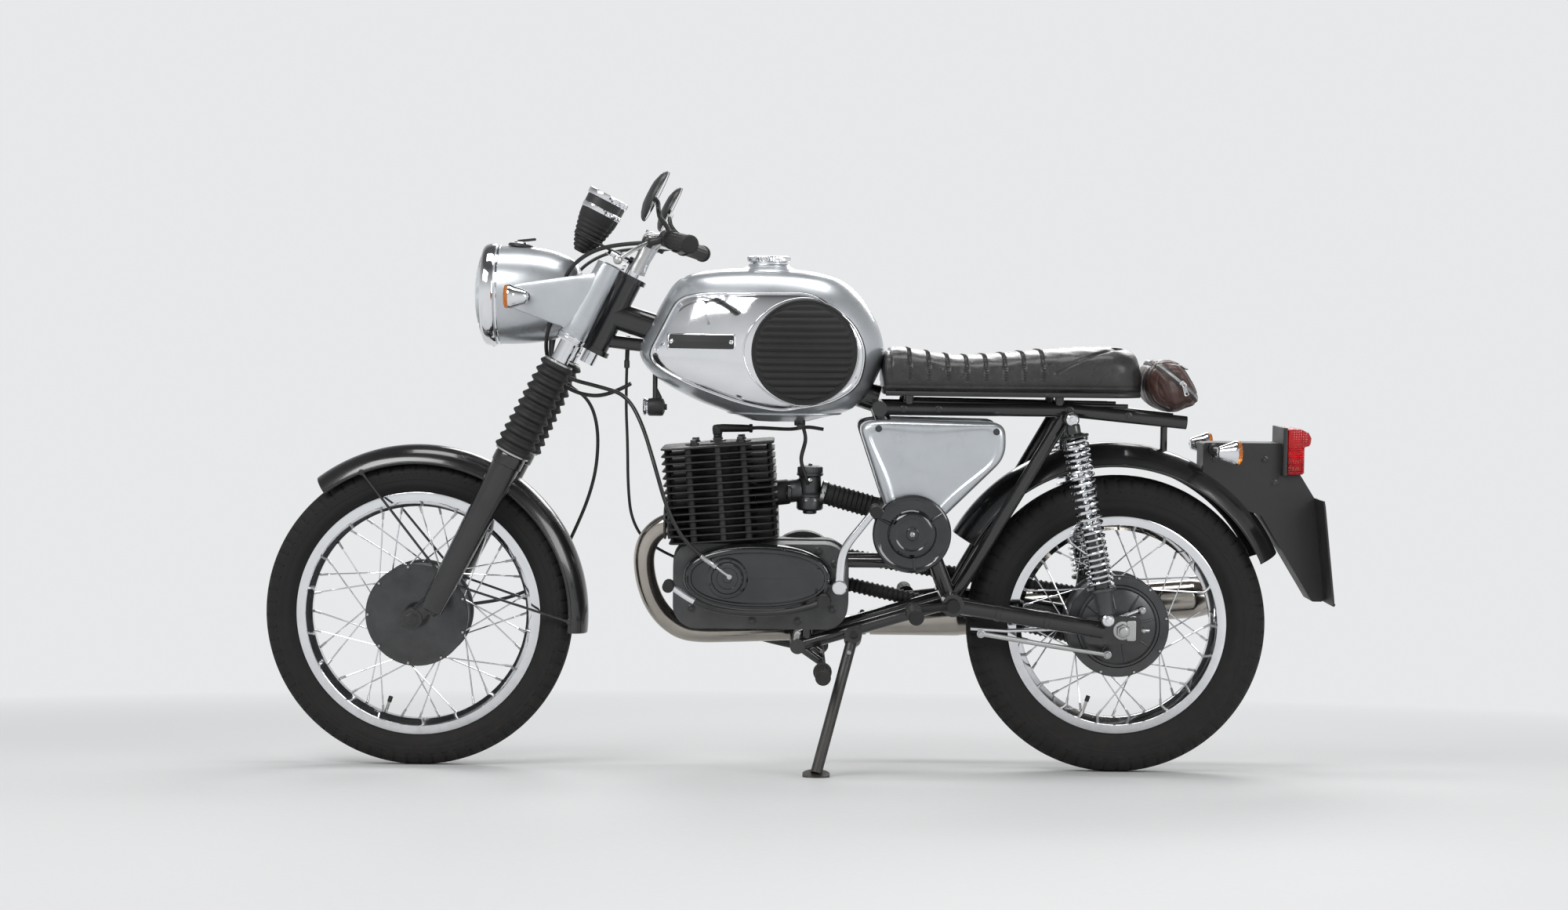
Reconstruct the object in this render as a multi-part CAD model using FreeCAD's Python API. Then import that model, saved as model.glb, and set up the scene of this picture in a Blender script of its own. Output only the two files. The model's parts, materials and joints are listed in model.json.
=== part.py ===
import FreeCAD, Part
import math
import os

from FreeCAD import Vector

# A single-cylinder motorcycle. The front is at -X, the rider's left is at -Y and +Z is up.
# It is modelled upright, its centre plane at y = 0 and its tyres on z = 0, and leans onto
# its side stand at the end. All lengths are in millimetres.

# Stance
wheelbase = 1390.0
lean_angle = 7.0
rake_angle = 27.0
overrun = 4.0
seat_gap = 0.3
running_gap = 0.05

# Front wheel
front_tyre_radius = 306.0
front_tyre_half = 37.5
front_bead_radius = 229.0
front_flange_radius = 243.0
front_rim_half = 25.0
front_axle_radius = 7.5
front_drum_radius = 93.0
front_drum_half = 44.0

# Rear wheel
rear_tyre_radius = 298.0
rear_tyre_half = 46.5
rear_bead_radius = 204.0
rear_flange_radius = 218.0
rear_rim_half = 30.0
rear_axle_radius = 8.5
rear_drum_radius = 92.0
rear_drum_half = 46.0

# Both wheels
rim_wall = 3.5
rim_well_depth = 12.0
rim_well_half_share = 0.45
tyre_side_shares = (-0.92, -1.0, -0.72, 0.0, 0.72, 1.0, 0.92)
tyre_rise_shares = (0.2, 0.55, 0.88, 1.0, 0.88, 0.55, 0.2)
hub_flange_wall = 7.0
hub_flange_rise = 9.0
drum_wall = 9.0
drum_web = 10.0
hub_boss_radius = 22.0
spoke_radius = 1.7
spoke_count = 36
spoke_sweep_angle = 30.0
spoke_stagger = 3.0
spoke_rim_offset = 5.0
spoke_end_gap = 0.8
brake_plate_wall = 8.0
brake_plate_gap = 1.0
brake_plate_bulge = 7.0
hub_cap_radius = 34.0

# Fork, measured along the steering axis from the level of the axle
fork_half = 88.0
axle_lead = 24.0
yoke_offset = 42.0
fork_tube_radius = 17.5
slider_top_radius = 29.0
slider_foot_radius = 23.0
slider_top = 378.0
slider_foot = 30.0
axle_lug_radius = 21.0
axle_neck_radius = 16.8
axle_lug_half = 20.0
gaiter_top = 580.0
gaiter_foot_radius = 39.0
gaiter_top_radius = 34.0
gaiter_valley = 7.0
gaiter_folds = 11
gaiter_crest_share = 0.4
ring_height = 14.0
ring_radius = 28.5
lower_yoke_low = 597.0
yoke_wall = 26.0
yoke_clamp_radius = 26.0
yoke_hub_radius = 31.0
yoke_plate_reach = 20.8
top_yoke_low = 792.0
top_yoke_wall = 18.0
fork_cap_height = 9.0
fork_cover_foot_radius = 27.0
fork_cover_top_radius = 23.0
stem_radius = 15.0
stem_nut_radius = 19.0
stem_nut_height = 16.0
headstock_radius = 27.0
headstock_race = 33.0
headstock_race_height = 10.0

# Headlamp
lamp_x = -540.0
lamp_z = 941.0
lamp_radius = 97.0
lamp_shell_length = 165.0
lamp_radius_shares = (1.0, 1.0, 0.98, 0.93, 0.85, 0.74, 0.62, 0.48)
lamp_along_shares = (0.0, 0.2, 0.4, 0.6, 0.76, 0.89, 0.96, 1.0)
lamp_bezel_length = 27.0
lamp_bezel_rise = 4.0
lens_bulge = 18.0
bezel_flat_share = 0.6
bezel_lip_share = 0.93
lens_radius_shares = (0.88, 0.70, 0.45, 0.20, 0.0)
lens_along_shares = (0.0, 0.48, 0.80, 0.97, 1.0)
ear_inner = 97.5
ear_wall = 9.0
ear_front = -478.0
ear_half_height = 27.0
ear_fork_top = 775.0
ear_fork_foot = 640.0
lamp_bolt_radius = 7.0
indicator_radius = 24.0
indicator_tail_radius = 12.0
indicator_lens_radius = 20.5
indicator_edge_radius = 23.5
indicator_stalk_share = 0.6
indicator_length = 46.0
indicator_lens_length = 12.0
indicator_stalk_radius = 6.0
front_indicator_half = 168.0
front_indicator_x = -497.0
front_indicator_z = 937.0

# Instruments and handlebar, ahead of the axle by "lead" and up the steering axis by "rise"
cup_radius = 36.0
cup_foot_radius = 25.0
cup_waist_radius = 33.0
cup_waist_share = 0.35
cup_shoulder_share = 0.7
cup_height = 92.0
cup_half = 44.0
cup_lead = 44.0
cup_rise = 820.0
cup_rim_height = 12.0
cup_rim_rise = 2.5
cup_bracket_wall = 5.0
cup_bracket_rise = 816.0
bar_radius = 11.0
bar_lead = -72.0
bar_rise = 872.0
bar_clamp_half = 46.0
bar_clamp_radius = 17.0
bar_riser_radius = 13.6
bar_clamp_wall = 26.0
bar_straight_half = 110.0
bar_bend_half = 205.0
bar_bend_lead = -112.0
bar_bend_rise = 890.0
bar_end_half = 335.0
bar_end_lead = -157.0
bar_end_rise = 898.0
bar_bend_radius = 55.0
grip_radius = 16.5
grip_length = 118.0
perch_length = 36.0
perch_radius = 17.0
lever_pivot_lead = 33.0
lever_pivot_inset = 7.0
lever_pivot_drop = 24.0
lever_knee_lead = 16.0
lever_knee_reach = 44.0
lever_knee_drop = 28.0
lever_end_lead = 10.0
lever_end_reach = 82.0
lever_end_drop = 26.0
lever_radius = 5.0
lever_arm_radius = 10.0
lever_ball_radius = 9.0
lever_pivot_radius = 12.0
lever_bend = 40.0
mirror_radius = 52.0
mirror_depth = 18.0
mirror_back_share = 0.5
mirror_rim_share = 0.4
mirror_reach = 65.0
mirror_rise = 76.0
mirror_ahead = 20.0
mirror_elbow_rise = 48.0
mirror_foot_rise = 13.6
mirror_stalk_radius = 5.0
mirror_stalk_bend = 14.0

# Front guard
guard_wall = 3.0
front_guard_radius = 337.0
front_guard_half = 47.0
front_guard_drop = 34.0
front_guard_start_angle = -6.0
front_guard_end_angle = 127.0
guard_stay_radius = 5.0
guard_bridge_radius = 10.0
guard_rear_stay_angle = -2.0
guard_front_stay_angle = 111.0
guard_stay_rise = 90.0
guard_stay_sink = 18.4
guard_bridge_drop = 8.0

# Tank, its side outline in slices from the bottom up
tank_low = 698.0
tank_height = 299.0
tank_front = -259.0
tank_length = 485.0
tank_half = 132.0
tank_level_shares = (0.0, 0.06, 0.14, 0.28, 0.44, 0.62, 0.80, 0.92, 0.975, 1.0)
tank_front_shares = (0.46, 0.35, 0.22, 0.07, 0.0, 0.045, 0.10, 0.155, 0.24, 0.36)
tank_rear_shares = (0.70, 0.84, 0.915, 0.968, 1.0, 0.978, 0.915, 0.835, 0.74, 0.64)
tank_half_shares = (0.42, 0.66, 0.84, 0.97, 1.0, 0.97, 0.86, 0.68, 0.50, 0.30)
tank_corner_share = 0.80
tank_nose_share = 0.80
tank_steps = 8
tank_end_share = 3.0
tunnel_half = 36.0
cap_x = -4.0
cap_radius = 43.0
cap_height = 26.0
cap_neck_radius = 38.0
cap_sink = 8.0
cap_rim_share = 0.6
panel_wall = 2.0
pad_wall = 9.0
pad_rib_rise = 3.0
pad_ribs = 13
pad_valley_share = 0.25
pad_x = 66.0
pad_z = 836.0
pad_half_length = 112.0
pad_half_height = 100.0
panel_front = -238.0
panel_length = 424.0
panel_low = 721.0
panel_height = 232.0
panel_x_shares = (0.0, 0.14, 0.24, 0.75, 0.94, 1.0, 0.97, 0.85, 0.61, 0.42, 0.22, 0.08)
panel_z_shares = (0.43, 0.93, 0.97, 0.98, 0.74, 0.50, 0.22, 0.08, 0.0, 0.07, 0.20, 0.32)
panel_corner = 26.0
badge_length = 134.0
badge_height = 32.0
badge_x = -132.0
badge_z = 853.0

# Frame
tube_radius = 15.0
rail_radius = 13.0
backbone_radius = 27.0
backbone_end_x = 215.0
backbone_end_z = 742.0
backbone_share = 0.56
brace_end_x = -30.0
brace_radius = 13.0
rail_half = 82.0
rail_bend = 300.0
rail_z = 727.0
rail_end_x = 815.0
rail_end_z = 705.0
cradle_half = 56.0
pivot_x = 362.0
pivot_z = 345.0
pivot_radius = 21.0
pivot_bolt_radius = 8.0
pivot_tube_half = 74.0
shock_top_x = 585.0
shock_top_z = 711.0
shock_foot_x = 662.0
shock_foot_z = 322.0
shock_half = 124.0
shock_stud_radius = 7.0
engine_lug_radius = 9.0
engine_lug_z = 420.0
engine_post_x = 80.0
saddle_wall = 22.0
saddle_shares = (0.24, 0.80)
buffer_radius = 9.0
buffer_shares = (0.10, 0.68)
guard_post_radius = 7.0
guard_post_x = 785.0
horn_post_radius = 5.0
lower_rail_radius = 13.0
lower_rail_z = 255.0
lower_rail_front_x = 60.0

# Swingarm
arm_half = 100.0
arm_radius = 17.0
arm_end_wall = 12.0
arm_end_half_height = 27.0
arm_end_length = 74.0
arm_sleeve_radius = 22.0

# Shock absorbers
spring_radius = 23.0
spring_wire_radius = 3.4
spring_turns = 20
shock_rod_radius = 7.0
shock_body_radius = 16.0
shock_cup_radius = 28.0
shock_cup_wall = 7.0
shock_eye_radius = 14.0
shock_eye_half = 13.0
spring_top_share = 0.09
spring_foot_share = 0.84
shock_body_share = 0.55

# Engine
cylinder_x = -86.0
cylinder_low = 455.0
cylinder_high = 655.0
cylinder_tilt_angle = 4.5
fin_half_length = 112.0
fin_half_width = 96.0
fin_wall = 4.5
fin_count = 14
fin_corner = 26.0
cylinder_radius = 66.0
plug_radius = 10.0
plug_height = 26.0
crankcase_front = -186.0
crankcase_rear = 158.0
crankcase_low = 290.0
crankcase_high = 458.0
crankcase_half = 78.0
crankcase_corner = 46.0
cover_x = -19.0
cover_z = 395.0
cover_half_length = 146.0
cover_half_height = 66.0
cover_wall = 46.0
cover_fillet = 14.0
clutch_boss_x = -78.0
clutch_boss_radius = 30.0
clutch_boss_rise = 8.0
sprocket_cover_x = 70.0
sprocket_cover_radius = 74.0
sprocket_cover_wall = 34.0
exhaust_radius = 21.0
exhaust_flange_radius = 31.0
exhaust_flange_wall = 12.0
silencer_radius = 40.0
silencer_half = 196.0
silencer_front_x = 215.0
silencer_rear_x = 985.0
silencer_z = 268.0
silencer_rear_z = 334.0
hanger_x = 326.0
hanger_radius = 6.0
silencer_cone_share = 0.22
silencer_tail_share = 0.13
silencer_tail_radius = 19.0
exhaust_bend = 62.0
exhaust_front_x = -248.0
exhaust_port_z = 492.0
exhaust_knee_z = 352.0
exhaust_under_x = -170.0
exhaust_under_z = 266.0
exhaust_low_z = 262.0
exhaust_knee_share = 0.25
exhaust_under_share = 0.5
exhaust_side = 118.0
carburettor_x = 82.0
carburettor_z = 560.0
carburettor_radius = 27.0
carburettor_height = 96.0
intake_radius = 23.0
inlet_radius = 18.0
intake_end_x = 232.0
intake_end_z = 520.0

# Side covers and air box
side_cover_front = 172.0
side_cover_length = 288.0
side_cover_low = 470.0
side_cover_height = 236.0
side_cover_x_shares = (0.0, 0.15, 1.0, 1.0, 0.42, 0.27)
side_cover_z_shares = (0.97, 1.0, 0.985, 0.70, 0.0, 0.0)
side_cover_outer = 132.0
side_cover_wall = 64.0
side_cover_corner = 24.0
side_cover_fillet = 10.0
filter_x = 278.0
filter_z = 488.0
filter_radius = 76.0
filter_outer = 158.0
filter_wall = 26.0
filter_dome_radius = 44.0
filter_dome_rise = 8.0
filter_edge = 6.0
filter_neck_radius = 60.0
air_box_half = 38.0

# Seat and bag
seat_front = 222.0
seat_length = 506.0
seat_low = 752.0
seat_height = 100.0
seat_half = 128.0
seat_x_shares = (0.0, 0.0, 0.05, 0.28, 0.62, 0.92, 0.985, 1.0, 0.97)
seat_z_shares = (0.0, 0.90, 0.94, 0.80, 0.92, 1.0, 0.88, 0.40, 0.0)
bag_x = 790.0
bag_radius = 54.0
bag_half = 112.0

# Rear guard, lamps and plate
rear_guard_x = 682.0
rear_guard_z = 300.0
rear_guard_radius = 362.0
rear_guard_half = 66.0
rear_guard_drop = 44.0
rear_guard_start_angle = 24.0
rear_guard_end_angle = 150.0
tail_corner = 6.0
tail_foot_depth = 24.0
tail_knee_x = 976.0
tail_knee_z = 520.0
tail_lamp_slope = 24.0
tail_lamp_drop = 18.0
tail_front_x = 858.0
tail_rear_x = 1012.0
tail_low_z = 560.0
tail_high_z = 664.0
lamp_rear_x = 1070.0
tail_lamp_low = 602.0
tail_lamp_high = 694.0
tail_lamp_half = 52.0
plate_low = 350.0
plate_high = 556.0
plate_top_x = 1080.0
plate_foot_x = 1104.0
plate_half = 110.0
plate_wall = 3.0
plate_arm_half = 34.0
rear_indicator_x = 898.0
rear_indicator_z = 651.0
rear_indicator_half = 152.0

# Pegs, levers and stand
peg_radius = 13.0
peg_shaft_radius = 8.0
peg_x = 108.0
peg_z = 222.0
peg_inner = 172.0
peg_outer = 252.0
rear_peg_x = 284.0
rear_peg_z = 336.0
rear_peg_inner = 132.0
rear_peg_outer = 236.0
lever_rod_radius = 6.0
lever_shaft_radius = 9.0
gear_toe_radius = 9.6
kick_rod_radius = 7.8
brake_pad_radius = 12.0
gear_x = 110.0
gear_z = 356.0
gear_toe_x = -190.0
gear_toe_z = 385.0
gear_half = 150.0
gear_toe_half = 196.0
kick_x = 139.0
kick_z = 385.0
kick_knee_x = 154.0
kick_knee_z = 466.0
kick_end_x = 206.0
kick_end_z = 536.0
kick_half = 168.0
kick_pedal_half = 232.0
brake_pedal_x = -178.0
brake_pedal_z = 292.0
brake_boss_radius = 14.0
brake_boss_half = 150.0
brake_boss_wall = 16.0
brake_pad_length = 44.0
stand_pivot_x = 168.0
stand_pivot_z = 282.0
stand_pivot_half = 112.0
stand_pivot_radius = 7.0
stand_eye_radius = 17.0
stand_eye_wall = 24.0
stand_lug_wall = 9.0
stand_arm_share = 0.85
stand_arm_radius = 8.0
stand_foot_x = 97.0
stand_foot_half = 228.0
stand_leg_radius = 11.0
stand_foot_radius = 26.0
stand_foot_wall = 7.0
stand_fold_x = 440.0
stand_fold_half = 150.0
stand_fold_z = 190.0
horn_x = -228.0
horn_z = 722.0
horn_radius = 18.0
horn_length = 48.0

# Cables
brake_cable_radius = 3.5
clutch_cable_radius = 4.0
loom_radius = 4.0
pump_cable_radius = 3.0
cord_share = 0.45

# Chain run on the right
tunnel_radius = 15.0
tunnel_y = 74.0
chain_case_radius = 88.0
chain_case_half = 15.0
tunnel_spread = 46.0
tunnel_front_spread = 28.0
tunnel_end_lead = 35.0

axle_z = front_tyre_radius
front_x = -wheelbase / 2
rear_x = wheelbase / 2
steer_sine = math.sin(math.radians(rake_angle))
steer_cosine = math.cos(math.radians(rake_angle))
steer_up = Vector(steer_sine, 0, steer_cosine)
steer_ahead = Vector(-steer_cosine, 0, steer_sine)
axis_lead = -axle_lead - yoke_offset
across = Vector(0, 1, 0)
upward = Vector(0, 0, 1)
backward = Vector(1, 0, 0)

nodes = {}


def steer(lead, side, rise):
    """A place on the steering, ahead of the axle, across the bike and up the steering axis."""
    return Vector(front_x, side, axle_z) + steer_ahead * lead + steer_up * rise


def rod(start, end, radius):
    run = end - start
    return Part.makeCylinder(radius, run.Length, start, run)


def cone(start, end, start_radius, end_radius):
    run = end - start
    return Part.makeCone(start_radius, end_radius, run.Length, start, run)


def join(shapes):
    return shapes[0].multiFuse(shapes[1:])


def fuse(shapes):
    """One solid, with faces that lie on one surface made one."""
    return join(shapes).removeSplitter() if len(shapes) > 1 else shapes[0]


def largest(shape):
    """The main solid of a shape, without the offcuts inside the piece that it seats on."""
    return max(shape.Solids, key=lambda solid: solid.Volume)


def corner_edges(points, radius, closed):
    """Straight edges through the points with a tangent arc of the radius at each corner."""
    count = len(points)
    starts, ends, arcs = list(points), list(points), {}
    for i in range(count):
        if not closed and i in (0, count - 1):
            continue
        before = (points[i - 1] - points[i]).normalize()
        after = (points[(i + 1) % count] - points[i]).normalize()
        half = before.getAngle(after) / 2
        reach = radius / math.tan(half)
        bisector = (before + after).normalize()
        middle = points[i] + bisector * (radius / math.sin(half) - radius)
        starts[i] = points[i] + before * reach
        ends[i] = points[i] + after * reach
        arcs[i] = Part.Arc(starts[i], middle, ends[i]).toShape()
    edges = []
    for i in range(count if closed else count - 1):
        after = (i + 1) % count
        edges.append(Part.LineSegment(ends[i], starts[after]).toShape())
        if after in arcs:
            edges.append(arcs[after])
    return edges


def bent_tube(points, radius, bend):
    path = Part.Wire(corner_edges(points, bend, False))
    section = Part.Wire(Part.makeCircle(radius, points[0], points[1] - points[0]))
    return path.makePipeShell([section], True, False)


def side_plate(outline, corner, low_y, high_y):
    """A plate with rounded corners, from an outline of (x, z) places, between two sides."""
    points = [Vector(x, low_y, z) for x, z in outline]
    edges = corner_edges(points, corner, True) if corner else Part.makePolygon(points + points[:1]).Edges
    face = Part.Face(Part.Wire(edges))
    return face.extrude(Vector(0, high_y - low_y, 0))


def turned(profile, base, direction, angle=360.0):
    """A solid turned about an axis, from a profile of (radius, place along the axis)."""
    axis = Vector(direction).normalize()
    out = axis.cross(across) if abs(axis.dot(across)) < math.cos(math.radians(45)) else upward
    out = out.normalize()
    points = [base + out * radius + axis * along for radius, along in profile]
    face = Part.Face(Part.makePolygon(points + points[:1]))
    return face.revolve(base, axis, angle)


def ball(centre, radius, direction):
    """A round end, turned from a half circle with small flats at its poles."""
    turns = [math.radians(turn) for turn in range(-75, 90, 30)]
    profile = [(0, -radius * math.sin(turns[-1]))]
    profile += [(radius * math.cos(turn), radius * math.sin(turn)) for turn in turns]
    profile.append((0, radius * math.sin(turns[-1])))
    return turned(profile, centre, direction)


def mirrored(shape):
    return shape.mirror(Vector(0, 0, 0), across)


def tyre(x, z, radius, half, bead_radius, flange_radius, rim_half):
    """A tyre turned from bands: a round crown, bulging sides and beads between the rim's flanges."""
    bead_half = rim_half - rim_wall
    height = radius - flange_radius
    profile = [(bead_radius, -bead_half), (flange_radius, -bead_half)]
    for side_share, rise_share in zip(tyre_side_shares, tyre_rise_shares):
        profile.append((flange_radius + height * rise_share, half * side_share))
    profile += [(flange_radius, bead_half), (bead_radius, bead_half)]
    return turned(profile, Vector(x, 0, z), across)


def rim(x, z, bead_radius, flange_radius, rim_half):
    bead_half = rim_half - rim_wall
    well_half = rim_half * rim_well_half_share
    floor = bead_radius - rim_well_depth
    profile = [
        (flange_radius, rim_half), (flange_radius, bead_half), (bead_radius, bead_half),
        (bead_radius, well_half + rim_wall), (floor, well_half), (floor, -well_half),
        (bead_radius, -well_half - rim_wall), (bead_radius, -bead_half), (flange_radius, -bead_half),
        (flange_radius, -rim_half), (bead_radius - rim_wall, -rim_half),
        (floor - rim_wall, -well_half - rim_wall), (floor - rim_wall, well_half + rim_wall),
        (bead_radius - rim_wall, rim_half),
    ]
    return turned(profile, Vector(x, 0, z), across)


def hub(x, z, drum_radius, drum_half, axle_radius, bead_radius):
    """A drum, open to the left for its brake plate, with two spoke flanges and its spokes."""
    bore = axle_radius + running_gap
    inner = drum_radius - drum_wall
    flange = drum_radius + hub_flange_rise
    web = drum_half - drum_web
    profile = [
        (bore, -drum_half + brake_plate_wall + brake_plate_gap), (bore, drum_half),
        (hub_boss_radius, drum_half), (drum_radius, drum_half), (flange, drum_half),
        (flange, drum_half - hub_flange_wall), (drum_radius, drum_half - hub_flange_wall),
        (drum_radius, -drum_half + hub_flange_wall), (flange, -drum_half + hub_flange_wall),
        (flange, -drum_half), (inner, -drum_half), (inner, web), (hub_boss_radius, web),
        (hub_boss_radius, -drum_half + brake_plate_wall + brake_plate_gap),
    ]
    body = turned(profile, Vector(x, 0, z), across)
    end = bead_radius - rim_well_depth - rim_wall - spoke_end_gap
    start = drum_radius + hub_flange_rise / 2
    step = 360 / spoke_count
    spokes = []
    for i in range(spoke_count):
        side = 1 if i % 2 else -1
        turn = 1 if i // 2 % 2 else -1
        outer = math.radians(i * step)
        inward = math.radians(i * step + turn * spoke_sweep_angle)
        level = side * (drum_half - hub_flange_wall / 2) + turn * spoke_stagger / 2
        spokes.append(rod(
            Vector(x + start * math.cos(inward), level, z + start * math.sin(inward)),
            Vector(x + end * math.cos(outer), side * spoke_rim_offset, z + end * math.sin(outer)),
            spoke_radius,
        ))
    return fuse([body] + spokes)


def brake_plate(x, z, drum_radius, drum_half, axle_radius):
    inner = drum_radius - drum_wall - brake_plate_gap
    bore = axle_radius
    profile = [
        (bore, -drum_half + brake_plate_wall), (inner, -drum_half + brake_plate_wall),
        (inner, -drum_half), (hub_cap_radius * 2, -drum_half - brake_plate_bulge / 2),
        (hub_cap_radius, -drum_half - brake_plate_bulge), (bore, -drum_half - brake_plate_bulge),
    ]
    return turned(profile, Vector(x, 0, z), across)


def wheels():
    nodes["front_tyre"] = tyre(
        front_x, axle_z, front_tyre_radius, front_tyre_half,
        front_bead_radius, front_flange_radius, front_rim_half,
    )
    nodes["front_rim"] = rim(front_x, axle_z, front_bead_radius, front_flange_radius, front_rim_half)
    nodes["front_hub"] = mirrored(hub(
        front_x, axle_z, front_drum_radius, front_drum_half, front_axle_radius, front_bead_radius,
    ))
    nodes["front_brake_plate"] = mirrored(brake_plate(
        front_x, axle_z, front_drum_radius, front_drum_half, front_axle_radius,
    ))
    nodes["rear_tyre"] = tyre(
        rear_x, rear_tyre_radius, rear_tyre_radius, rear_tyre_half,
        rear_bead_radius, rear_flange_radius, rear_rim_half,
    )
    nodes["rear_rim"] = rim(rear_x, rear_tyre_radius, rear_bead_radius, rear_flange_radius, rear_rim_half)
    nodes["rear_hub"] = hub(
        rear_x, rear_tyre_radius, rear_drum_radius, rear_drum_half, rear_axle_radius, rear_bead_radius,
    )
    nodes["rear_brake_plate"] = brake_plate(
        rear_x, rear_tyre_radius, rear_drum_radius, rear_drum_half, rear_axle_radius,
    )


def fork():
    axle_end = fork_half + axle_lug_half
    nodes["front_axle"] = rod(
        Vector(front_x, -axle_end - overrun, axle_z), Vector(front_x, axle_end + overrun, axle_z),
        front_axle_radius,
    )
    sliders, tubes, gaiters, covers = [], [], [], []
    step = (gaiter_top - slider_top) / gaiter_folds
    for side in (-fork_half, fork_half):
        base = steer(-axle_lead, side, 0)
        slider = cone(
            base + steer_up * slider_foot, base + steer_up * slider_top,
            slider_foot_radius, slider_top_radius,
        )
        centre = Vector(front_x, side, axle_z)
        lug = rod(centre - across * axle_lug_half, centre + across * axle_lug_half, axle_lug_radius)
        neck = rod(base + steer_up * slider_foot * 2, centre, axle_neck_radius)
        sliders.append(fuse([slider, lug, neck]).cut(nodes["front_axle"]))
        tubes.append(rod(
            base + steer_up * slider_top, base + steer_up * (top_yoke_low + top_yoke_wall),
            fork_tube_radius,
        ))
        profile = [(fork_tube_radius, 0)]
        for i in range(gaiter_folds):
            share = i / gaiter_folds
            crest = gaiter_foot_radius + (gaiter_top_radius - gaiter_foot_radius) * share
            profile.append((crest - gaiter_valley, i * step))
            profile.append((crest, (i + gaiter_crest_share) * step))
        profile.append((gaiter_top_radius - gaiter_valley, gaiter_folds * step))
        profile.append((fork_tube_radius, gaiter_folds * step))
        gaiters.append(turned(profile, base + steer_up * slider_top, steer_up))
        cover_low = lower_yoke_low + yoke_wall
        cover_profile = [
            (fork_tube_radius, cover_low), (ring_radius, cover_low),
            (ring_radius, cover_low + ring_height), (fork_cover_foot_radius, cover_low + ring_height),
            (fork_cover_top_radius, top_yoke_low), (fork_tube_radius, top_yoke_low),
        ]
        covers.append(turned(cover_profile, base, steer_up))
    nodes["fork_sliders"] = Part.makeCompound(sliders)
    nodes["fork_gaiters"] = Part.makeCompound(gaiters)
    return tubes, covers


def yoke(low, wall):
    """A plate round both fork tubes and the steering stem."""
    pieces = []
    for side in (-fork_half, fork_half):
        base = steer(-axle_lead, side, low)
        pieces.append(rod(base, base + steer_up * wall, yoke_clamp_radius))
    hub_base = steer(axis_lead, 0, low)
    pieces.append(rod(hub_base, hub_base + steer_up * wall, yoke_hub_radius))
    corners = []
    for lead, side in (
        (-axle_lead + yoke_plate_reach, fork_half),
        (-axle_lead - yoke_plate_reach, fork_half),
        (axis_lead - yoke_clamp_radius, yoke_clamp_radius),
        (axis_lead - yoke_clamp_radius, -yoke_clamp_radius),
        (-axle_lead - yoke_plate_reach, -fork_half),
        (-axle_lead + yoke_plate_reach, -fork_half),
    ):
        corners.append(steer(lead, side, low))
    plate = Part.Face(Part.makePolygon(corners + corners[:1])).extrude(steer_up * wall)
    return fuse(pieces + [plate])


def steering_head(tubes, covers):
    lower = yoke(lower_yoke_low, yoke_wall)
    upper = yoke(top_yoke_low, top_yoke_wall)
    stem = rod(
        steer(axis_lead, 0, lower_yoke_low),
        steer(axis_lead, 0, top_yoke_low + top_yoke_wall + stem_nut_height), stem_radius,
    )
    nut = rod(
        steer(axis_lead, 0, top_yoke_low + top_yoke_wall),
        steer(axis_lead, 0, top_yoke_low + top_yoke_wall + stem_nut_height), stem_nut_radius,
    )
    caps = []
    for side in (-fork_half, fork_half):
        base = steer(-axle_lead, side, top_yoke_low + top_yoke_wall)
        caps.append(rod(base, base + steer_up * fork_cap_height, fork_tube_radius))
    risers = []
    for side in (-bar_clamp_half, bar_clamp_half):
        centre = steer(bar_lead, side, bar_rise)
        clamp = rod(
            centre - across * (bar_clamp_wall / 2), centre + across * (bar_clamp_wall / 2),
            bar_clamp_radius,
        )
        foot = steer(bar_lead, side, top_yoke_low + top_yoke_wall / 2)
        risers.append(fuse([clamp, rod(foot, centre, bar_riser_radius)]))
    nodes["fork_yokes"] = fuse([lower, upper, stem, nut] + tubes + caps + risers)
    ear_base = -axle_lead
    ears = []
    for cover, sign in zip(covers, (-1, 1)):
        top = steer(ear_base, 0, ear_fork_top)
        foot = steer(ear_base, 0, ear_fork_foot)
        outline = [
            (top.x, top.z), (foot.x, foot.z), (ear_front, lamp_z - ear_half_height),
            (ear_front - ear_half_height, lamp_z), (ear_front, lamp_z + ear_half_height),
        ]
        low, high = sorted((sign * ear_inner, sign * (ear_inner + ear_wall)))
        ears.append(fuse([cover, side_plate(outline, ear_wall, low, high)]).cut(nodes["fork_yokes"]))
    nodes["fork_covers"] = Part.makeCompound(ears)


def headlamp():
    shell_profile = [
        (lamp_radius * radius_share, lamp_shell_length * along_share)
        for radius_share, along_share in zip(lamp_radius_shares, lamp_along_shares)
    ]
    shell_profile = [(0, 0)] + shell_profile + [(0, lamp_shell_length)]
    base = Vector(lamp_x, 0, lamp_z)
    shell = turned(shell_profile, base, backward)
    bolts = rod(
        Vector(ear_front, -ear_inner - ear_wall, lamp_z), Vector(ear_front, ear_inner + ear_wall, lamp_z),
        lamp_bolt_radius,
    )
    nodes["headlamp_shell"] = fuse([shell, bolts])
    nodes["fork_covers"] = nodes["fork_covers"].cut(nodes["headlamp_shell"])
    rim_radius = lamp_radius + lamp_bezel_rise
    front_profile = [
        (0, 0), (rim_radius, 0), (rim_radius, -lamp_bezel_length * bezel_flat_share),
        (rim_radius * bezel_lip_share, -lamp_bezel_length),
    ]
    front_profile += [
        (rim_radius * radius_share, -lamp_bezel_length - lens_bulge * along_share)
        for radius_share, along_share in zip(lens_radius_shares, lens_along_shares)
    ]
    nodes["headlamp_lens"] = turned(front_profile, base, backward)


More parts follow.
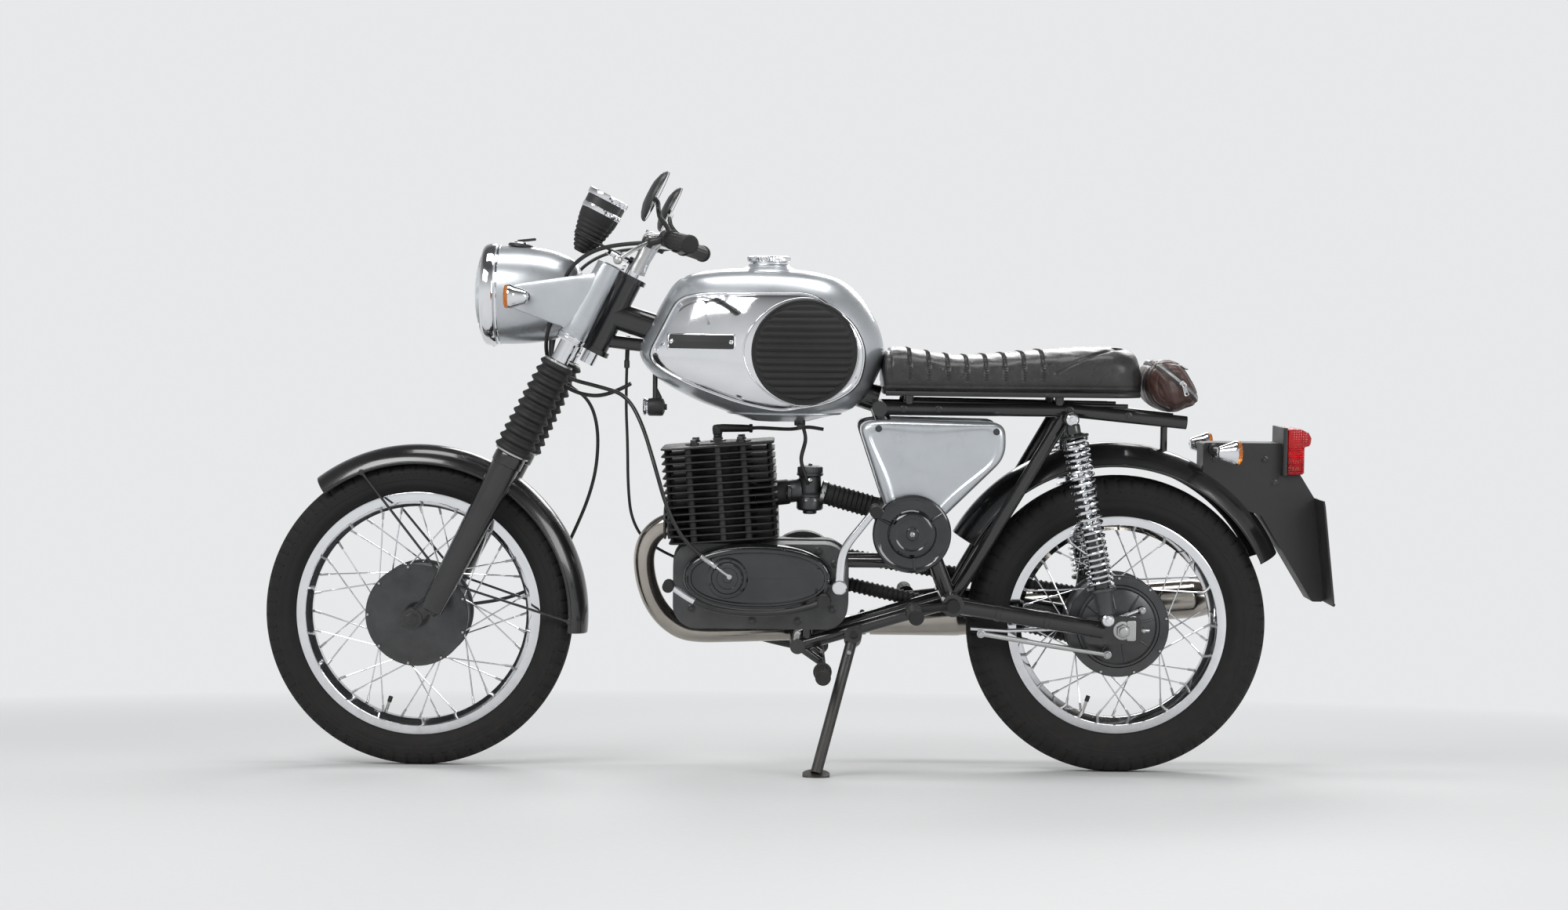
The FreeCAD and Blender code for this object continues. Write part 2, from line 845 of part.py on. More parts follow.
def indicator(x, side, z, facing, inner_side):
    """A round lamp on a stalk: a lens, a tapering body and the stalk, facing along X."""
    centre = Vector(x, side, z)
    run = backward * -facing
    body = cone(centre, centre + run * (indicator_length - indicator_lens_length),
                indicator_radius, indicator_tail_radius)
    lens = cone(centre - run * indicator_lens_length, centre,
                indicator_lens_radius, indicator_edge_radius)
    foot = centre + run * (indicator_length - indicator_lens_length) * indicator_stalk_share
    stalk = rod(foot, Vector(foot.x, inner_side, foot.z), indicator_stalk_radius)
    return fuse([body, stalk, lens])


def front_indicators():
    inner = ear_inner + ear_wall
    pair = [
        indicator(front_indicator_x, sign * front_indicator_half, front_indicator_z, -1, sign * inner)
        for sign in (-1, 1)
    ]
    nodes["front_indicators"] = Part.makeCompound(pair).cut(nodes["headlamp_shell"])


def instruments():
    cups = []
    for side in (-cup_half, cup_half):
        base = steer(cup_lead, side, cup_rise)
        profile = [
            (0, 0), (cup_foot_radius, 0), (cup_waist_radius, cup_height * cup_waist_share),
            (cup_radius, cup_height * cup_shoulder_share),
            (cup_radius, cup_height - cup_rim_height),
            (cup_radius + cup_rim_rise, cup_height - cup_rim_height),
            (cup_radius + cup_rim_rise, cup_height), (0, cup_height),
        ]
        cups.append(turned(profile, base, steer_up))
    corners = [
        steer(cup_lead + cup_foot_radius, -cup_half - cup_foot_radius, cup_bracket_rise),
        steer(cup_lead + cup_foot_radius, cup_half + cup_foot_radius, cup_bracket_rise),
        steer(-axle_lead, cup_half + cup_foot_radius, cup_bracket_rise),
        steer(axis_lead, yoke_clamp_radius, cup_bracket_rise),
        steer(axis_lead, -yoke_clamp_radius, cup_bracket_rise),
        steer(-axle_lead, -cup_half - cup_foot_radius, cup_bracket_rise),
    ]
    rise = cup_rise - cup_bracket_rise
    bracket = Part.Face(Part.makePolygon(corners + corners[:1])).extrude(steer_up * rise)
    drop = top_yoke_low + top_yoke_wall - cup_bracket_rise
    feet = [
        rod(steer(-axle_lead, side, cup_bracket_rise), steer(-axle_lead, side, cup_bracket_rise + drop),
            cup_bracket_wall)
        for side in (-cup_half, cup_half)
    ]
    nodes["instruments"] = fuse(cups + [bracket] + feet).cut(nodes["fork_yokes"])


def handlebar():
    points = [
        steer(bar_end_lead, -bar_end_half, bar_end_rise), steer(bar_bend_lead, -bar_bend_half, bar_bend_rise),
        steer(bar_lead, -bar_straight_half, bar_rise), steer(bar_lead, bar_straight_half, bar_rise),
        steer(bar_bend_lead, bar_bend_half, bar_bend_rise), steer(bar_end_lead, bar_end_half, bar_end_rise),
    ]
    bar = bent_tube(points, bar_radius, bar_bend_radius)
    nodes["fork_yokes"] = nodes["fork_yokes"].cut(bar)
    grips, levers, mirrors = [], [], []
    for sign, end, bend in ((-1, points[0], points[1]), (1, points[-1], points[-2])):
        inward = (bend - end).normalize()
        grip = rod(end - inward * overrun, end + inward * grip_length, grip_radius)
        grips.append(grip)
        perch_start = end + inward * (grip_length + overrun)
        perch = rod(perch_start, perch_start + inward * perch_length, perch_radius)
        root = perch_start + inward * (perch_length / 2)
        out = across * sign
        pivot = root + steer_ahead * lever_pivot_lead - out * lever_pivot_inset - steer_up * lever_pivot_drop
        knee = pivot + steer_ahead * lever_knee_lead + out * lever_knee_reach - steer_up * lever_knee_drop
        tip = knee + steer_ahead * lever_end_lead + out * lever_end_reach - steer_up * lever_end_drop
        arm = rod(root, pivot, lever_arm_radius)
        blade = [bent_tube([pivot, knee, tip], lever_radius, lever_bend)]
        balls = [ball(pivot, lever_pivot_radius, upward), ball(tip, lever_ball_radius, tip - knee)]
        levers.append(fuse([perch, arm] + blade + balls).cut(bar))
        head = root + upward * mirror_rise + out * mirror_reach - backward * mirror_ahead
        face = turned(
            [(0, 0), (mirror_radius, 0), (mirror_radius, -mirror_depth * mirror_rim_share),
             (mirror_radius * mirror_back_share, -mirror_depth), (0, -mirror_depth)],
            head, steer_ahead * -1,
        )
        elbow = root + upward * mirror_elbow_rise - backward * mirror_ahead
        stalk = bent_tube([root + upward * mirror_foot_rise, elbow, head], mirror_stalk_radius,
                          mirror_stalk_bend)
        mirrors.append(fuse([face, stalk]).cut(levers[-1]))
    nodes["handlebar"] = bar
    nodes["grips"] = Part.makeCompound(grips).cut(bar)
    nodes["hand_levers"] = Part.makeCompound(levers)
    nodes["mirrors"] = Part.makeCompound(mirrors)


def guard(x, z, radius, half, drop, start_angle, end_angle):
    """A curved mudguard, an arched section swept round the wheel between two angles."""
    inner = radius - guard_wall
    skirt = radius - drop
    def place(side, reach):
        return Vector(x + reach, side, z)

    edges = [
        Part.Arc(place(-half, skirt), place(0, radius), place(half, skirt)).toShape(),
        Part.LineSegment(place(half, skirt), place(half - guard_wall, skirt)).toShape(),
        Part.Arc(place(half - guard_wall, skirt), place(0, inner),
            place(-half + guard_wall, skirt)).toShape(),
        Part.LineSegment(place(-half + guard_wall, skirt), place(-half, skirt)).toShape(),
    ]
    face = Part.Face(Part.Wire(edges))
    face.rotate(Vector(x, 0, z), across, -start_angle)
    return face.revolve(Vector(x, 0, z), across, start_angle - end_angle)


def front_guard():
    body = guard(
        front_x, axle_z, front_guard_radius, front_guard_half, front_guard_drop,
        front_guard_start_angle, front_guard_end_angle,
    )
    skirt = front_guard_radius - front_guard_drop
    stays = []
    for sign in (-1, 1):
        side = sign * (front_guard_half - guard_wall / 2)
        for turn in (guard_rear_stay_angle, guard_front_stay_angle):
            along = math.radians(turn)
            tip = Vector(front_x + skirt * math.cos(along), side, axle_z + skirt * math.sin(along))
            foot = steer(-axle_lead, sign * (fork_half - guard_stay_sink), guard_stay_rise)
            stays.append(rod(tip, foot, guard_stay_radius))
        bridge_side = sign * (fork_half - slider_foot_radius)
        stays.append(rod(
            steer(-axle_lead, sign * (front_guard_half - guard_wall * 2), skirt - guard_bridge_drop),
            steer(-axle_lead, bridge_side, skirt - guard_bridge_drop), guard_bridge_radius,
        ))
    nodes["front_guard"] = fuse([body] + stays).cut(nodes["fork_sliders"]).cut(nodes["fork_gaiters"])


def tank_form(extra):
    """The tank's outer form, widened on both sides by an extra, from level slices."""
    wires = []
    steps = [step / tank_steps for step in range(tank_steps + 1)]
    for level, front, rear, half in zip(
        tank_level_shares, tank_front_shares, tank_rear_shares, tank_half_shares
    ):
        z = tank_low + tank_height * level
        ahead = tank_front + tank_length * front
        behind = tank_front + tank_length * rear
        middle = (ahead + behind) / 2
        reach = (behind - ahead) / 2
        width = tank_half * half + extra
        sides = []
        for sign in (-1, 1):
            points = []
            for step in steps:
                cosine, sine = math.cos(math.pi * step), math.sin(math.pi * step)
                nose = 1 - (1 - tank_nose_share) * max(0, -cosine)
                along = math.copysign(abs(cosine) ** tank_corner_share, cosine)
                side = sign * width * abs(sine) ** tank_corner_share * nose
                points.append(Vector(middle + reach * along, side, z))
            points[0].y = points[-1].y = 0
            tangent = across * (sign * width * tank_end_share)
            curve = Part.BSplineCurve()
            curve.interpolate(Points=points, Parameters=steps, InitialTangent=tangent,
                FinalTangent=tangent * -1)
            sides.append(curve.toShape())
        wires.append(Part.Wire(sides))
    return Part.makeLoft(wires, True, True)


def backbone():
    start = steer(axis_lead, 0, lower_yoke_low + (top_yoke_low - lower_yoke_low) * backbone_share)
    end = Vector(backbone_end_x, 0, backbone_end_z)
    return start, end


def tank():
    form = tank_form(0)
    start, end = backbone()
    centre = (start + end) / 2
    length = end.x - start.x
    angle = math.degrees(math.atan2(start.z - end.z, length))
    tunnel = Part.makeBox(
        length * 2, tunnel_half * 2, tank_height, Vector(-length, -tunnel_half, tunnel_half - tank_height),
    )
    tunnel.rotate(Vector(0, 0, 0), across, angle)
    tunnel.translate(centre)
    top = tank_low + tank_height
    cap = fuse([
        rod(Vector(cap_x, 0, top - cap_sink), Vector(cap_x, 0, top + cap_height), cap_neck_radius),
        rod(Vector(cap_x, 0, top + cap_height * cap_rim_share), Vector(cap_x, 0, top + cap_height),
            cap_radius),
    ])
    nodes["tank"] = join([form.cut(tunnel), cap])
    outline = [
        (panel_front + panel_length * along, panel_low + panel_height * up)
        for along, up in zip(panel_x_shares, panel_z_shares)
    ]
    window = side_plate(outline, panel_corner, -tank_half * 2, 0)
    skin = tank_form(panel_wall).common(window).cut(form)
    pad_window = Part.makeCylinder(pad_half_height, tank_half * 2, Vector(pad_x, 0, pad_z), across * -1)
    pad_base = tank_form(pad_wall - pad_rib_rise).common(pad_window).cut(form)
    step = pad_half_height * 2 / pad_ribs
    bars = []
    for i in range(pad_ribs):
        z = pad_z - pad_half_height + (i + pad_valley_share) * step
        bars.append(Part.makeBox(pad_half_length * 2, tank_half * 2, step / 2,
                                 Vector(pad_x - pad_half_length, -tank_half * 2, z)))
    ribs = tank_form(pad_wall).common(pad_window).cut(form).common(Part.makeCompound(bars))
    pad = join([pad_base] + ribs.Solids)
    badge = side_plate(
        [(badge_x - badge_length / 2, badge_z - badge_height / 2),
         (badge_x + badge_length / 2, badge_z - badge_height / 2),
         (badge_x + badge_length / 2, badge_z + badge_height / 2),
         (badge_x - badge_length / 2, badge_z + badge_height / 2)],
        0, -tank_half * 2, 0,
    )
    plate = tank_form(panel_wall * 2).common(badge).cut(form)
    skin = join([skin.cut(pad_window), plate.cut(pad_window)])
    nodes["tank_panels"] = Part.makeCompound([skin, mirrored(skin)])
    nodes["knee_pads"] = Part.makeCompound([pad, mirrored(pad)])


def frame():
    start, end = backbone()
    head_low = steer(axis_lead, 0, lower_yoke_low + yoke_wall + seat_gap)
    head_high = steer(axis_lead, 0, top_yoke_low - seat_gap)
    races = [
        rod(head_low, head_low + steer_up * headstock_race_height, headstock_race),
        rod(head_high - steer_up * headstock_race_height, head_high, headstock_race),
    ]
    pieces = [rod(head_low, head_high, headstock_radius), rod(start, end, backbone_radius)] + races
    brace_z = start.z + (end.z - start.z) * (brace_end_x - start.x) / (end.x - start.x)
    pieces.append(rod(
        steer(axis_lead, 0, lower_yoke_low + yoke_wall * 2), Vector(brace_end_x, 0, brace_z), brace_radius,
    ))
    pieces.append(rod(Vector(backbone_end_x, -rail_half - rail_radius - overrun, rail_z),
                      Vector(backbone_end_x, rail_half + rail_radius + overrun, rail_z), tube_radius))
    pieces.append(rod(Vector(pivot_x, -pivot_tube_half, pivot_z),
        Vector(pivot_x, pivot_tube_half, pivot_z), pivot_radius))
    shock_tube_half = rail_half + rail_radius + overrun / 2
    pieces.append(rod(Vector(shock_top_x, -shock_tube_half, shock_top_z),
                      Vector(shock_top_x, shock_tube_half, shock_top_z), tube_radius))
    for sign in (-1, 1):
        rail_start = Vector(backbone_end_x, sign * rail_half, rail_z)
        rail_knee = Vector(shock_top_x, sign * rail_half, rail_z)
        rail_end = Vector(rail_end_x, sign * rail_half, rail_end_z)
        pieces.append(bent_tube([rail_start, rail_knee, rail_end], rail_radius, rail_bend))
        foot = Vector(pivot_x, sign * cradle_half, pivot_z)
        pieces.append(rod(Vector(backbone_end_x, sign * cradle_half, rail_z), foot, tube_radius))
        pieces.append(rod(Vector(shock_top_x, sign * rail_half, rail_z), foot, rail_radius))
        stud = rod(
            Vector(shock_top_x, sign * (rail_half - overrun), shock_top_z),
            Vector(shock_top_x, sign * (shock_half + shock_eye_half + overrun), shock_top_z),
            shock_stud_radius,
        )
        pieces.append(stud)
        lower_front = Vector(lower_rail_front_x, sign * cradle_half, lower_rail_z)
        pieces.append(rod(foot, lower_front, lower_rail_radius))
        pieces.append(rod(lower_front, Vector(peg_x, sign * cradle_half, peg_z), peg_shaft_radius))
    pieces.append(rod(
        Vector(lower_rail_front_x, -cradle_half - lower_rail_radius - overrun, lower_rail_z),
        Vector(lower_rail_front_x, cradle_half + lower_rail_radius + overrun, lower_rail_z),
        lower_rail_radius + overrun / 2,
    ))
    for sign in (-1, 1):
        pieces.append(rod(Vector(engine_post_x, sign * cradle_half, lower_rail_z),
                          Vector(engine_post_x, sign * cradle_half, crankcase_low), engine_lug_radius))
        lug_share = (backbone_end_z - engine_lug_z) / (backbone_end_z - pivot_z)
        lug_end_x = backbone_end_x + (pivot_x - backbone_end_x) * lug_share
        pieces.append(rod(Vector(crankcase_rear, sign * cradle_half, engine_lug_z),
                          Vector(lug_end_x, sign * cradle_half, engine_lug_z), engine_lug_radius))
        for share in buffer_shares:
            spot = Vector(seat_front + seat_length * share, sign * rail_half, rail_z)
            pieces.append(rod(spot, Vector(spot.x, spot.y, seat_low - seat_gap), buffer_radius))
    for share in saddle_shares:
        spot = start + (end - start) * share
        along = (end - start).normalize() * saddle_wall / 2
        pieces.append(rod(spot - along, spot + along, tunnel_half - seat_gap))
    post_rail_z = rail_z + (rail_end_z - rail_z) * (guard_post_x - shock_top_x) / (rail_end_x - shock_top_x)
    pieces.append(rod(Vector(guard_post_x, -rail_half, post_rail_z),
        Vector(guard_post_x, rail_half, post_rail_z),
                      guard_post_radius))
    for x, z in ((shock_top_x, shock_top_z), (guard_post_x, post_rail_z)):
        reach = rear_guard_radius ** 2 - (x - rear_guard_x) ** 2
        pieces.append(rod(Vector(x, 0, z), Vector(x, 0, rear_guard_z + math.sqrt(reach) - guard_wall),
                          guard_post_radius))
    horn_top = start.z + (end.z - start.z) * (horn_x - start.x) / (end.x - start.x)
    pieces.append(rod(Vector(horn_x, 0, horn_top), Vector(horn_x, 0, horn_z), horn_post_radius))
    body = fuse(pieces)
    bore = rod(
        steer(axis_lead, 0, lower_yoke_low), steer(axis_lead, 0, top_yoke_low + top_yoke_wall),
        stem_radius + running_gap,
    )
    bolt = rod(Vector(pivot_x, -arm_half * 2, pivot_z), Vector(pivot_x, arm_half * 2, pivot_z),
        pivot_bolt_radius)
    nodes["frame"] = body.cut(bore).cut(bolt)


def swingarm():
    pieces = []
    for sign in (-1, 1):
        start = Vector(pivot_x, sign * arm_half, pivot_z)
        end = Vector(rear_x - arm_end_length / 2, sign * arm_half, rear_tyre_radius)
        pieces.append(rod(start, end, arm_radius))
        sleeve = rod(
            Vector(pivot_x, sign * (pivot_tube_half + seat_gap), pivot_z),
            Vector(pivot_x, sign * (arm_half + arm_radius + overrun), pivot_z), arm_sleeve_radius,
        )
        pieces.append(sleeve)
        outline = [
            (end.x - arm_end_length / 2, rear_tyre_radius - arm_end_half_height),
            (rear_x + arm_end_length / 2, rear_tyre_radius - arm_end_half_height),
            (rear_x + arm_end_length / 2, rear_tyre_radius + arm_end_half_height),
            (end.x - arm_end_length / 2, rear_tyre_radius + arm_end_half_height),
        ]
        low, high = sorted((sign * (arm_half - arm_end_wall / 2), sign * (arm_half + arm_end_wall / 2)))
        pieces.append(side_plate(outline, arm_end_wall, low, high))
        pieces.append(rod(
            Vector(shock_foot_x, sign * arm_half, shock_foot_z),
            Vector(shock_foot_x, sign * (shock_half + shock_eye_half + overrun), shock_foot_z),
            shock_stud_radius,
        ))
    axle = rod(
        Vector(rear_x, -arm_half - arm_end_wall * 2, rear_tyre_radius),
        Vector(rear_x, arm_half + arm_end_wall * 2, rear_tyre_radius), rear_axle_radius,
    )
    nodes["rear_axle"] = axle
    bolt = rod(
        Vector(pivot_x, -arm_half - arm_radius - overrun * 2, pivot_z),
        Vector(pivot_x, arm_half + arm_radius + overrun * 2, pivot_z), pivot_bolt_radius,
    )
    nodes["swingarm"] = fuse(pieces + [bolt]).cut(axle)
    nodes["front_brake_plate"] = nodes["front_brake_plate"].cut(nodes["front_axle"])
    nodes["rear_brake_plate"] = nodes["rear_brake_plate"].cut(axle)


def shock(sign):
    side = sign * shock_half
    top = Vector(shock_top_x, side, shock_top_z)
    foot = Vector(shock_foot_x, side, shock_foot_z)
    run = foot - top
    length = run.Length
    along = Vector(run).normalize()

    def spot(share):
        return top + run * share

    eyes = [
        rod(place - across * shock_eye_half, place + across * shock_eye_half, shock_eye_radius)
        for place in (top, foot)
    ]
    cups = [
        rod(spot(spring_top_share), spot(spring_top_share) + along * shock_cup_wall, shock_cup_radius),
        rod(spot(spring_foot_share), spot(spring_foot_share) - along * shock_cup_wall, shock_cup_radius),
    ]
    inner = [
        rod(top, spot(shock_body_share), shock_rod_radius),
        rod(spot(shock_body_share), foot, shock_body_radius),
        rod(top, spot(spring_top_share), shock_body_radius),
    ]
    spring_start = spot(spring_top_share) + along * shock_cup_wall
    spring_length = length * (spring_foot_share - spring_top_share) - shock_cup_wall * 2
    body = fuse(eyes + cups + inner).cut(nodes["frame"]).cut(nodes["swingarm"])
    return [largest(body), coil(spring_start, along, spring_length).cut(body)]


def coil(start, along, length):
    """A coil spring whose ends are ground flat where the cups hold it."""
    helix = Part.makeLongHelix(length / spring_turns, length, spring_radius)
    section = Part.Wire(Part.makeCircle(spring_wire_radius, Vector(spring_radius, 0, 0), across))
    wire = helix.makePipeShell([section], True, True)
    wire.Placement = FreeCAD.Placement(start, FreeCAD.Rotation(upward, along))
    return wire


def shocks():
    nodes["shocks"] = Part.makeCompound(shock(-1) + shock(1))


def engine():
    outline = [
        (crankcase_front, crankcase_low), (crankcase_rear, crankcase_low),
        (crankcase_rear, crankcase_high), (crankcase_front, crankcase_high),
    ]
    case = side_plate(outline, crankcase_corner, -crankcase_half, crankcase_half)
    sprocket_cover = rod(
        Vector(sprocket_cover_x, crankcase_half - overrun, cover_z),
        Vector(sprocket_cover_x, crankcase_half + sprocket_cover_wall, cover_z), sprocket_cover_radius,
    )
    nodes["crankcase"] = fuse([case, sprocket_cover])
    ring = Part.Ellipse(Vector(cover_x, -crankcase_half, cover_z), cover_half_length, cover_half_height)
    oval = ring.toShape()
    oval.rotate(Vector(cover_x, -crankcase_half, cover_z), backward, 90)
    cover = Part.Face(Part.Wire(oval)).extrude(Vector(0, -cover_wall, 0))
    cover = cover.makeFillet(cover_fillet,
        [e for e in cover.Edges if e.CenterOfMass.y < -crankcase_half - cover_wall / 2
                                           and e.BoundBox.YLength < overrun])
    boss = rod(
        Vector(clutch_boss_x, -crankcase_half - cover_wall + overrun, cover_z),
        Vector(clutch_boss_x, -crankcase_half - cover_wall - clutch_boss_rise, cover_z), clutch_boss_radius,
    )
    nodes["clutch_cover"] = fuse([cover, boss])
    base = Vector(cylinder_x, 0, cylinder_low)
    step = (cylinder_high - cylinder_low) / fin_count
    fins = []
    for i in range(fin_count):
        z = cylinder_low + (i + 0.5) * step
        corners = [
            Vector(cylinder_x - fin_half_length, -fin_half_width, z),
            Vector(cylinder_x + fin_half_length, -fin_half_width, z),
            Vector(cylinder_x + fin_half_length, fin_half_width, z),
            Vector(cylinder_x - fin_half_length, fin_half_width, z),
        ]
        fins.append(Part.Face(Part.Wire(corner_edges(corners, fin_corner, True))).extrude(upward * fin_wall))
    barrel = rod(base, base + upward * (cylinder_high - cylinder_low), cylinder_radius)
    top = base + upward * (cylinder_high - cylinder_low)
    plug = rod(top, top + upward * plug_height, plug_radius)
    block = fuse([barrel, plug] + fins)
    block.rotate(base, across, -cylinder_tilt_angle)
    nodes["cylinder"] = block.cut(nodes["crankcase"])


def exhaust():
    port = Vector(cylinder_x - cylinder_radius, 0, exhaust_port_z)
    points = [
        port, Vector(exhaust_front_x, 0, exhaust_port_z),
        Vector(exhaust_front_x, exhaust_side * exhaust_knee_share, exhaust_knee_z),
        Vector(exhaust_under_x, exhaust_side * exhaust_under_share, exhaust_under_z),
        Vector(lower_rail_front_x, exhaust_side, exhaust_low_z),
        Vector(silencer_front_x, silencer_half, silencer_z),
    ]
    header = bent_tube(points, exhaust_radius, exhaust_bend)
    flange = rod(port, port - backward * exhaust_flange_wall, exhaust_flange_radius)
    header = largest(fuse([header, flange]).cut(nodes["cylinder"]))
    start = Vector(silencer_front_x, silencer_half, silencer_z)
    end = Vector(silencer_rear_x, silencer_half, silencer_rear_z)
    run = end - start
    length = run.Length
    profile = [
        (0, 0), (exhaust_radius + overrun, 0), (silencer_radius, length * silencer_cone_share),
        (silencer_radius, length * (1 - silencer_tail_share)), (silencer_tail_radius, length), (0, length),
    ]
    hanger = rod(
        Vector(hanger_x, silencer_half, silencer_z),
        Vector(pivot_x, arm_half + arm_radius + overrun, pivot_z), hanger_radius,
    )
    nodes["exhaust"] = fuse([header, turned(profile, start, run), hanger])


def intake():
    centre = Vector(carburettor_x, 0, carburettor_z)
    body = rod(centre - upward * (carburettor_height / 2), centre + upward * (carburettor_height / 2),
        carburettor_radius)
    inlet = rod(Vector(cylinder_x, 0, carburettor_z), centre, inlet_radius)
    hose = rod(centre, Vector(intake_end_x, 0, intake_end_z), intake_radius)
    nodes["carburettor"] = fuse([body, inlet, hose]).cut(nodes["cylinder"]).cut(nodes["frame"])


def covers():
    outline = [
        (side_cover_front + side_cover_length * along, side_cover_low + side_cover_height * up)
        for along, up in zip(side_cover_x_shares, side_cover_z_shares)
    ]
    cover = side_plate(outline, side_cover_corner, -side_cover_outer, -side_cover_outer + side_cover_wall)
    outer_edges = [e for e in cover.Edges if e.BoundBox.YMax < -side_cover_outer + seat_gap]
    cover = cover.makeFillet(side_cover_fillet, outer_edges)
    disc = turned(
        [(0, 0), (filter_radius, 0), (filter_radius, filter_wall - filter_edge),
         (filter_radius - filter_edge, filter_wall), (filter_dome_radius, filter_wall),
         (filter_dome_radius - filter_edge, filter_wall + filter_dome_rise),
         (0, filter_wall + filter_dome_rise)],
        Vector(filter_x, -filter_outer + filter_wall, filter_z), across * -1,
    )
    neck = rod(Vector(filter_x, air_box_half, filter_z),
        Vector(filter_x, -filter_outer + filter_wall, filter_z),
               filter_neck_radius)
    filter_body = fuse([disc, neck])
    left = cover.cut(filter_body)
    right = mirrored(cover)
    nodes["side_covers"] = Part.makeCompound([left, right]).cut(nodes["frame"])
    nodes["air_filter"] = largest(filter_body.cut(nodes["frame"]).cut(nodes["swingarm"]))
    nodes["carburettor"] = largest(nodes["carburettor"].cut(nodes["air_filter"]))


def seat_and_bag():
    outline = [
        (seat_front + seat_length * along, seat_low + seat_height * up)
        for along, up in zip(seat_x_shares, seat_z_shares)
    ]
    pad = side_plate(outline, 0, -seat_half, seat_half)
    nodes["seat"] = largest(pad.cut(nodes["frame"]).cut(tank_form(seat_gap)))
    rail_share = (bag_x - shock_top_x) / (rail_end_x - shock_top_x)
    bag_z = rail_z + (rail_end_z - rail_z) * rail_share + rail_radius + bag_radius + seat_gap
    nodes["tool_bag"] = rod(Vector(bag_x, -bag_half, bag_z), Vector(bag_x, bag_half, bag_z), bag_radius)


def rear_end():
    body = guard(
        rear_guard_x, rear_guard_z, rear_guard_radius, rear_guard_half, rear_guard_drop,
        rear_guard_start_angle, rear_guard_end_angle,
    )
    nodes["rear_guard"] = body.cut(nodes["frame"])
    outline = [
        (tail_front_x, tail_high_z), (tail_rear_x, tail_high_z), (plate_top_x, plate_high),
        (plate_foot_x, plate_low),
        (plate_foot_x - tail_foot_depth, plate_low), (tail_knee_x, tail_knee_z),
        (tail_front_x, tail_low_z),
    ]
    arm = side_plate(outline, tail_corner, -plate_arm_half, plate_arm_half)
    nodes["tail_bracket"] = largest(arm.cut(body))
    lamp_outline = [
        (tail_rear_x, tail_lamp_low), (lamp_rear_x, tail_lamp_low),
        (lamp_rear_x, tail_lamp_high - tail_lamp_drop),
        (lamp_rear_x - tail_lamp_slope, tail_lamp_high), (tail_rear_x, tail_lamp_high),
    ]
    nodes["tail_lamp"] = side_plate(lamp_outline, tail_corner, -tail_lamp_half, tail_lamp_half).cut(arm)
    plate = side_plate(
        [(plate_top_x, plate_high), (plate_foot_x, plate_low), (plate_foot_x + plate_wall, plate_low),
         (plate_top_x + plate_wall, plate_high)], 0, -plate_half, plate_half,
    )
    nodes["tail_bracket"] = fuse([nodes["tail_bracket"], plate])
    pair = [
        indicator(rear_indicator_x, sign * rear_indicator_half, rear_indicator_z, 1, sign * plate_arm_half)
        for sign in (-1, 1)
    ]
    nodes["rear_indicators"] = Part.makeCompound(pair).cut(nodes["tail_bracket"]).cut(nodes["rear_guard"])


def chain_run():
    case = rod(
        Vector(rear_x, tunnel_y - chain_case_half, rear_tyre_radius),
        Vector(rear_x, tunnel_y + chain_case_half, rear_tyre_radius), chain_case_radius,
    )
    tubes = []
    for sign in (-1, 1):
        start = Vector(sprocket_cover_x + sprocket_cover_radius, tunnel_y,
            cover_z + sign * tunnel_front_spread)
        end = Vector(rear_x - tunnel_end_lead, tunnel_y, rear_tyre_radius + sign * tunnel_spread)
        tubes.append(rod(start, end, tunnel_radius))
    whole = fuse([case] + tubes)
    for other in ("crankcase", "rear_axle", "swingarm", "frame"):
        whole = whole.cut(nodes[other])
    nodes["chain_case"] = largest(whole)


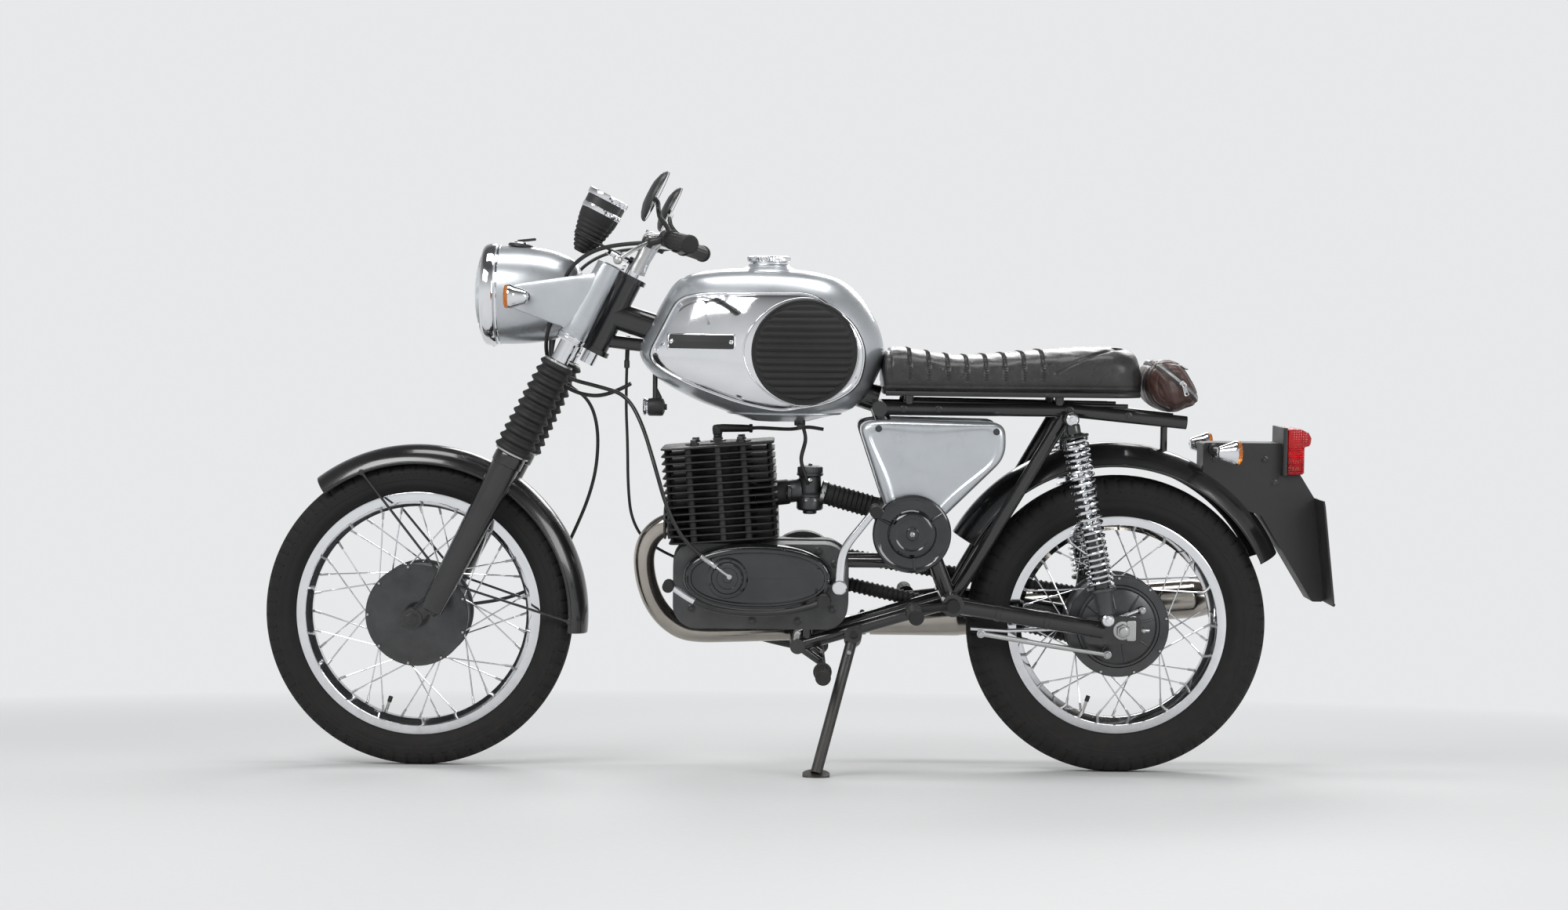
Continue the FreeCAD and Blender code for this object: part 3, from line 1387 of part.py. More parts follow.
def controls():
    shoulder = Vector(peg_x, peg_inner, peg_z)
    tip = Vector(peg_x, peg_outer, peg_z)
    bar = [rod(shoulder, tip, peg_radius), mirrored(rod(shoulder, tip, peg_radius))]
    bar.append(rod(Vector(peg_x, -peg_inner, peg_z), shoulder, peg_shaft_radius))
    pegs = [fuse(bar)]
    nodes["frame"] = nodes["frame"].cut(pegs[0])
    for sign in (-1, 1):
        root = Vector(pivot_x, sign * (arm_half + arm_radius + overrun), pivot_z)
        inner = Vector(rear_peg_x, sign * (arm_half + arm_radius + overrun), rear_peg_z)
        shoulder = Vector(rear_peg_x, sign * rear_peg_inner, rear_peg_z)
        tip = Vector(rear_peg_x, sign * rear_peg_outer, rear_peg_z)
        pegs.append(fuse([
            bent_tube([root, inner, shoulder], peg_shaft_radius, peg_radius), rod(shoulder, tip, peg_radius),
            rod(root, root + across * sign * peg_shaft_radius * 2, peg_radius),
        ]).cut(nodes["swingarm"]))
    nodes["foot_pegs"] = Part.makeCompound(pegs)
    nodes["exhaust"] = largest(nodes["exhaust"].cut(nodes["foot_pegs"]))
    gear = fuse([
        rod(Vector(gear_x, -crankcase_half, gear_z), Vector(gear_x, -gear_half, gear_z), lever_shaft_radius),
        rod(Vector(gear_x, -gear_half, gear_z), Vector(gear_toe_x, -gear_half, gear_toe_z), lever_rod_radius),
        rod(Vector(gear_toe_x, -gear_half + overrun, gear_toe_z),
            Vector(gear_toe_x, -gear_toe_half, gear_toe_z), gear_toe_radius),
    ]).cut(nodes["clutch_cover"])
    knee = Vector(kick_knee_x, -kick_half, kick_knee_z)
    end = Vector(kick_end_x, -kick_half, kick_end_z)
    kick = fuse([
        rod(Vector(kick_x, -crankcase_half, kick_z), Vector(kick_x, -kick_half, kick_z), lever_shaft_radius),
        rod(Vector(kick_x, -kick_half, kick_z), knee, kick_rod_radius),
        Part.makeSphere(kick_rod_radius, knee),
        rod(knee, end, kick_rod_radius),
        rod(end, Vector(kick_end_x, -kick_pedal_half, kick_end_z), lever_shaft_radius),
    ]).cut(nodes["clutch_cover"]).cut(nodes["air_filter"])
    boss = Vector(peg_x, brake_boss_half, peg_z)
    boss_end = boss + across * brake_boss_wall
    toe = Vector(brake_pedal_x, brake_boss_half + brake_boss_wall / 2, brake_pedal_z)
    brake = fuse([
        rod(boss, boss_end, brake_boss_radius), rod((boss + boss_end) / 2, toe, lever_rod_radius),
        rod(toe, toe + across * brake_pad_length, brake_pad_radius),
    ])
    levers = [largest(lever.cut(nodes["foot_pegs"])) for lever in (gear, kick, brake)]
    nodes["foot_levers"] = Part.makeCompound(levers)
    nodes["horn"] = rod(
        Vector(horn_x - horn_length / 2, 0, horn_z), Vector(horn_x + horn_length / 2, 0, horn_z), horn_radius,
    ).cut(nodes["frame"])


def cord(name, points, radius):
    """A cable along straight runs, each corner an arc as large as its shorter run allows."""
    edges, start, radii = [], points[0], []
    for before, here, after in zip(points, points[1:], points[2:]):
        back, ahead = before - here, after - here
        half = back.getAngle(ahead) / 2
        reach = cord_share * min(back.Length, ahead.Length)
        back.normalize()
        ahead.normalize()
        arc_radius = reach * math.tan(half)
        radii.append(round(arc_radius))
        middle = here + (back + ahead).normalize() * (arc_radius / math.sin(half) - arc_radius)
        edges.append(Part.LineSegment(start, here + back * reach).toShape())
        edges.append(Part.Arc(here + back * reach, middle, here + ahead * reach).toShape())
        start = here + ahead * reach
    edges.append(Part.LineSegment(start, points[-1]).toShape())
    path = Part.Wire(edges)
    section = Part.Wire(Part.makeCircle(radius, points[0], points[1] - points[0]))
    tube = path.makePipeShell([section], True, False)
    share = tube.Volume / (math.pi * radius ** 2 * path.Length)
    print(name, "radii", radii, "length", round(path.Length), "volume share", round(share, 3))
    return tube


def cables():
    brake = cord("brake cable", [
        Vector(-224, 186, 1042), Vector(-290, 158, 1040), Vector(-352, 126, 1024), Vector(-398, 92, 986),
        Vector(-412, 82, 925), Vector(-436, 66, 862), Vector(-441, 40, 800), Vector(-404, 34, 762),
        Vector(-362, 44, 734), Vector(-345, 56, 676), Vector(-348, 64, 600), Vector(-364, 72, 537),
        Vector(-388, 76, 478), Vector(-426, 78, 398), Vector(-470, 80, 350), Vector(-528, 76, 326),
        Vector(-590, 66, 316), Vector(-652, 48, 311),
    ], brake_cable_radius)
    clutch = cord("clutch cable", [
        Vector(-224, -186, 1042), Vector(-290, -158, 1040), Vector(-352, -126, 1024), Vector(-398, -92, 986),
        Vector(-412, -82, 925), Vector(-440, -68, 862), Vector(-438, -38, 806), Vector(-398, -16, 776),
        Vector(-340, -10, 762), Vector(-284, -16, 746), Vector(-250, -46, 690), Vector(-222, -102, 612),
        Vector(-196, -114, 524), Vector(-156, -126, 456), Vector(-104, -128, 420),
    ], clutch_cable_radius)
    loom = cord("wiring loom", [
        Vector(-436, 14, 866), Vector(-440, 8, 812), Vector(-420, 8, 766), Vector(-370, 12, 742),
        Vector(-318, 8, 744), Vector(-276, 2, 768),
    ], loom_radius)
    pump = cord("pump cable", [
        Vector(-286, 22, 800), Vector(-288, 24, 730), Vector(-284, 28, 650), Vector(-283, 30, 560),
        Vector(-276, 36, 492), Vector(-244, 52, 440), Vector(-186, 62, 414),
    ], pump_cable_radius)
    steering = [nodes[name] for name in ("hand_levers", "headlamp_shell", "front_brake_plate")]
    chassis = [nodes[name] for name in ("frame", "crankcase", "clutch_cover")]
    for piece in steering:
        brake, clutch, loom = largest(brake.cut(piece)), largest(clutch.cut(piece)), largest(loom.cut(piece))
    for piece in chassis:
        clutch, loom, pump = largest(clutch.cut(piece)), largest(loom.cut(piece)), largest(pump.cut(piece))
    nodes["brake_cable"] = brake
    nodes["control_cables"] = Part.makeCompound([clutch, loom, pump])


def floor_level(side):
    """The height at which the floor passes a place to the side of the upright bike."""
    return -side * math.tan(math.radians(lean_angle))


def side_stand():
    pivot = Vector(stand_pivot_x, -stand_pivot_half, stand_pivot_z)
    foot_z = floor_level(-stand_foot_half)
    foot = Vector(stand_foot_x, -stand_foot_half, foot_z)
    folded = Vector(stand_fold_x, -stand_fold_half, stand_fold_z)
    down = foot - pivot
    away = folded - pivot
    axis = down.cross(away).normalize()
    normal = Vector(0, -math.sin(math.radians(lean_angle)), math.cos(math.radians(lean_angle)))
    eye = rod(pivot - axis * (stand_eye_wall / 2), pivot + axis * (stand_eye_wall / 2), stand_eye_radius)
    leg = rod(pivot, foot + normal * stand_foot_wall, stand_leg_radius)
    pad = rod(foot, foot + normal * stand_foot_wall, stand_foot_radius)
    below = Part.makeBox(
        stand_fold_x * 4, stand_fold_x * 4, stand_leg_radius * 2,
        Vector(-stand_fold_x * 2, -stand_fold_x * 2, -stand_leg_radius * 2),
    )
    below.rotate(Vector(0, 0, 0), backward, -lean_angle)
    bolt_run = axis * (stand_eye_wall / 2 + overrun)
    bore = rod(pivot - axis * stand_eye_wall, pivot + axis * stand_eye_wall, stand_pivot_radius + running_gap)
    nodes["side_stand"] = fuse([eye, leg, pad]).cut(bore).cut(below)
    inner = pivot + (axis if axis.y > 0 else axis * -1) * (stand_eye_wall / 2 + seat_gap)
    rail_share = (stand_pivot_x - lower_rail_front_x) / (pivot_x - lower_rail_front_x)
    bracket_end = Vector(stand_pivot_x, -cradle_half, lower_rail_z + (pivot_z - lower_rail_z) * rail_share)
    bolt = rod(pivot - bolt_run, pivot + bolt_run, stand_pivot_radius)
    inward = (inner - pivot).normalize()
    lug = rod(inner, inner + inward * stand_lug_wall, stand_eye_radius)
    arm = rod(inner + inward * (stand_lug_wall * stand_arm_share), bracket_end, stand_arm_radius)
    nodes["frame"] = fuse([nodes["frame"], bolt, lug, arm])
    angle = math.degrees(down.getAngle(away))
    return pivot, axis, angle


def leaned(place):
    turn = math.radians(lean_angle)
    return Vector(
        place.x, place.y * math.cos(turn) - place.z * math.sin(turn),
        place.y * math.sin(turn) + place.z * math.cos(turn),
    )


def main():
    wheels()
    tubes, fork_shells = fork()
    steering_head(tubes, fork_shells)
    headlamp()
    front_indicators()
    instruments()
    handlebar()
    front_guard()
    frame()
    tank()
    swingarm()
    shocks()
    engine()
    exhaust()
    intake()
    covers()
    seat_and_bag()
    rear_end()
    chain_run()
    controls()
    cables()
    pivot, axis, angle = side_stand()
    box = FreeCAD.BoundBox()
    for shape in nodes.values():
        shape.rotate(Vector(0, 0, 0), backward, lean_angle)
        box.add(shape.optimalBoundingBox(False))
    shift = Vector(-box.Center.x, -box.Center.y, -box.ZMin)
    os.makedirs("parts", exist_ok=True)
    for name, shape in nodes.items():
        shape.translate(shift)
        shape.exportStep(os.path.join("parts", name + ".step"))
    places = {
        "steering": leaned(steer(axis_lead, 0, lower_yoke_low)) + shift,
        "steering axis": leaned(steer_up),
        "front wheel": leaned(Vector(front_x, 0, axle_z)) + shift,
        "rear wheel": leaned(Vector(rear_x, 0, rear_tyre_radius)) + shift,
        "wheel axis": leaned(across),
        "stand": leaned(pivot) + shift,
        "stand axis": leaned(axis),
        "left peg": leaned(Vector(peg_x, -peg_outer, peg_z)) + shift,
        "right peg": leaned(Vector(peg_x, peg_outer, peg_z)) + shift,
        "shift": shift,
    }
    for name, place in places.items():
        print(name, round(place.x, 4), round(place.y, 4), round(place.z, 4))
    print("stand swing", round(angle, 2))
    print("size", round(box.XLength, 1), round(box.YLength, 1), round(box.ZLength, 1))


main()
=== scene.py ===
import bisect
import json
from math import asin, copysign, cos, degrees, exp, pi, radians, sin, sqrt

import bmesh
import bpy
import numpy as np
from mathutils import Matrix, Vector
from mathutils.bvhtree import BVHTree


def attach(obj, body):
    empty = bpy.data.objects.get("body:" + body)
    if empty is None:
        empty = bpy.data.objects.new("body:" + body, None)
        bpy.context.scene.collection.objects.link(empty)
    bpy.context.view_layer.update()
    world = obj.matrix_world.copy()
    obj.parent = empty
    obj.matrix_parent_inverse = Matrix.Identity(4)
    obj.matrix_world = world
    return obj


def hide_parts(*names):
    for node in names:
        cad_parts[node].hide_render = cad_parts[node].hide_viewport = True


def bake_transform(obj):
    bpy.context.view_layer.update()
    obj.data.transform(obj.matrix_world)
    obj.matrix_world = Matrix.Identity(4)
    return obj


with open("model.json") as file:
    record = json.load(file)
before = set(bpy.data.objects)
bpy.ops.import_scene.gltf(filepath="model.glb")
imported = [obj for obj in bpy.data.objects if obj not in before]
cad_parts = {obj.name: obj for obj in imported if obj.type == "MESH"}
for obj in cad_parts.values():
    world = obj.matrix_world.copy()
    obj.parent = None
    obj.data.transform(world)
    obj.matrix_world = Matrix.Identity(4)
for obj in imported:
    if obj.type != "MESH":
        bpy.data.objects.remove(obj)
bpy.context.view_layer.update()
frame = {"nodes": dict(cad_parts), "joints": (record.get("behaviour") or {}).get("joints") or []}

# Shapes are worked out in millimetres of the upright motorcycle, front at -X, rider's left at -Y,
# tyres on z = 0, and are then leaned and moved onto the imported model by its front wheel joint.
LEAN = radians(7)
RAKE = radians(27)
FRONT = Vector((-695, 0, 306))
REAR = Vector((695, 0, 298))
X, Y, Z = Vector((1, 0, 0)), Vector((0, 1, 0)), Vector((0, 0, 1))
LEG_BACK, LEG_HALF = -24, 88  # the fork's legs, behind the axle and off the middle
ZIP_TILT = radians(40)
UP = Vector((sin(RAKE), 0, cos(RAKE)))
AHEAD = Vector((-cos(RAKE), 0, sin(RAKE)))
wheel = next(joint for joint in frame["joints"] if joint["name"] == "front_wheel")
turn = Matrix.Rotation(LEAN, 4, "X")
ROW = Matrix.Translation(Vector(wheel["pos_m"]) - turn @ (FRONT * 0.001)) @ turn @ Matrix.Scale(0.001, 4)


def V(x, y, z):
    return Vector((x, y, z))


def row(*place):
    """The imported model's place for a place of the upright motorcycle."""
    return ROW @ Vector(place)


def around(angle):
    """The way out from an axle at an angle of the wheel."""
    return V(cos(angle), 0, sin(angle))


def round_turn(count):
    """A full turn's angles, evenly spread."""
    return [2 * pi * k / count for k in range(count)]


def spread(count, first):
    """Ways out from an axle, evenly spread, from a first one in degrees."""
    return [around(radians(360 / count * k + first)) for k in range(count)]


def swell_out(value, power):
    """A cosine or sine bent towards a square corner, with its sign kept."""
    return copysign(abs(value) ** power, value)


def both(profile):
    """A profile and its likeness on the other side of the middle."""
    return profile + [(r, -a) for r, a in reversed(profile)]


def span(start, end):
    """The way from one place to another, and how far it is."""
    return (end - start).normalized(), (end - start).length


def link(name, data):
    """A new object in the scene."""
    obj = bpy.data.objects.new(name, data)
    bpy.context.scene.collection.objects.link(obj)
    return obj


def steer(lead, side, rise):
    """A place on the steering, ahead of the axle, across, and up the steering axis."""
    return FRONT + Y * side + AHEAD * lead + UP * rise


def smooth(points, steps, closed=False):
    """A Catmull-Rom line through the points."""
    pts = [np.array(p, float) for p in points]
    count = len(pts)
    out = []
    for i in range(count if closed else count - 1):
        if closed:
            a, b, c, d = (pts[(i + k) % count] for k in (-1, 0, 1, 2))
        else:
            b, c = pts[i], pts[i + 1]
            a = pts[i - 1] if i else 2 * b - c
            d = pts[i + 2] if i + 2 < count else 2 * c - b
        for step in range(steps):
            t = step / steps
            out.append(0.5 * (2 * b + (c - a) * t + (2 * a - 5 * b + 4 * c - d) * t ** 2
                              + (3 * b - a - 3 * c + d) * t ** 3))
    if not closed:
        out.append(pts[-1])
    return out


def round_corners(points, radius, steps=6):
    """A closed outline with its corners rounded."""
    pts = [np.array(p, float) for p in points]
    out = []
    for i, here in enumerate(pts):
        back, ahead = pts[i - 1] - here, pts[(i + 1) % len(pts)] - here
        reach = min(radius, 0.48 * np.linalg.norm(back), 0.48 * np.linalg.norm(ahead))
        start = here + back / np.linalg.norm(back) * reach
        end = here + ahead / np.linalg.norm(ahead) * reach
        for step in range(steps + 1):
            t = step / steps
            out.append((1 - t) ** 2 * start + 2 * t * (1 - t) * here + t ** 2 * end)
    return out


def slab(half_u, half_v, corner, steps):
    """An oblong outline with round corners."""
    return round_corners([(-half_u, -half_v), (half_u, -half_v), (half_u, half_v), (-half_u, half_v)], corner,
                         steps)


def even(points, count):
    """A closed outline's points, spaced evenly."""
    pts = np.array([list(p) for p in points] + [list(points[0])], float)
    runs = np.linalg.norm(np.diff(pts, axis=0), axis=1)
    along = np.concatenate([[0], np.cumsum(runs)])
    marks = np.linspace(0, along[-1], count, endpoint=False)
    return np.stack([np.interp(marks, along, pts[:, k]) for k in range(pts.shape[1])], 1)


def side_frame(axis):
    axis = Vector(axis).normalized()
    out = axis.cross(Y) if abs(axis.dot(Y)) < 0.7 else Z - axis * axis.dot(Z)
    out.normalize()
    return axis, out, axis.cross(out)


class Shape:
    """Gathers faces in millimetres, then makes one piece of them."""

    def __init__(self):
        self.verts, self.faces, self.marks = [], [], []

    def add(self, verts, faces, mat=0):
        base = len(self.verts)
        self.verts += [tuple(v) for v in verts]
        self.faces += [tuple(i + base for i in face) for face in faces]
        self.marks += [mat] * len(faces)
        return self

    def grid(self, rows, mat=0, wrap=True, loop=False):
        """A sheet of faces between rows of points. wrap closes each row, loop joins the last to the first."""
        count = len(rows[0])
        verts = [p for line in rows for p in line]
        faces = []
        for i in range(len(rows) if loop else len(rows) - 1):
            for j in range(count if wrap else count - 1):
                a, b = i * count + j, i * count + (j + 1) % count
                c, d = ((i + 1) % len(rows)) * count + (j + 1) % count, ((i + 1) % len(rows)) * count + j
                faces.append((a, b, c, d))
        return self.add(verts, faces, mat)

    def close(self, rows, mat=0):
        """A face over each end of a grid."""
        for end in (rows[0], rows[-1]):
            self.add(end, [tuple(range(len(end)))], mat)

    def lathe(self, profile, base, axis, seg=64, mat=0, start=0.0, sweep=360.0, change=None):
        """Turns a profile of (radius, place along the axis)."""
        axis, out, side = side_frame(axis)
        base = Vector(base)
        whole = sweep >= 360
        turns = [radians(start + sweep * k / seg) for k in range(seg if whole else seg + 1)]
        rows = []
        for radius, along in profile:
            line = []
            for angle in turns:
                r, a = change(radius, along, angle) if change else (radius, along)
                line.append(base + axis * a + (out * cos(angle) + side * sin(angle)) * r)
            rows.append(line)
        return self.grid(rows, mat, wrap=whole)

    def tube(self, points, radius, sides=12, mat=0, caps=True, closed=False, flat=1.0, flat_way=None):
        """A round or flattened bar along a line of points; radius may be a list."""
        pts = [Vector(p) for p in points]
        count = len(pts)
        radii = radius if isinstance(radius, (list, tuple)) else [radius] * count
        ways = []
        for i in range(count):
            ahead = pts[(i + 1) % count] if closed or i < count - 1 else pts[i]
            behind = pts[i - 1] if closed or i else pts[i]
            ways.append((ahead - behind).normalized())
        normal = Vector(flat_way) if flat_way else side_frame(ways[0])[1]
        rows = []
        for i in range(count):
            normal = (normal - ways[i] * normal.dot(ways[i])).normalized()
            other = ways[i].cross(normal)
            rows.append([
                pts[i] + normal * (cos(a) * radii[i] * flat) + other * (sin(a) * radii[i])
                for a in round_turn(sides)
            ])
        self.grid(rows, mat, loop=closed)
        if caps and not closed:
            self.close(rows, mat)
        return self

    def rod(self, a, b, radius, sides=24, mat=0, edge=None, end_radius=None):
        """A bar from a to b with bevelled ends."""
        a, b = Vector(a), Vector(b)
        length = (b - a).length
        far = radius if end_radius is None else end_radius
        edge = min(radius, far, length / 2) * 0.18 if edge is None else edge
        profile = [(0, 0), (radius - edge, 0), (radius - edge * 0.3, edge * 0.3), (radius, edge),
                   (far, length - edge), (far - edge * 0.3, length - edge * 0.3), (far - edge, length),
                   (0, length)]
        return self.lathe(profile, a, b - a, sides, mat)

    def bolt(self, place, axis, radius=5.0, height=4.0, mat=0, washer=True):
        """A hexagon head on a washer, standing up along the axis."""
        place, axis = Vector(place), Vector(axis).normalized()
        if washer:
            self.lathe([(0, -0.6), (radius * 1.35, -0.6), (radius * 1.35, 0.7), (radius * 1.25, 1.0),
                        (0, 1.0)], place, axis, 20, mat)
        self.lathe([(radius * 1.05, 0.8), (radius * 1.05, height * 0.8), (radius * 0.92, height),
                    (0, height)], place, axis, 6, mat)
        return self

    def screw(self, place, axis, radius=3.0, mat=0):
        """A domed screw head with a slot."""
        place, axis = Vector(place), Vector(axis).normalized()
        slot = radius * 0.18

        def cut(r, a, angle):
            across_slot = abs(r * sin(angle))
            return r, a - (radius * 0.28 if across_slot < slot and r > 0 else 0)

        profile = [(radius, -0.4), (radius, radius * 0.2), (radius * 0.8, radius * 0.45),
                   (radius * 0.5, radius * 0.56), (radius * 0.25, radius * 0.6), (0.01, radius * 0.6)]
        return self.lathe(profile, place, axis, 24, mat, change=cut)

    def plate(self, outline, low, high, mat=0, edge=1.0, axis=None, crown=0.0):
        """A flat piece with bevelled edges from a closed outline of (x, z), between two levels of y,
        or from places (u, v) about an axis given as (base, normal, u way, v way)."""
        pts = np.array([list(p) for p in outline], float)
        middle = pts.mean(0)
        size = np.abs(pts - middle).max()

        def ring(share, level):
            line = []
            for p in middle + (pts - middle) * share:
                if axis:
                    base, normal, u, v = (Vector(k) for k in axis)
                    line.append(base + u * p[0] + v * p[1] + normal * level)
                else:
                    line.append(V(p[0], level, p[1]))
            return line

        small = 1 - edge / size
        sign = 1 if high > low else -1
        rows = [ring(0.001, low), ring(small, low), ring(1, low + sign * edge), ring(1, high - sign * edge),
                ring(1 - edge * 0.35 / size, high - sign * edge * 0.3), ring(small, high)]
        for share in (0.85, 0.6, 0.3, 0.001):
            rows.append(ring(share * small, high + sign * crown * (1 - share ** 2)))
        return self.grid(rows, mat)

    def make(self, name, body, mats, replaces=(), slot=None, sharp=38, subdiv=0, weld=0.005, recalc=True):
        mesh = bpy.data.meshes.new(name)
        mesh.from_pydata(self.verts, [], self.faces)
        mesh.polygons.foreach_set("material_index", self.marks)
        work = bmesh.new()
        work.from_mesh(mesh)
        bmesh.ops.remove_doubles(work, verts=work.verts, dist=weld)
        bmesh.ops.dissolve_degenerate(work, edges=work.edges, dist=weld / 2)
        if recalc:
            bmesh.ops.recalc_face_normals(work, faces=work.faces)
        work.to_mesh(mesh)
        work.free()
        for mat in mats if isinstance(mats, (list, tuple)) else [mats]:
            mesh.materials.append(mat)
        mesh.transform(ROW)
        mesh.shade_smooth()
        mesh.set_sharp_from_angle(angle=radians(sharp))
        obj = link(name, mesh)
        if subdiv:
            modifier = obj.modifiers.new("Subdivision", "SUBSURF")
            modifier.levels = modifier.render_levels = subdiv
        if body:
            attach(obj, body)
        if replaces:
            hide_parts(*([replaces] if isinstance(replaces, str) else replaces))
        return obj


# Materials. Their colour, gloss and surface vary from place to place.
class Nodes:
    """Adds shader nodes and links them to whatever is handed in."""

    def __init__(self, tree):
        self.tree = tree

    def node(self, kind, links=None, outputs=0, **props):
        node = self.tree.nodes.new("ShaderNode" + kind)
        for key, value in props.items():
            setattr(node, key, value)
        for key, value in (links or {}).items():
            if isinstance(value, bpy.types.NodeSocket):
                self.tree.links.new(value, node.inputs[key])
            else:
                node.inputs[key].default_value = value
        return node.outputs[outputs]

    def ramp(self, value, low, high, out_low, out_high):
        return self.node("MapRange", {"Value": value, "From Min": low, "From Max": high,
                                      "To Min": out_low, "To Max": out_high})

    def maths(self, kind, a, b=0.0):
        return self.node("Math", {0: a, 1: b}, operation=kind)


class Stuff(Nodes):
    """A material's nodes."""

    def __init__(self, name):
        self.mat = bpy.data.materials.new(name)
        self.mat.use_nodes = True
        super().__init__(self.mat.node_tree)
        self.shader = self.tree.nodes["Principled BSDF"]
        self.coord = self.tree.nodes.new("ShaderNodeTexCoord").outputs["Object"]

    def noise(self, scale, detail=3.0, rough=0.5, distort=0.0):
        return self.node("TexNoise", {"Vector": self.coord, "Scale": scale, "Detail": detail,
                                      "Roughness": rough, "Distortion": distort})

    def mix(self, share, a, b):
        node = self.tree.nodes.new("ShaderNodeMix")
        node.data_type = "RGBA"
        for key, value in (("Factor", share), ("A", a), ("B", b)):
            kind = "VALUE" if key == "Factor" else "RGBA"
            socket = next(s for s in node.inputs if s.name == key and s.type == kind)
            if isinstance(value, bpy.types.NodeSocket):
                self.tree.links.new(value, socket)
            elif key == "Factor":
                socket.default_value = value
            else:
                socket.default_value = (*value, 1)
        return next(s for s in node.outputs if s.type == "RGBA")

    def bump(self, height, distance, strength=1.0, below=None):
        links = {"Height": height, "Distance": distance, "Strength": strength}
        if below is not None:
            links["Normal"] = below
        return self.node("Bump", links)

    def put(self, **sockets):
        for key, value in sockets.items():
            socket = self.shader.inputs[key.replace("_", " ")]
            if isinstance(value, bpy.types.NodeSocket):
                self.tree.links.new(value, socket)
            else:
                socket.default_value = value
        return self


def shade(colour, factor):
    return tuple(min(1.0, c * factor) for c in colour)


def finish(name, colour, rough, metal=0.0, coat=0.0, vary=0.15, scale=14.0, fine=900.0, bump=0.00004,
           rough_vary=0.3, dirt=0.35, dirt_colour=(0.10, 0.085, 0.07), dirt_top=0.32, specular=0.5, wave=0.0):
    """Paint, metal, rubber or plastic with cloudy colour, uneven gloss, fine grain and road dust low down."""
    s = Stuff(name)
    cloud = s.noise(scale, 5.0, 0.6)
    grain = s.noise(fine, 4.0, 0.6)
    base = s.mix(s.ramp(cloud, 0.3, 0.7, 0.0, 1.0), shade(colour, 1 - vary), shade(colour, 1 + vary))
    gloss = s.ramp(s.maths("ADD", s.maths("MULTIPLY", cloud, 0.6), s.maths("MULTIPLY", grain, 0.4)),
                   0.3, 0.7, rough * (1 - rough_vary), min(1.0, rough * (1 + rough_vary)))
    if dirt:
        height = s.node("SeparateXYZ", {"Vector": s.coord}, 2)
        low = s.ramp(height, 0.02, dirt_top, dirt, 0.0)
        spots = s.ramp(s.noise(38.0, 6.0, 0.7), 0.42, 0.68, 0.25, 1.0)
        share = s.maths("MULTIPLY", low, spots)
        base = s.mix(share, base, dirt_colour)
        gloss = s.maths("ADD", gloss, s.maths("MULTIPLY", share, 0.5))
    normal = s.bump(grain, bump)
    if wave:
        normal = s.bump(s.noise(60.0, 2.0, 0.5), wave, below=normal)
    s.put(Base_Color=base, Roughness=gloss, Metallic=metal, Normal=normal)
    s.put(Coat_Weight=coat, Coat_Roughness=0.06, Specular_IOR_Level=specular)
    return s.mat


def leather(name, colour, edge_colour, scale, depth, rough, coat=0.0):
    """Grained hide: cells, creases with painted shade darkening their valleys, and worn high places."""
    s = Stuff(name)
    warp = s.noise(30.0, 3.0, 0.5)
    cells = s.node("TexVoronoi", {"Vector": s.coord, "Scale": scale, "Randomness": 1.0},
                   feature="DISTANCE_TO_EDGE")
    pits = s.ramp(cells, 0.0, 0.16, 0.0, 1.0)
    creases = s.noise(95.0, 6.0, 0.62, distort=0.6)
    cloud = s.noise(9.0, 5.0, 0.6)
    height = s.maths("ADD", s.maths("MULTIPLY", pits, 0.5), s.maths("MULTIPLY", creases, 0.9))
    base = s.mix(s.ramp(cloud, 0.35, 0.7, 0.0, 1.0), shade(colour, 0.72), edge_colour)
    # The low parts of the crease noise, the valleys of the bump, are painted darker: painted shade in the
    # creases.
    base = s.mix(s.ramp(creases, 0.35, 0.6, 0.45, 0.0), base, shade(colour, 0.35))
    gloss = s.ramp(s.maths("ADD", warp, s.maths("MULTIPLY", pits, 0.25)), 0.35, 0.95, rough * 1.25,
                   rough * 0.75)
    normal = s.bump(height, depth)
    s.put(Base_Color=base, Roughness=gloss, Normal=normal, Coat_Weight=coat, Coat_Roughness=0.25,
          Specular_IOR_Level=0.45)
    return s.mat


def clear(name, colour, rough=0.03, waves=0.0, depth=0.0, weight=1.0):
    """Glass or a moulded lens, with faint smears."""
    s = Stuff(name)
    smear = s.noise(45.0, 4.0, 0.6)
    s.put(Base_Color=s.mix(smear, shade(colour, 0.9), colour), Transmission_Weight=weight,
          Roughness=s.ramp(smear, 0.4, 0.8, rough, rough * 3), IOR=1.47)
    normal = s.bump(s.noise(500.0), 0.00001)
    if waves:
        ridges = s.node("TexVoronoi", {"Vector": s.coord, "Scale": waves, "Randomness": 0.0}, feature="F1")
        normal = s.bump(ridges, depth, below=normal)
    s.put(Normal=normal)
    return s.mat


silver = finish("silver_paint", (0.50, 0.525, 0.55), 0.30, 0.72, coat=0.7, vary=0.05, fine=2600,
                bump=0.000012, rough_vary=0.18, dirt=0.15, wave=0.00002)
black = finish("black_paint", (0.012, 0.012, 0.013), 0.22, 0.0, coat=0.55, vary=0.3, bump=0.00002, dirt=0.45)
satin = finish("satin_black", (0.018, 0.018, 0.019), 0.42, 0.0, vary=0.3, bump=0.00004, dirt=0.5)
plastic = finish("black_plastic", (0.016, 0.016, 0.017), 0.5, 0.0, vary=0.25, fine=2400, bump=0.00005,
                 dirt=0.3)
chrome = finish("chrome", (0.78, 0.79, 0.81), 0.075, 1.0, vary=0.04, fine=1200, bump=0.000006, rough_vary=0.6,
                dirt=0.3, wave=0.000012)
steel = finish("zinc_steel", (0.52, 0.52, 0.52), 0.3, 1.0, vary=0.14, fine=1500, bump=0.00002, dirt=0.4)
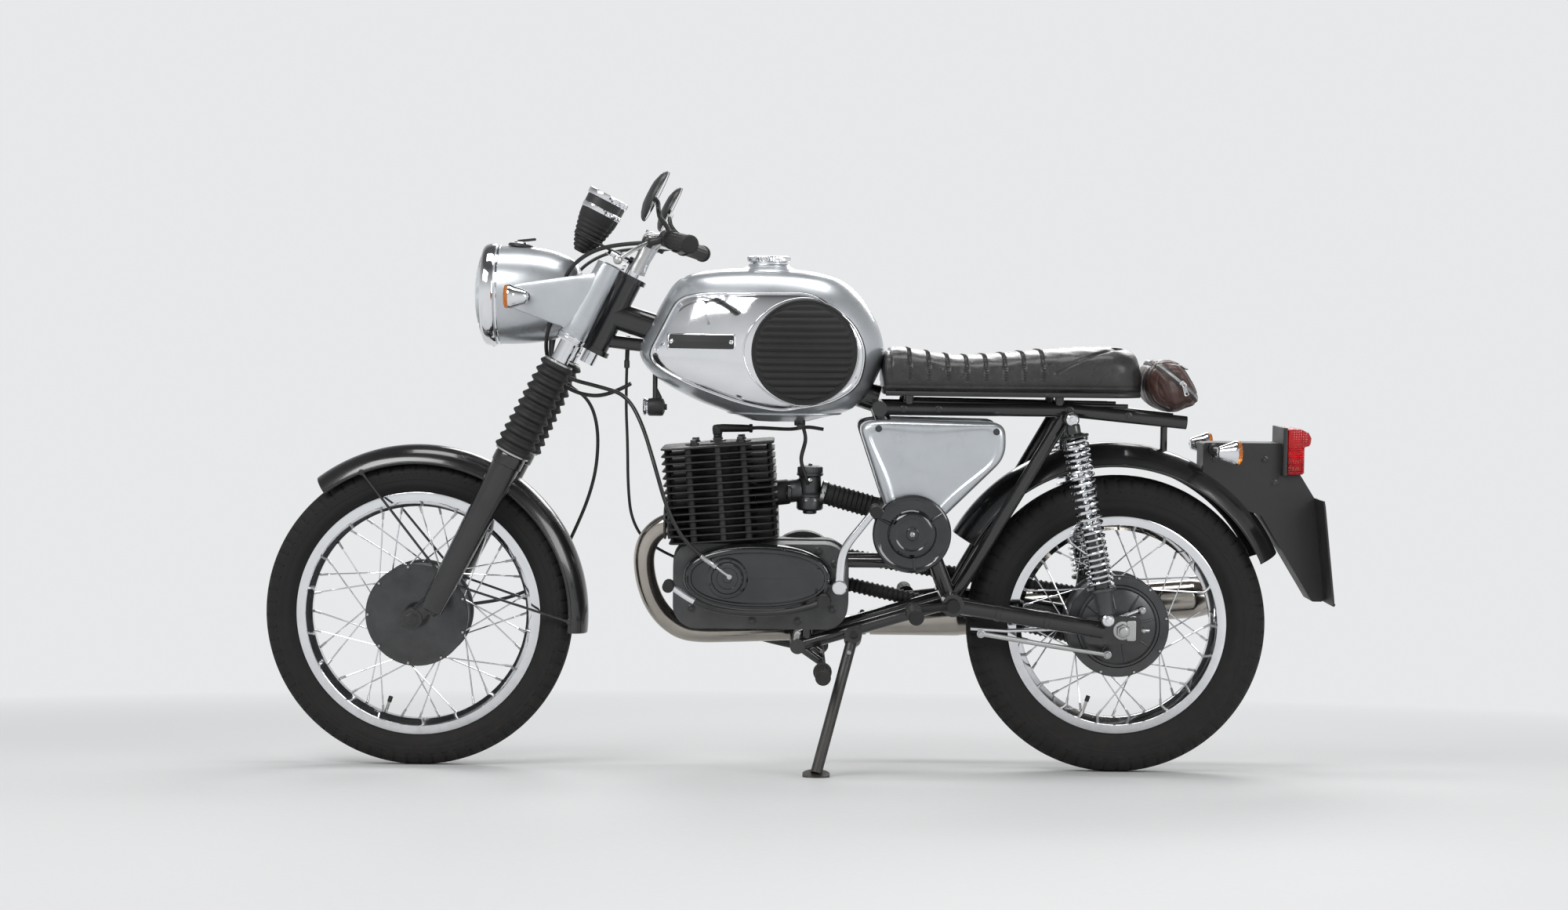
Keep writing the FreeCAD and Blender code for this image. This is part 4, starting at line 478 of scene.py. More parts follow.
alloy = finish("satin_alloy", (0.50, 0.50, 0.50), 0.34, 0.92, vary=0.12, fine=1800, bump=0.00005, dirt=0.5)
dark_alloy = finish("dark_alloy", (0.075, 0.077, 0.08), 0.34, 0.75, vary=0.25, fine=1500, bump=0.00008,
                    dirt=0.55)
cover_black = finish("polished_cover", (0.05, 0.051, 0.053), 0.14, 0.85, coat=0.5, vary=0.18, fine=1400,
                     bump=0.00002, dirt=0.4)
cast = finish("engine_cast", (0.085, 0.086, 0.088), 0.5, 0.7, vary=0.3, fine=1100, bump=0.00014, dirt=0.6)
fins = finish("fin_black", (0.013, 0.013, 0.013), 0.55, 0.0, vary=0.35, fine=900, bump=0.0001, dirt=0.4)
rubber = finish("rubber", (0.016, 0.016, 0.016), 0.62, 0.0, vary=0.3, fine=1200, bump=0.00008, dirt=0.35,
                specular=0.35)
tyre_rubber = finish("tyre_rubber", (0.012, 0.012, 0.0125), 0.74, 0.0, vary=0.35, fine=1000, bump=0.00012,
                     dirt=0.5, dirt_colour=(0.042, 0.038, 0.034), dirt_top=0.6, specular=0.28)
hot_steel = finish("heated_chrome", (0.42, 0.39, 0.35), 0.16, 1.0, vary=0.14, scale=9, fine=1100,
                   bump=0.00002, dirt=0.5, dirt_top=0.35)
seat_leather = leather("seat_cover", (0.010, 0.010, 0.0105), (0.016, 0.016, 0.0165), 620.0, 0.00026, 0.30,
                       0.3)
dark_bolt = finish("blackened_steel", (0.07, 0.07, 0.072), 0.32, 0.9, vary=0.2, fine=1500, bump=0.00002,
                   dirt=0.3)
bag_leather = leather("bag_leather", (0.055, 0.021, 0.015), (0.105, 0.045, 0.034), 420.0, 0.0006, 0.36, 0.25)
amber = clear("amber_lens", (1.0, 0.30, 0.02), 0.08, 260.0, 0.0012, 0.75)
red = clear("red_lens", (0.62, 0.008, 0.012), 0.10, 220.0, 0.0012, 0.55)
glass = clear("lamp_glass", (0.93, 0.96, 0.97), 0.02)
mirror_glass = finish("mirror_glass", (0.86, 0.88, 0.9), 0.02, 1.0, vary=0.02, fine=400, bump=0.000002,
                      dirt=0.1)
thread = finish("thread", (0.03, 0.03, 0.03), 0.6, 0.0, vary=0.3, fine=2500, bump=0.0002, dirt=0)
lead_black = finish("cable_cover", (0.012, 0.012, 0.012), 0.38, 0.0, vary=0.3, fine=1500, bump=0.00005,
                    dirt=0.3)


# The view, taken from the photograph: where the camera stood in the upright motorcycle's own frame.
photo_width = 2000.0
focal_pixels = 2887.0
stand_place = V(29.6, -4500.0, 910.2)
pitch, roll = radians(3.58), radians(0.6)
look = V(0, cos(pitch), -sin(pitch))
rise = V(0, sin(pitch), cos(pitch))
right = X * cos(roll) + rise * sin(roll)
top = rise * cos(roll) - X * sin(roll)
camera_data = bpy.data.cameras.new("camera")
camera_data.sensor_width = 36.0
camera_data.lens = 36.0 * focal_pixels / photo_width
camera = link("camera", camera_data)
axes = Matrix((right, top, -look)).transposed().to_4x4()
camera.matrix_world = Matrix.Translation(row(*stand_place)) @ turn @ axes
bpy.context.scene.camera = camera
bpy.context.scene.view_settings.view_transform = "Standard"


# Plain pale floor that runs out into a pale background, and soft lamps.
background = (0.80, 0.81, 0.82)


def studio():
    sheet = bpy.data.meshes.new("floor")
    reach = 40.0
    sheet.from_pydata([(-reach, -reach, 0), (reach, -reach, 0), (reach, reach, 0), (-reach, reach, 0)], [],
                      [(0, 1, 2, 3)])
    link("floor", sheet)
    s = Stuff("floor")
    speck = s.noise(60.0, 6.0, 0.6)
    cloud = s.noise(0.8, 4.0, 0.5)
    s.put(Base_Color=s.mix(s.maths("MULTIPLY", s.maths("ADD", speck, cloud), 0.5), (0.54, 0.545, 0.55),
                           (0.62, 0.625, 0.63)), Roughness=s.ramp(speck, 0.3, 0.7, 0.5, 0.7),
          Normal=s.bump(speck, 0.0003))
    distance = s.node("VectorMath", {0: s.coord}, 1, operation="LENGTH")
    far = s.ramp(distance, 1.15, 3.6, 0.0, 1.0)
    rays = s.tree.nodes.new("ShaderNodeLightPath").outputs
    seen = s.maths("MAXIMUM", s.maths("MAXIMUM", rays["Is Camera Ray"], rays["Is Glossy Ray"]),
                   rays["Is Transmission Ray"])
    glow = s.node("Emission", {"Color": (*background, 1), "Strength": 1.0})
    blend = s.node("MixShader", {0: s.maths("MULTIPLY", far, seen), 1: s.shader.outputs[0], 2: glow})
    s.tree.links.new(blend, s.tree.nodes["Material Output"].inputs["Surface"])
    sheet.materials.append(s.mat)

    world = bpy.data.worlds.new("world")
    bpy.context.scene.world = world
    world.use_nodes = True
    world.node_tree.nodes.clear()
    sky = Nodes(world.node_tree)
    rays = sky.tree.nodes.new("ShaderNodeLightPath").outputs
    height = sky.node("SeparateXYZ", {0: sky.node("TexCoord", outputs="Generated")}, 2)
    dim = sky.ramp(height, 0.05, 0.8, 1.0, 0.12)
    mirrored = sky.node("Background", {"Color": (*background, 1), "Strength": dim})
    plain = sky.node("Background", {"Color": (*background, 1)})
    ambient = sky.node("Background", {"Color": (1, 1, 1, 1), "Strength": 0.42})
    shiny = sky.maths("MAXIMUM", rays["Is Glossy Ray"], rays["Is Transmission Ray"])
    lit = sky.node("MixShader", {0: shiny, 1: ambient, 2: mirrored})
    seen = sky.node("MixShader", {0: rays["Is Camera Ray"], 1: lit, 2: plain})
    sky.tree.links.new(seen, sky.tree.nodes.new("ShaderNodeOutputWorld").inputs[0])

    for name, place, aim, size, power in (
        ("key", (-1.8, -2.6, 2.9), (0, 0, 0.5), (2.2, 1.4), 82),
        ("fill", (2.6, -2.4, 1.6), (0, 0, 0.6), (1.6, 1.6), 38),
        ("back", (0.6, 2.8, 2.6), (0, 0, 0.5), (3.0, 1.2), 62),
        ("top", (0.0, -0.2, 3.4), (0, 0, 0), (2.6, 1.0), 46),
    ):
        data = bpy.data.lights.new(name, "AREA")
        data.shape, data.size, data.size_y, data.energy = "RECTANGLE", size[0], size[1], power
        lamp = link(name, data)
        lamp.location = place
        lamp.rotation_euler = (Vector(aim) - Vector(place)).to_track_quat("-Z", "Y").to_euler()


studio()


# Cables. Their control points are the routes of the part's source.
BRAKE = [(-224, 186, 1042), (-290, 158, 1040), (-352, 126, 1024), (-398, 92, 986), (-412, 82, 925),
         (-436, 66, 862), (-441, 40, 800), (-404, 34, 762), (-362, 44, 734), (-345, 56, 676), (-348, 64, 600),
         (-364, 72, 537), (-388, 76, 478), (-426, 78, 398), (-470, 80, 350), (-528, 76, 326), (-590, 66, 316),
         (-652, 48, 311)]
CLUTCH = [(-224, -186, 1042), (-290, -158, 1040), (-352, -126, 1024), (-398, -92, 986), (-412, -82, 925),
          (-440, -68, 862), (-438, -38, 806), (-398, -16, 776), (-340, -10, 762), (-284, -16, 746),
          (-250, -46, 690), (-222, -102, 612), (-196, -114, 524), (-156, -126, 456), (-104, -128, 420)]
LOOM = [(-436, 14, 866), (-440, 8, 812), (-420, 8, 766), (-370, 12, 742), (-318, 8, 744), (-276, 2, 768)]
PUMP = [(-286, 22, 800), (-288, 24, 730), (-284, 28, 650), (-283, 30, 560), (-276, 36, 492), (-244, 52, 440),
        (-186, 62, 414)]


def cable(name, points, radius):
    data = bpy.data.curves.new(name, "CURVE")
    data.dimensions = "3D"
    data.resolution_u = 10
    data.bevel_depth = radius / 1000
    data.bevel_resolution = 3
    data.use_fill_caps = True
    spline = data.splines.new("NURBS")
    spline.points.add(len(points) - 1)
    for point, place in zip(spline.points, points):
        point.co = (*row(*place), 1)
    spline.order_u = 3
    spline.use_endpoint_u = True
    data.materials.append(lead_black)
    return link(name, data)


def cable_mesh(name, points, radius):
    source = cable(name + "_line", points, radius)
    bpy.context.view_layer.update()
    mesh = bpy.data.meshes.new_from_object(source)
    bpy.data.objects.remove(source)
    return link(name, mesh)


def cables():
    brake = cable("brake_line", BRAKE, 3.5)
    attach(brake, "steering")
    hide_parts("brake_cable")
    pump = cable("pump_line", PUMP, 3.0)
    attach(pump, "chassis")
    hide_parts("control_cables")
    for name, points, radius in (("clutch_line", CLUTCH, 4.0), ("loom_line", LOOM, 4.0)):
        piece = cable_mesh(name, points, radius)
        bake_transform(piece)
        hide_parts("control_cables")


cables()


# Wheels
def tyre_profile(radius, half, flange, rim_half, wall=3.5):
    bead = rim_half - wall - 0.4
    height = radius - flange
    shares = [(0.86, -0.06), (0.92, 0.2), (0.985, 0.38), (1.0, 0.55), (0.94, 0.72), (0.72, 0.88),
              (0.38, 0.972), (0, 1.0)]
    right_side = [(flange + height * up, half * out) for out, up in shares[1:]]
    half_line = [(flange - 9, bead), (flange - 1, bead)] + right_side
    line = half_line + [(r, -a) for r, a in reversed(half_line[:-1])]
    return [tuple(p) for p in smooth(line, 8)]


def tyre(name, centre, radius, half, flange, rim_half, rear, body):
    profile = tyre_profile(radius, half, flange, rim_half)
    count = 66 if rear else 72
    height = radius - flange

    def tread(r, a, angle):
        share = a / half
        level = (r - flange) / height
        if level < 0.6:
            ring = max(0.0, 1 - abs(level - 0.42) * 60) * 0.8 + max(0.0, 1 - abs(level - 0.18) * 70) * 0.6
            return r, a + copysign(ring, a)
        saw = (angle / (2 * pi) * count) % 1.0
        sway = (abs(saw - 0.5) * 2 - 0.5)
        depth = 0.0
        for line in ((-0.42, 0.0, 0.42) if rear else (-0.5, -0.17, 0.17, 0.5)):
            off = abs(share - line - 0.07 * sway)
            if off < 0.035:
                depth = 4.2
        if abs(share) > (0.52 if rear else 0.6):
            gap = (saw + 0.35 * abs(share)) % 1.0
            if gap < 0.2:
                depth = max(depth, 3.6)
        elif rear and 0.08 < abs(share) < 0.36 and (saw + 0.5 * abs(share)) % 1.0 < 0.12:
            depth = max(depth, 3.0)
        return r - depth, a

    shape = Shape()
    shape.lathe(profile, centre, Y, 6 * count, change=tread)
    shape.make(name + "_tread", body, tyre_rubber, name, "tyre", sharp=32)
    return shape


def wheel_rim(name, centre, bead, flange, half, body):
    """A chromed steel rim with rolled flanges and a dropped well."""
    well, floor = half * 0.45, bead - 12.0
    side = [(bead - 3.5, half - 0.5), (flange - 2.6, half), (flange - 0.4, half - 0.9), (flange, half - 2.0),
            (flange - 1.2, half - 3.3), (bead, half - 3.5), (bead, well + 4), (floor, well)]
    inner = [(floor - 3.5, -well * 0.7), (floor - 3.5, well * 0.7), (bead - 4.4, half - 5),
             (bead - 3.7, half - 1.6)]
    loop = both(side) + [(bead - 3.7, -half + 1.6), (bead - 4.4, -half + 5)] + inner
    shape = Shape()
    shape.lathe(loop + [loop[0]], centre, Y, 180)
    valve = centre + V(cos(-1.9), 0, sin(-1.9)) * (floor - 3)
    inward = (centre - valve).normalized()
    shape.rod(valve, valve + inward * 30, 3.2, 14, 1)
    shape.rod(valve + inward * 22, valve + inward * 34, 4.4, 14, 2)
    shape.make(name + "_chrome", body, [chrome, steel, rubber], name, "chrome")


def wheel_hub(name, centre, drum, half, bead, axle, sign, body):
    """A full-width drum with cooling rings and spoke flanges, 36 crossed spokes and their nipples."""
    flange = drum + 9
    shape = Shape()
    web = half - 10
    outer = [(axle, half), (22, half), (24, half + 0.6), (30, half + 0.6), (34, half - 0.8),
             (drum * 0.72, half - 0.4), (drum * 0.8, half + 0.8), (drum - 6, half + 0.6),
             (drum - 2, half - 1.2), (flange - 1.5, half - 0.4), (flange, half - 2), (flange, half - 5.8),
             (flange - 1.4, half - 7), (drum + 0.5, half - 7.5)]
    rings, room = [], 2 * (half - 9)
    for i in range(7):
        at = half - 9 - room * (i + 0.5) / 7
        rings += [(drum + 0.2, at + room / 20), (drum + 3.4, at + room / 30), (drum + 3.4, at - room / 30),
                  (drum + 0.2, at - room / 20)]
    far = [(drum + 0.5, -half + 7.5), (flange - 1.4, -half + 7), (flange, -half + 5.8), (flange, -half + 2),
           (flange - 1.5, -half + 0.4), (drum - 3, -half + 0.2), (drum - 9, -half + 0.6), (drum - 9, web),
           (22, web), (22, -half + 9), (axle, -half + 9), (axle, half)]
    shape.lathe([(r, sign * a) for r, a in outer + rings + far], centre, Y, 120)
    for i in range(36):
        side = (1 if i % 2 else -1) * sign
        way = 1 if i // 2 % 2 else -1
        out_angle, in_angle = radians(i * 10), radians(i * 10 + way * 30)
        level = side * (half - 3.5) + sign * way * 1.5
        # A spoke runs from one of the hub's flanges to the rim's well.
        start = centre + around(in_angle) * (drum + 4.5) + Y * level
        end = centre + around(out_angle) * (bead - 15.8) + Y * (side * 5)
        run = (end - start).normalized()
        shape.tube([start - run * 1.5 - Y * side * 4.5, start - run * 0.5 - Y * side * 1.5, start + run * 3,
                    end - run * 14], [1.7, 1.7, 1.5, 1.5], 8, 1)
        shape.lathe([(0, 0), (2.0, 0.2), (2.4, 1.2), (2.5, 12), (3.0, 13), (3.0, 15), (0, 15)],
                    end - run * 15, run, 10, 2)
        shape.lathe([(0, 0), (2.6, 0.3), (3.0, 1.4), (2.2, 2.6), (0, 2.8)],
                    centre + around(in_angle) * (drum + 4.0) + Y * (level + side * 2.6), Y * side, 10, 2)
    shape.lathe([(drum - 9.5, half - 1.4), (drum - 7, half + 1.4), (drum - 3.4, half + 1.2),
                 (drum - 1.4, half - 1.4)], centre, Y, 120, 2)
    shape.make(name + "_spoked", body, [dark_alloy, chrome, steel], name, "alloy", sharp=30)


def brake_side(name, centre, drum, half, axle, sign, body):
    """The fixed plate in the open side of the drum, with ribs and the brake's lever."""
    inner = drum - 10
    shape = Shape()
    line = [(axle, half - 8), (inner, half - 8), (inner, half - 1.2), (inner - 1.2, half),
            (inner - 5, half + 0.4), (inner - 8, half - 1.6), (66, half + 1.8), (48, half + 4.2),
            (36, half + 6.6), (32, half + 7), (20, half + 7), (18, half + 9.5), (axle + 1, half + 9.5),
            (axle, half + 8)]
    shape.lathe([(r, sign * a) for r, a in line], centre, Y, 96)
    for way in spread(8, 12):
        shape.tube([centre + way * 36 + Y * sign * (half + 5.5), centre + way * 56 + Y * sign * (half + 3),
                    centre + way * 73 + Y * sign * (half - 0.4)], [2.6, 2.6, 1.8], 8)
    cam = centre + V(45, 0, 34) + Y * sign * (half + 2)
    shape.rod(cam, cam + Y * sign * 14, 8, 20)
    shape.bolt(cam + Y * sign * 14, Y * sign, 5, 4, 1)
    shape.make(name + "_ribbed", body, [dark_alloy, steel], name, "alloy")


# Each wheel's axle place, then the tyre's radius and half width, the rim's flange, bead seat and half width,
# the drum's radius, the hub's half width and the axle's radius.
WHEELS = {"front": (FRONT, 306.0, 37.5, 243.0, 229.0, 25.0, 93.0, 44.0, 7.5),
          "rear": (REAR, 298.0, 46.5, 218.0, 204.0, 30.0, 92.0, 46.0, 8.5)}


def wheels():
    for name, (centre, radius, half, flange, bead, rim_half, drum, hub_half, axle) in WHEELS.items():
        body, rear = name + "_wheel", name == "rear"
        tyre(name + "_tyre", centre, radius, half, flange, rim_half, rear, body)
        wheel_rim(name + "_rim", centre, bead, flange, rim_half, body)
        wheel_hub(name + "_hub", centre, drum, hub_half, bead, axle + 0.1, 1 if rear else -1, body)
        brake_side(name + "_brake_plate", centre, drum, hub_half, axle, -1 if rear else 1,
                   "chassis" if rear else "steering")
    for name, centre, end, radius, body in (("front_axle", FRONT, 112, 7.5, "steering"),
                                            ("rear_axle", REAR, 124, 8.5, "chassis")):
        shape = Shape().rod(centre - Y * end, centre + Y * end, radius, 32, 0)
        for sign in (-1, 1):
            face = centre + Y * sign * (end - (4 if body == "steering" else 18))
            shape.bolt(face, Y * sign, radius + 5, 9 if body == "chassis" else 3.6)
        shape.make(name + "_nuts", body, dark_bolt if body == "steering" else steel, name, "alloy", sharp=25)


# Fork, headlamp and what is on the bars
def fork():
    legs, rubbers, covers = Shape(), Shape(), Shape()
    step = 202.0 / 11
    for sign in (-1, 1):
        side = LEG_HALF * sign
        base = steer(LEG_BACK, side, 0)
        legs.lathe([(0, 30), (20, 30), (22.4, 32), (23, 36), (24.2, 96), (25.6, 180), (27.4, 290),
                    (28.2, 345), (28.2, 352), (30.5, 354), (30.5, 372), (29, 376), (24, 378), (0, 378)], base,
                   UP, 48)
        centre = FRONT + Y * side
        legs.rod(centre - Y * 20, centre + Y * 20, 21, 36, 0, 2)
        legs.rod(base + UP * 58, centre, 17.5, 32, 0, 1)
        legs.tube([base + UP * 36, base + UP * 24 + AHEAD * 2], [17, 15], 24)
        legs.bolt(centre - UP * 19 + AHEAD * 6, -UP, 5, 5, 1)
        legs.bolt(base + UP * 24 + AHEAD * 2, -UP, 6, 4, 1)
        for rise in (98, 292):
            legs.bolt(steer(LEG_BACK, sign * (LEG_HALF - 24), rise), -Y * sign, 5, 4, 1)
        line = []
        for i in range(11):
            crest = 39 - 5 * i / 11
            for share, sink in ((0, 7), (0.1, 6.2), (0.22, 2.6), (0.32, 0.5), (0.42, 0), (0.52, 0.5),
                                (0.66, 2.8), (0.86, 6.0)):
                line.append((crest - sink, (i + share) * step))
        line = [(24, 0)] + line + [(27, 202), (22, 203), (18, 203)]
        rubbers.lathe(line, base + UP * 378, UP, 56)
        for at, r in ((381, 33.5), (576, 28.6)):
            rubbers.lathe([(r - 2, -4), (r + 0.6, -3.6), (r + 1, 0), (r + 0.6, 3.6), (r - 2, 4)],
                          base + UP * at, UP, 48, 1)
        covers.lathe([(18, 623), (28, 623), (28.6, 624), (28.6, 627), (27.4, 628), (27.4, 630.5),
                      (28.6, 631.5), (28.6, 636), (27.4, 637), (18, 637)], base, UP, 56, 1)
        covers.lathe([(18, 636), (26.4, 636.5), (27, 638), (26.2, 660), (24.2, 740), (23.2, 788),
                      (22.6, 791.5), (18, 791.6)], base, UP, 56)
    legs.make("fork_legs", "steering", [black, dark_bolt], "fork_sliders", "black_paint")
    rubbers.make("gaiter_rubbers", "steering", [rubber, steel], "fork_gaiters", "rubber", sharp=60)
    # The ears run from the covers' whole height to the headlamp's bolts and wrap round the covers.
    for sign in (-1, 1):
        rows = []
        for k in range(21):
            t = k / 20
            ease = t ** 0.85
            high = steer(LEG_BACK, 0, 778).lerp(V(-492, 0, 962), ease)
            low = steer(LEG_BACK, 0, 646).lerp(V(-492, 0, 912), ease)
            middle, reach = (high + low) / 2, (high - low) / 2
            outer = 111.0 - 4.6 * sin(min(1, t * 1.4) * pi / 2) + 2.2 * sin(t * pi)
            inner = min(outer - 3.0, 90 + 9.5 * min(1, t * 3.2))
            half = (outer - inner) / 2
            line = []
            for angle in round_turn(28):
                c, s = cos(angle), sin(angle)
                up_share = swell_out(c, 0.75)
                side = (outer + inner) / 2 + half * swell_out(s, 0.7)
                line.append(middle + reach * up_share + Y * sign * side)
            rows.append(line)
        nose = rows[-1]
        mid = sum(nose, Vector()) / len(nose)
        for share, lead in ((0.86, 6), (0.55, 11), (0.01, 13)):
            rows.append([mid + (p - mid) * share + V(-lead, 0, 0) for p in nose])
        covers.grid(rows)
        covers.bolt((-478, sign * 108.5, 941), Y * sign, 6, 4, 1)
    covers.make("fork_ears", "steering", [silver, chrome], "fork_covers", "silver_paint", sharp=50)
    yokes = Shape()
    for low, wall, plate in ((597, 26, 0), (792, 18, 1)):
        outline = [(LEG_BACK + 27, LEG_HALF), (LEG_BACK + 18, 104), (LEG_BACK - 4, 114),
                   (LEG_BACK - 22, 104), (-60, 60), (-97, 30), (-99, 0)]
        outline += [(u, -v) for u, v in reversed(outline[:-1])]
        outline += [(LEG_BACK + 27, -LEG_HALF), (6, -60), (-14, -30), (-16, 0), (-14, 30), (6, 60)]
        ring = even(round_corners(outline, 26, 5), 120)
        yokes.plate(ring, low, low + wall, 0, 3.0, (FRONT, UP, AHEAD, Y), 0)
        for sign in (-1, 1):
            base = steer(LEG_BACK, LEG_HALF * sign, low)
            if plate:
                yokes.bolt(base + UP * wall, UP, 13, 8, 1)
            yokes.bolt(steer(-50, 96 * sign, low + wall / 2), -AHEAD, 5, 5, 1)
    base = steer(-66, 0, 0)
    yokes.lathe([(15, 597), (15, 810), (21, 810), (21, 813), (19, 814), (0, 814)], base, UP, 40, 1)
    yokes.lathe([(19, 813), (19, 824), (17, 826), (0, 826)], base, UP, 6, 1)
    for sign in (-1, 1):
        yokes.lathe([(17.5, 378), (17.5, 792)], steer(LEG_BACK, LEG_HALF * sign, 0), UP, 40, 1)
        foot, centre = steer(-72, 46 * sign, 801), steer(-72, 46 * sign, 872)
        yokes.tube([foot, foot.lerp(centre, 0.4), centre - UP * 8], [15, 12.5, 15], 28)
        yokes.lathe(both([(11.2, -13), (16, -13), (17, -12)]), centre, Y, 40)
        for lead in (-13, 13):
            yokes.bolt(centre + AHEAD * lead + UP * 10, UP, 4.4, 5, 1)
    yokes.make("yoke_castings", "steering", [alloy, chrome], "fork_yokes", "alloy", sharp=32)


LAMP = V(-540, 0, 941)


def headlamp():
    centre = LAMP
    shell = Shape()
    line = smooth([(97, 0), (97, 33), (95, 66), (90.2, 99), (82.4, 125), (71.8, 147), (60, 158), (46.6, 165)],
                  5)
    shell.lathe([(96, -1)] + [tuple(p) for p in line] + [(30, 168), (0.01, 169)], centre, X, 96)
    shell.lathe([(98.4, 3), (98.4, 6), (97.6, 7)], centre, X, 96, 1)
    for sign in (-1, 1):
        shell.rod((-478, sign * 80, LAMP.z), (-478, sign * 106, LAMP.z), 9, 24, 1)
    shell.lathe([(0, 0), (24, 0), (25, 1.5), (24, 5), (21, 6.5), (0, 6.5)], (-496, 0, 1036), (0.12, 0, 1), 40,
                2)
    shell.lathe([(0, 0), (13, 0), (13, 4), (11, 6), (0, 6)], (-497, 0, 1040), (0.12, 0, 1), 32, 1)
    shell.plate(round_corners([(-502, 1045), (-466, 1049), (-466, 1054), (-502, 1050)], 2, 3), -7, 7, 2, 1.2)
    shell.rod((-497, 0, 1044), (-496, 0, 1050), 3.5, 16, 1)
    shell.tube([(-392, 14, 905), (-378, 12, 896), (-366, 10, 880)], [16, 14, 9], 20, 2)
    shell.rod((-436, 14, 872), (-436, 14, 852), 8, 20, 2)
    shell.make("lamp_bowl", "steering", [silver, chrome, plastic], "headlamp_shell", "silver_paint")
    front = Shape()
    front.lathe([(97, 0), (99.5, -0.5), (101, -3), (101, -13), (100, -19), (97.5, -24), (94, -26.6),
                 (91, -27), (89.6, -25.5), (90, -20), (94, -8), (95, 0)], centre, X, 128)
    front.screw((-549, 0, 841), -Z, 3.5)
    front.lathe([(94, -6), (88, -4), (70, 10), (45, 27), (22, 36), (14, 37), (0, 37)], centre, X, 96, 1)
    front.lathe([(0, -4), (8, -3), (14, 3), (15, 12), (12, 22), (12, 36)], centre, X, 32, 1)
    front.make("lamp_bezel", "steering", [chrome, mirror_glass], "headlamp_lens", "chrome")
    lens = Shape()

    def flutes(r, a, angle):
        side = r * sin(angle)
        return r, a + 0.7 * cos(side * 2 * pi / 9.0) * min(1, r / 20) * min(1, max(0, (88 - r) / 6))

    dome = [(90, -24)] + [(r, -27 - 17.2 * (1 - (r / 90.0) ** 2)) for r in range(88, 0, -2)] + [(0.01, -44.2)]
    lens.lathe(dome, centre, X, 144, change=flutes)
    lens.make("lamp_lens", "steering", glass, (), "lens", sharp=80)


def indicator_pair(name, x, half, z, facing, inner, body, node):
    shape, lenses = Shape(), Shape()
    for sign in (-1, 1):
        centre = V(x, sign * half, z)
        run = X * -facing
        shape.lathe([(0, 34), (8, 34), (11, 32.6), (12.4, 30), (15.5, 22), (20.6, 8), (23.6, 2.6), (24, 0),
                     (23.8, -2.4), (22.6, -3.2), (22, -1)], centre, run, 48)
        foot = centre + run * 20
        shape.tube([foot, (foot.x, sign * (half - 20), z), (foot.x, sign * inner, z)], [7.5, 6, 6], 20, 1)
        shape.lathe([(6, 0), (11, 0), (11.5, 1), (11, 8), (8, 11), (6, 11)], (foot.x, sign * inner, z),
                    Y * sign, 28, 1)
        shape.screw(centre + run * 34, run, 2.8)

        def ridges(r, a, angle):
            return r + 0.35 * cos(angle * 28), a - 0.5 * cos(r * 2.1)

        lenses.lathe([(22.4, 0), (23, -2), (22.6, -4.5), (21.4, -9), (19, -11.2), (14, -12), (8, -12),
                      (3, -12), (0.01, -12)], centre, run, 112, change=ridges)
        lenses.lathe([(0, 0), (20, 0), (20.4, -1)], centre, run, 32, 1)
    shape.make(name + "_cups", body, [chrome, plastic], node, "chrome")
    lenses.make(name + "_lenses", body, [amber, mirror_glass], (), "lens", sharp=70)


DIAL_LEAD, DIAL_HALF, DIAL_RISE = 44, 44, 820


def dial_way(share):
    """The way from a dial's middle to a place along its scale."""
    angle = radians(-130 + 260 * share)
    return AHEAD * cos(angle) + Y * sin(angle)


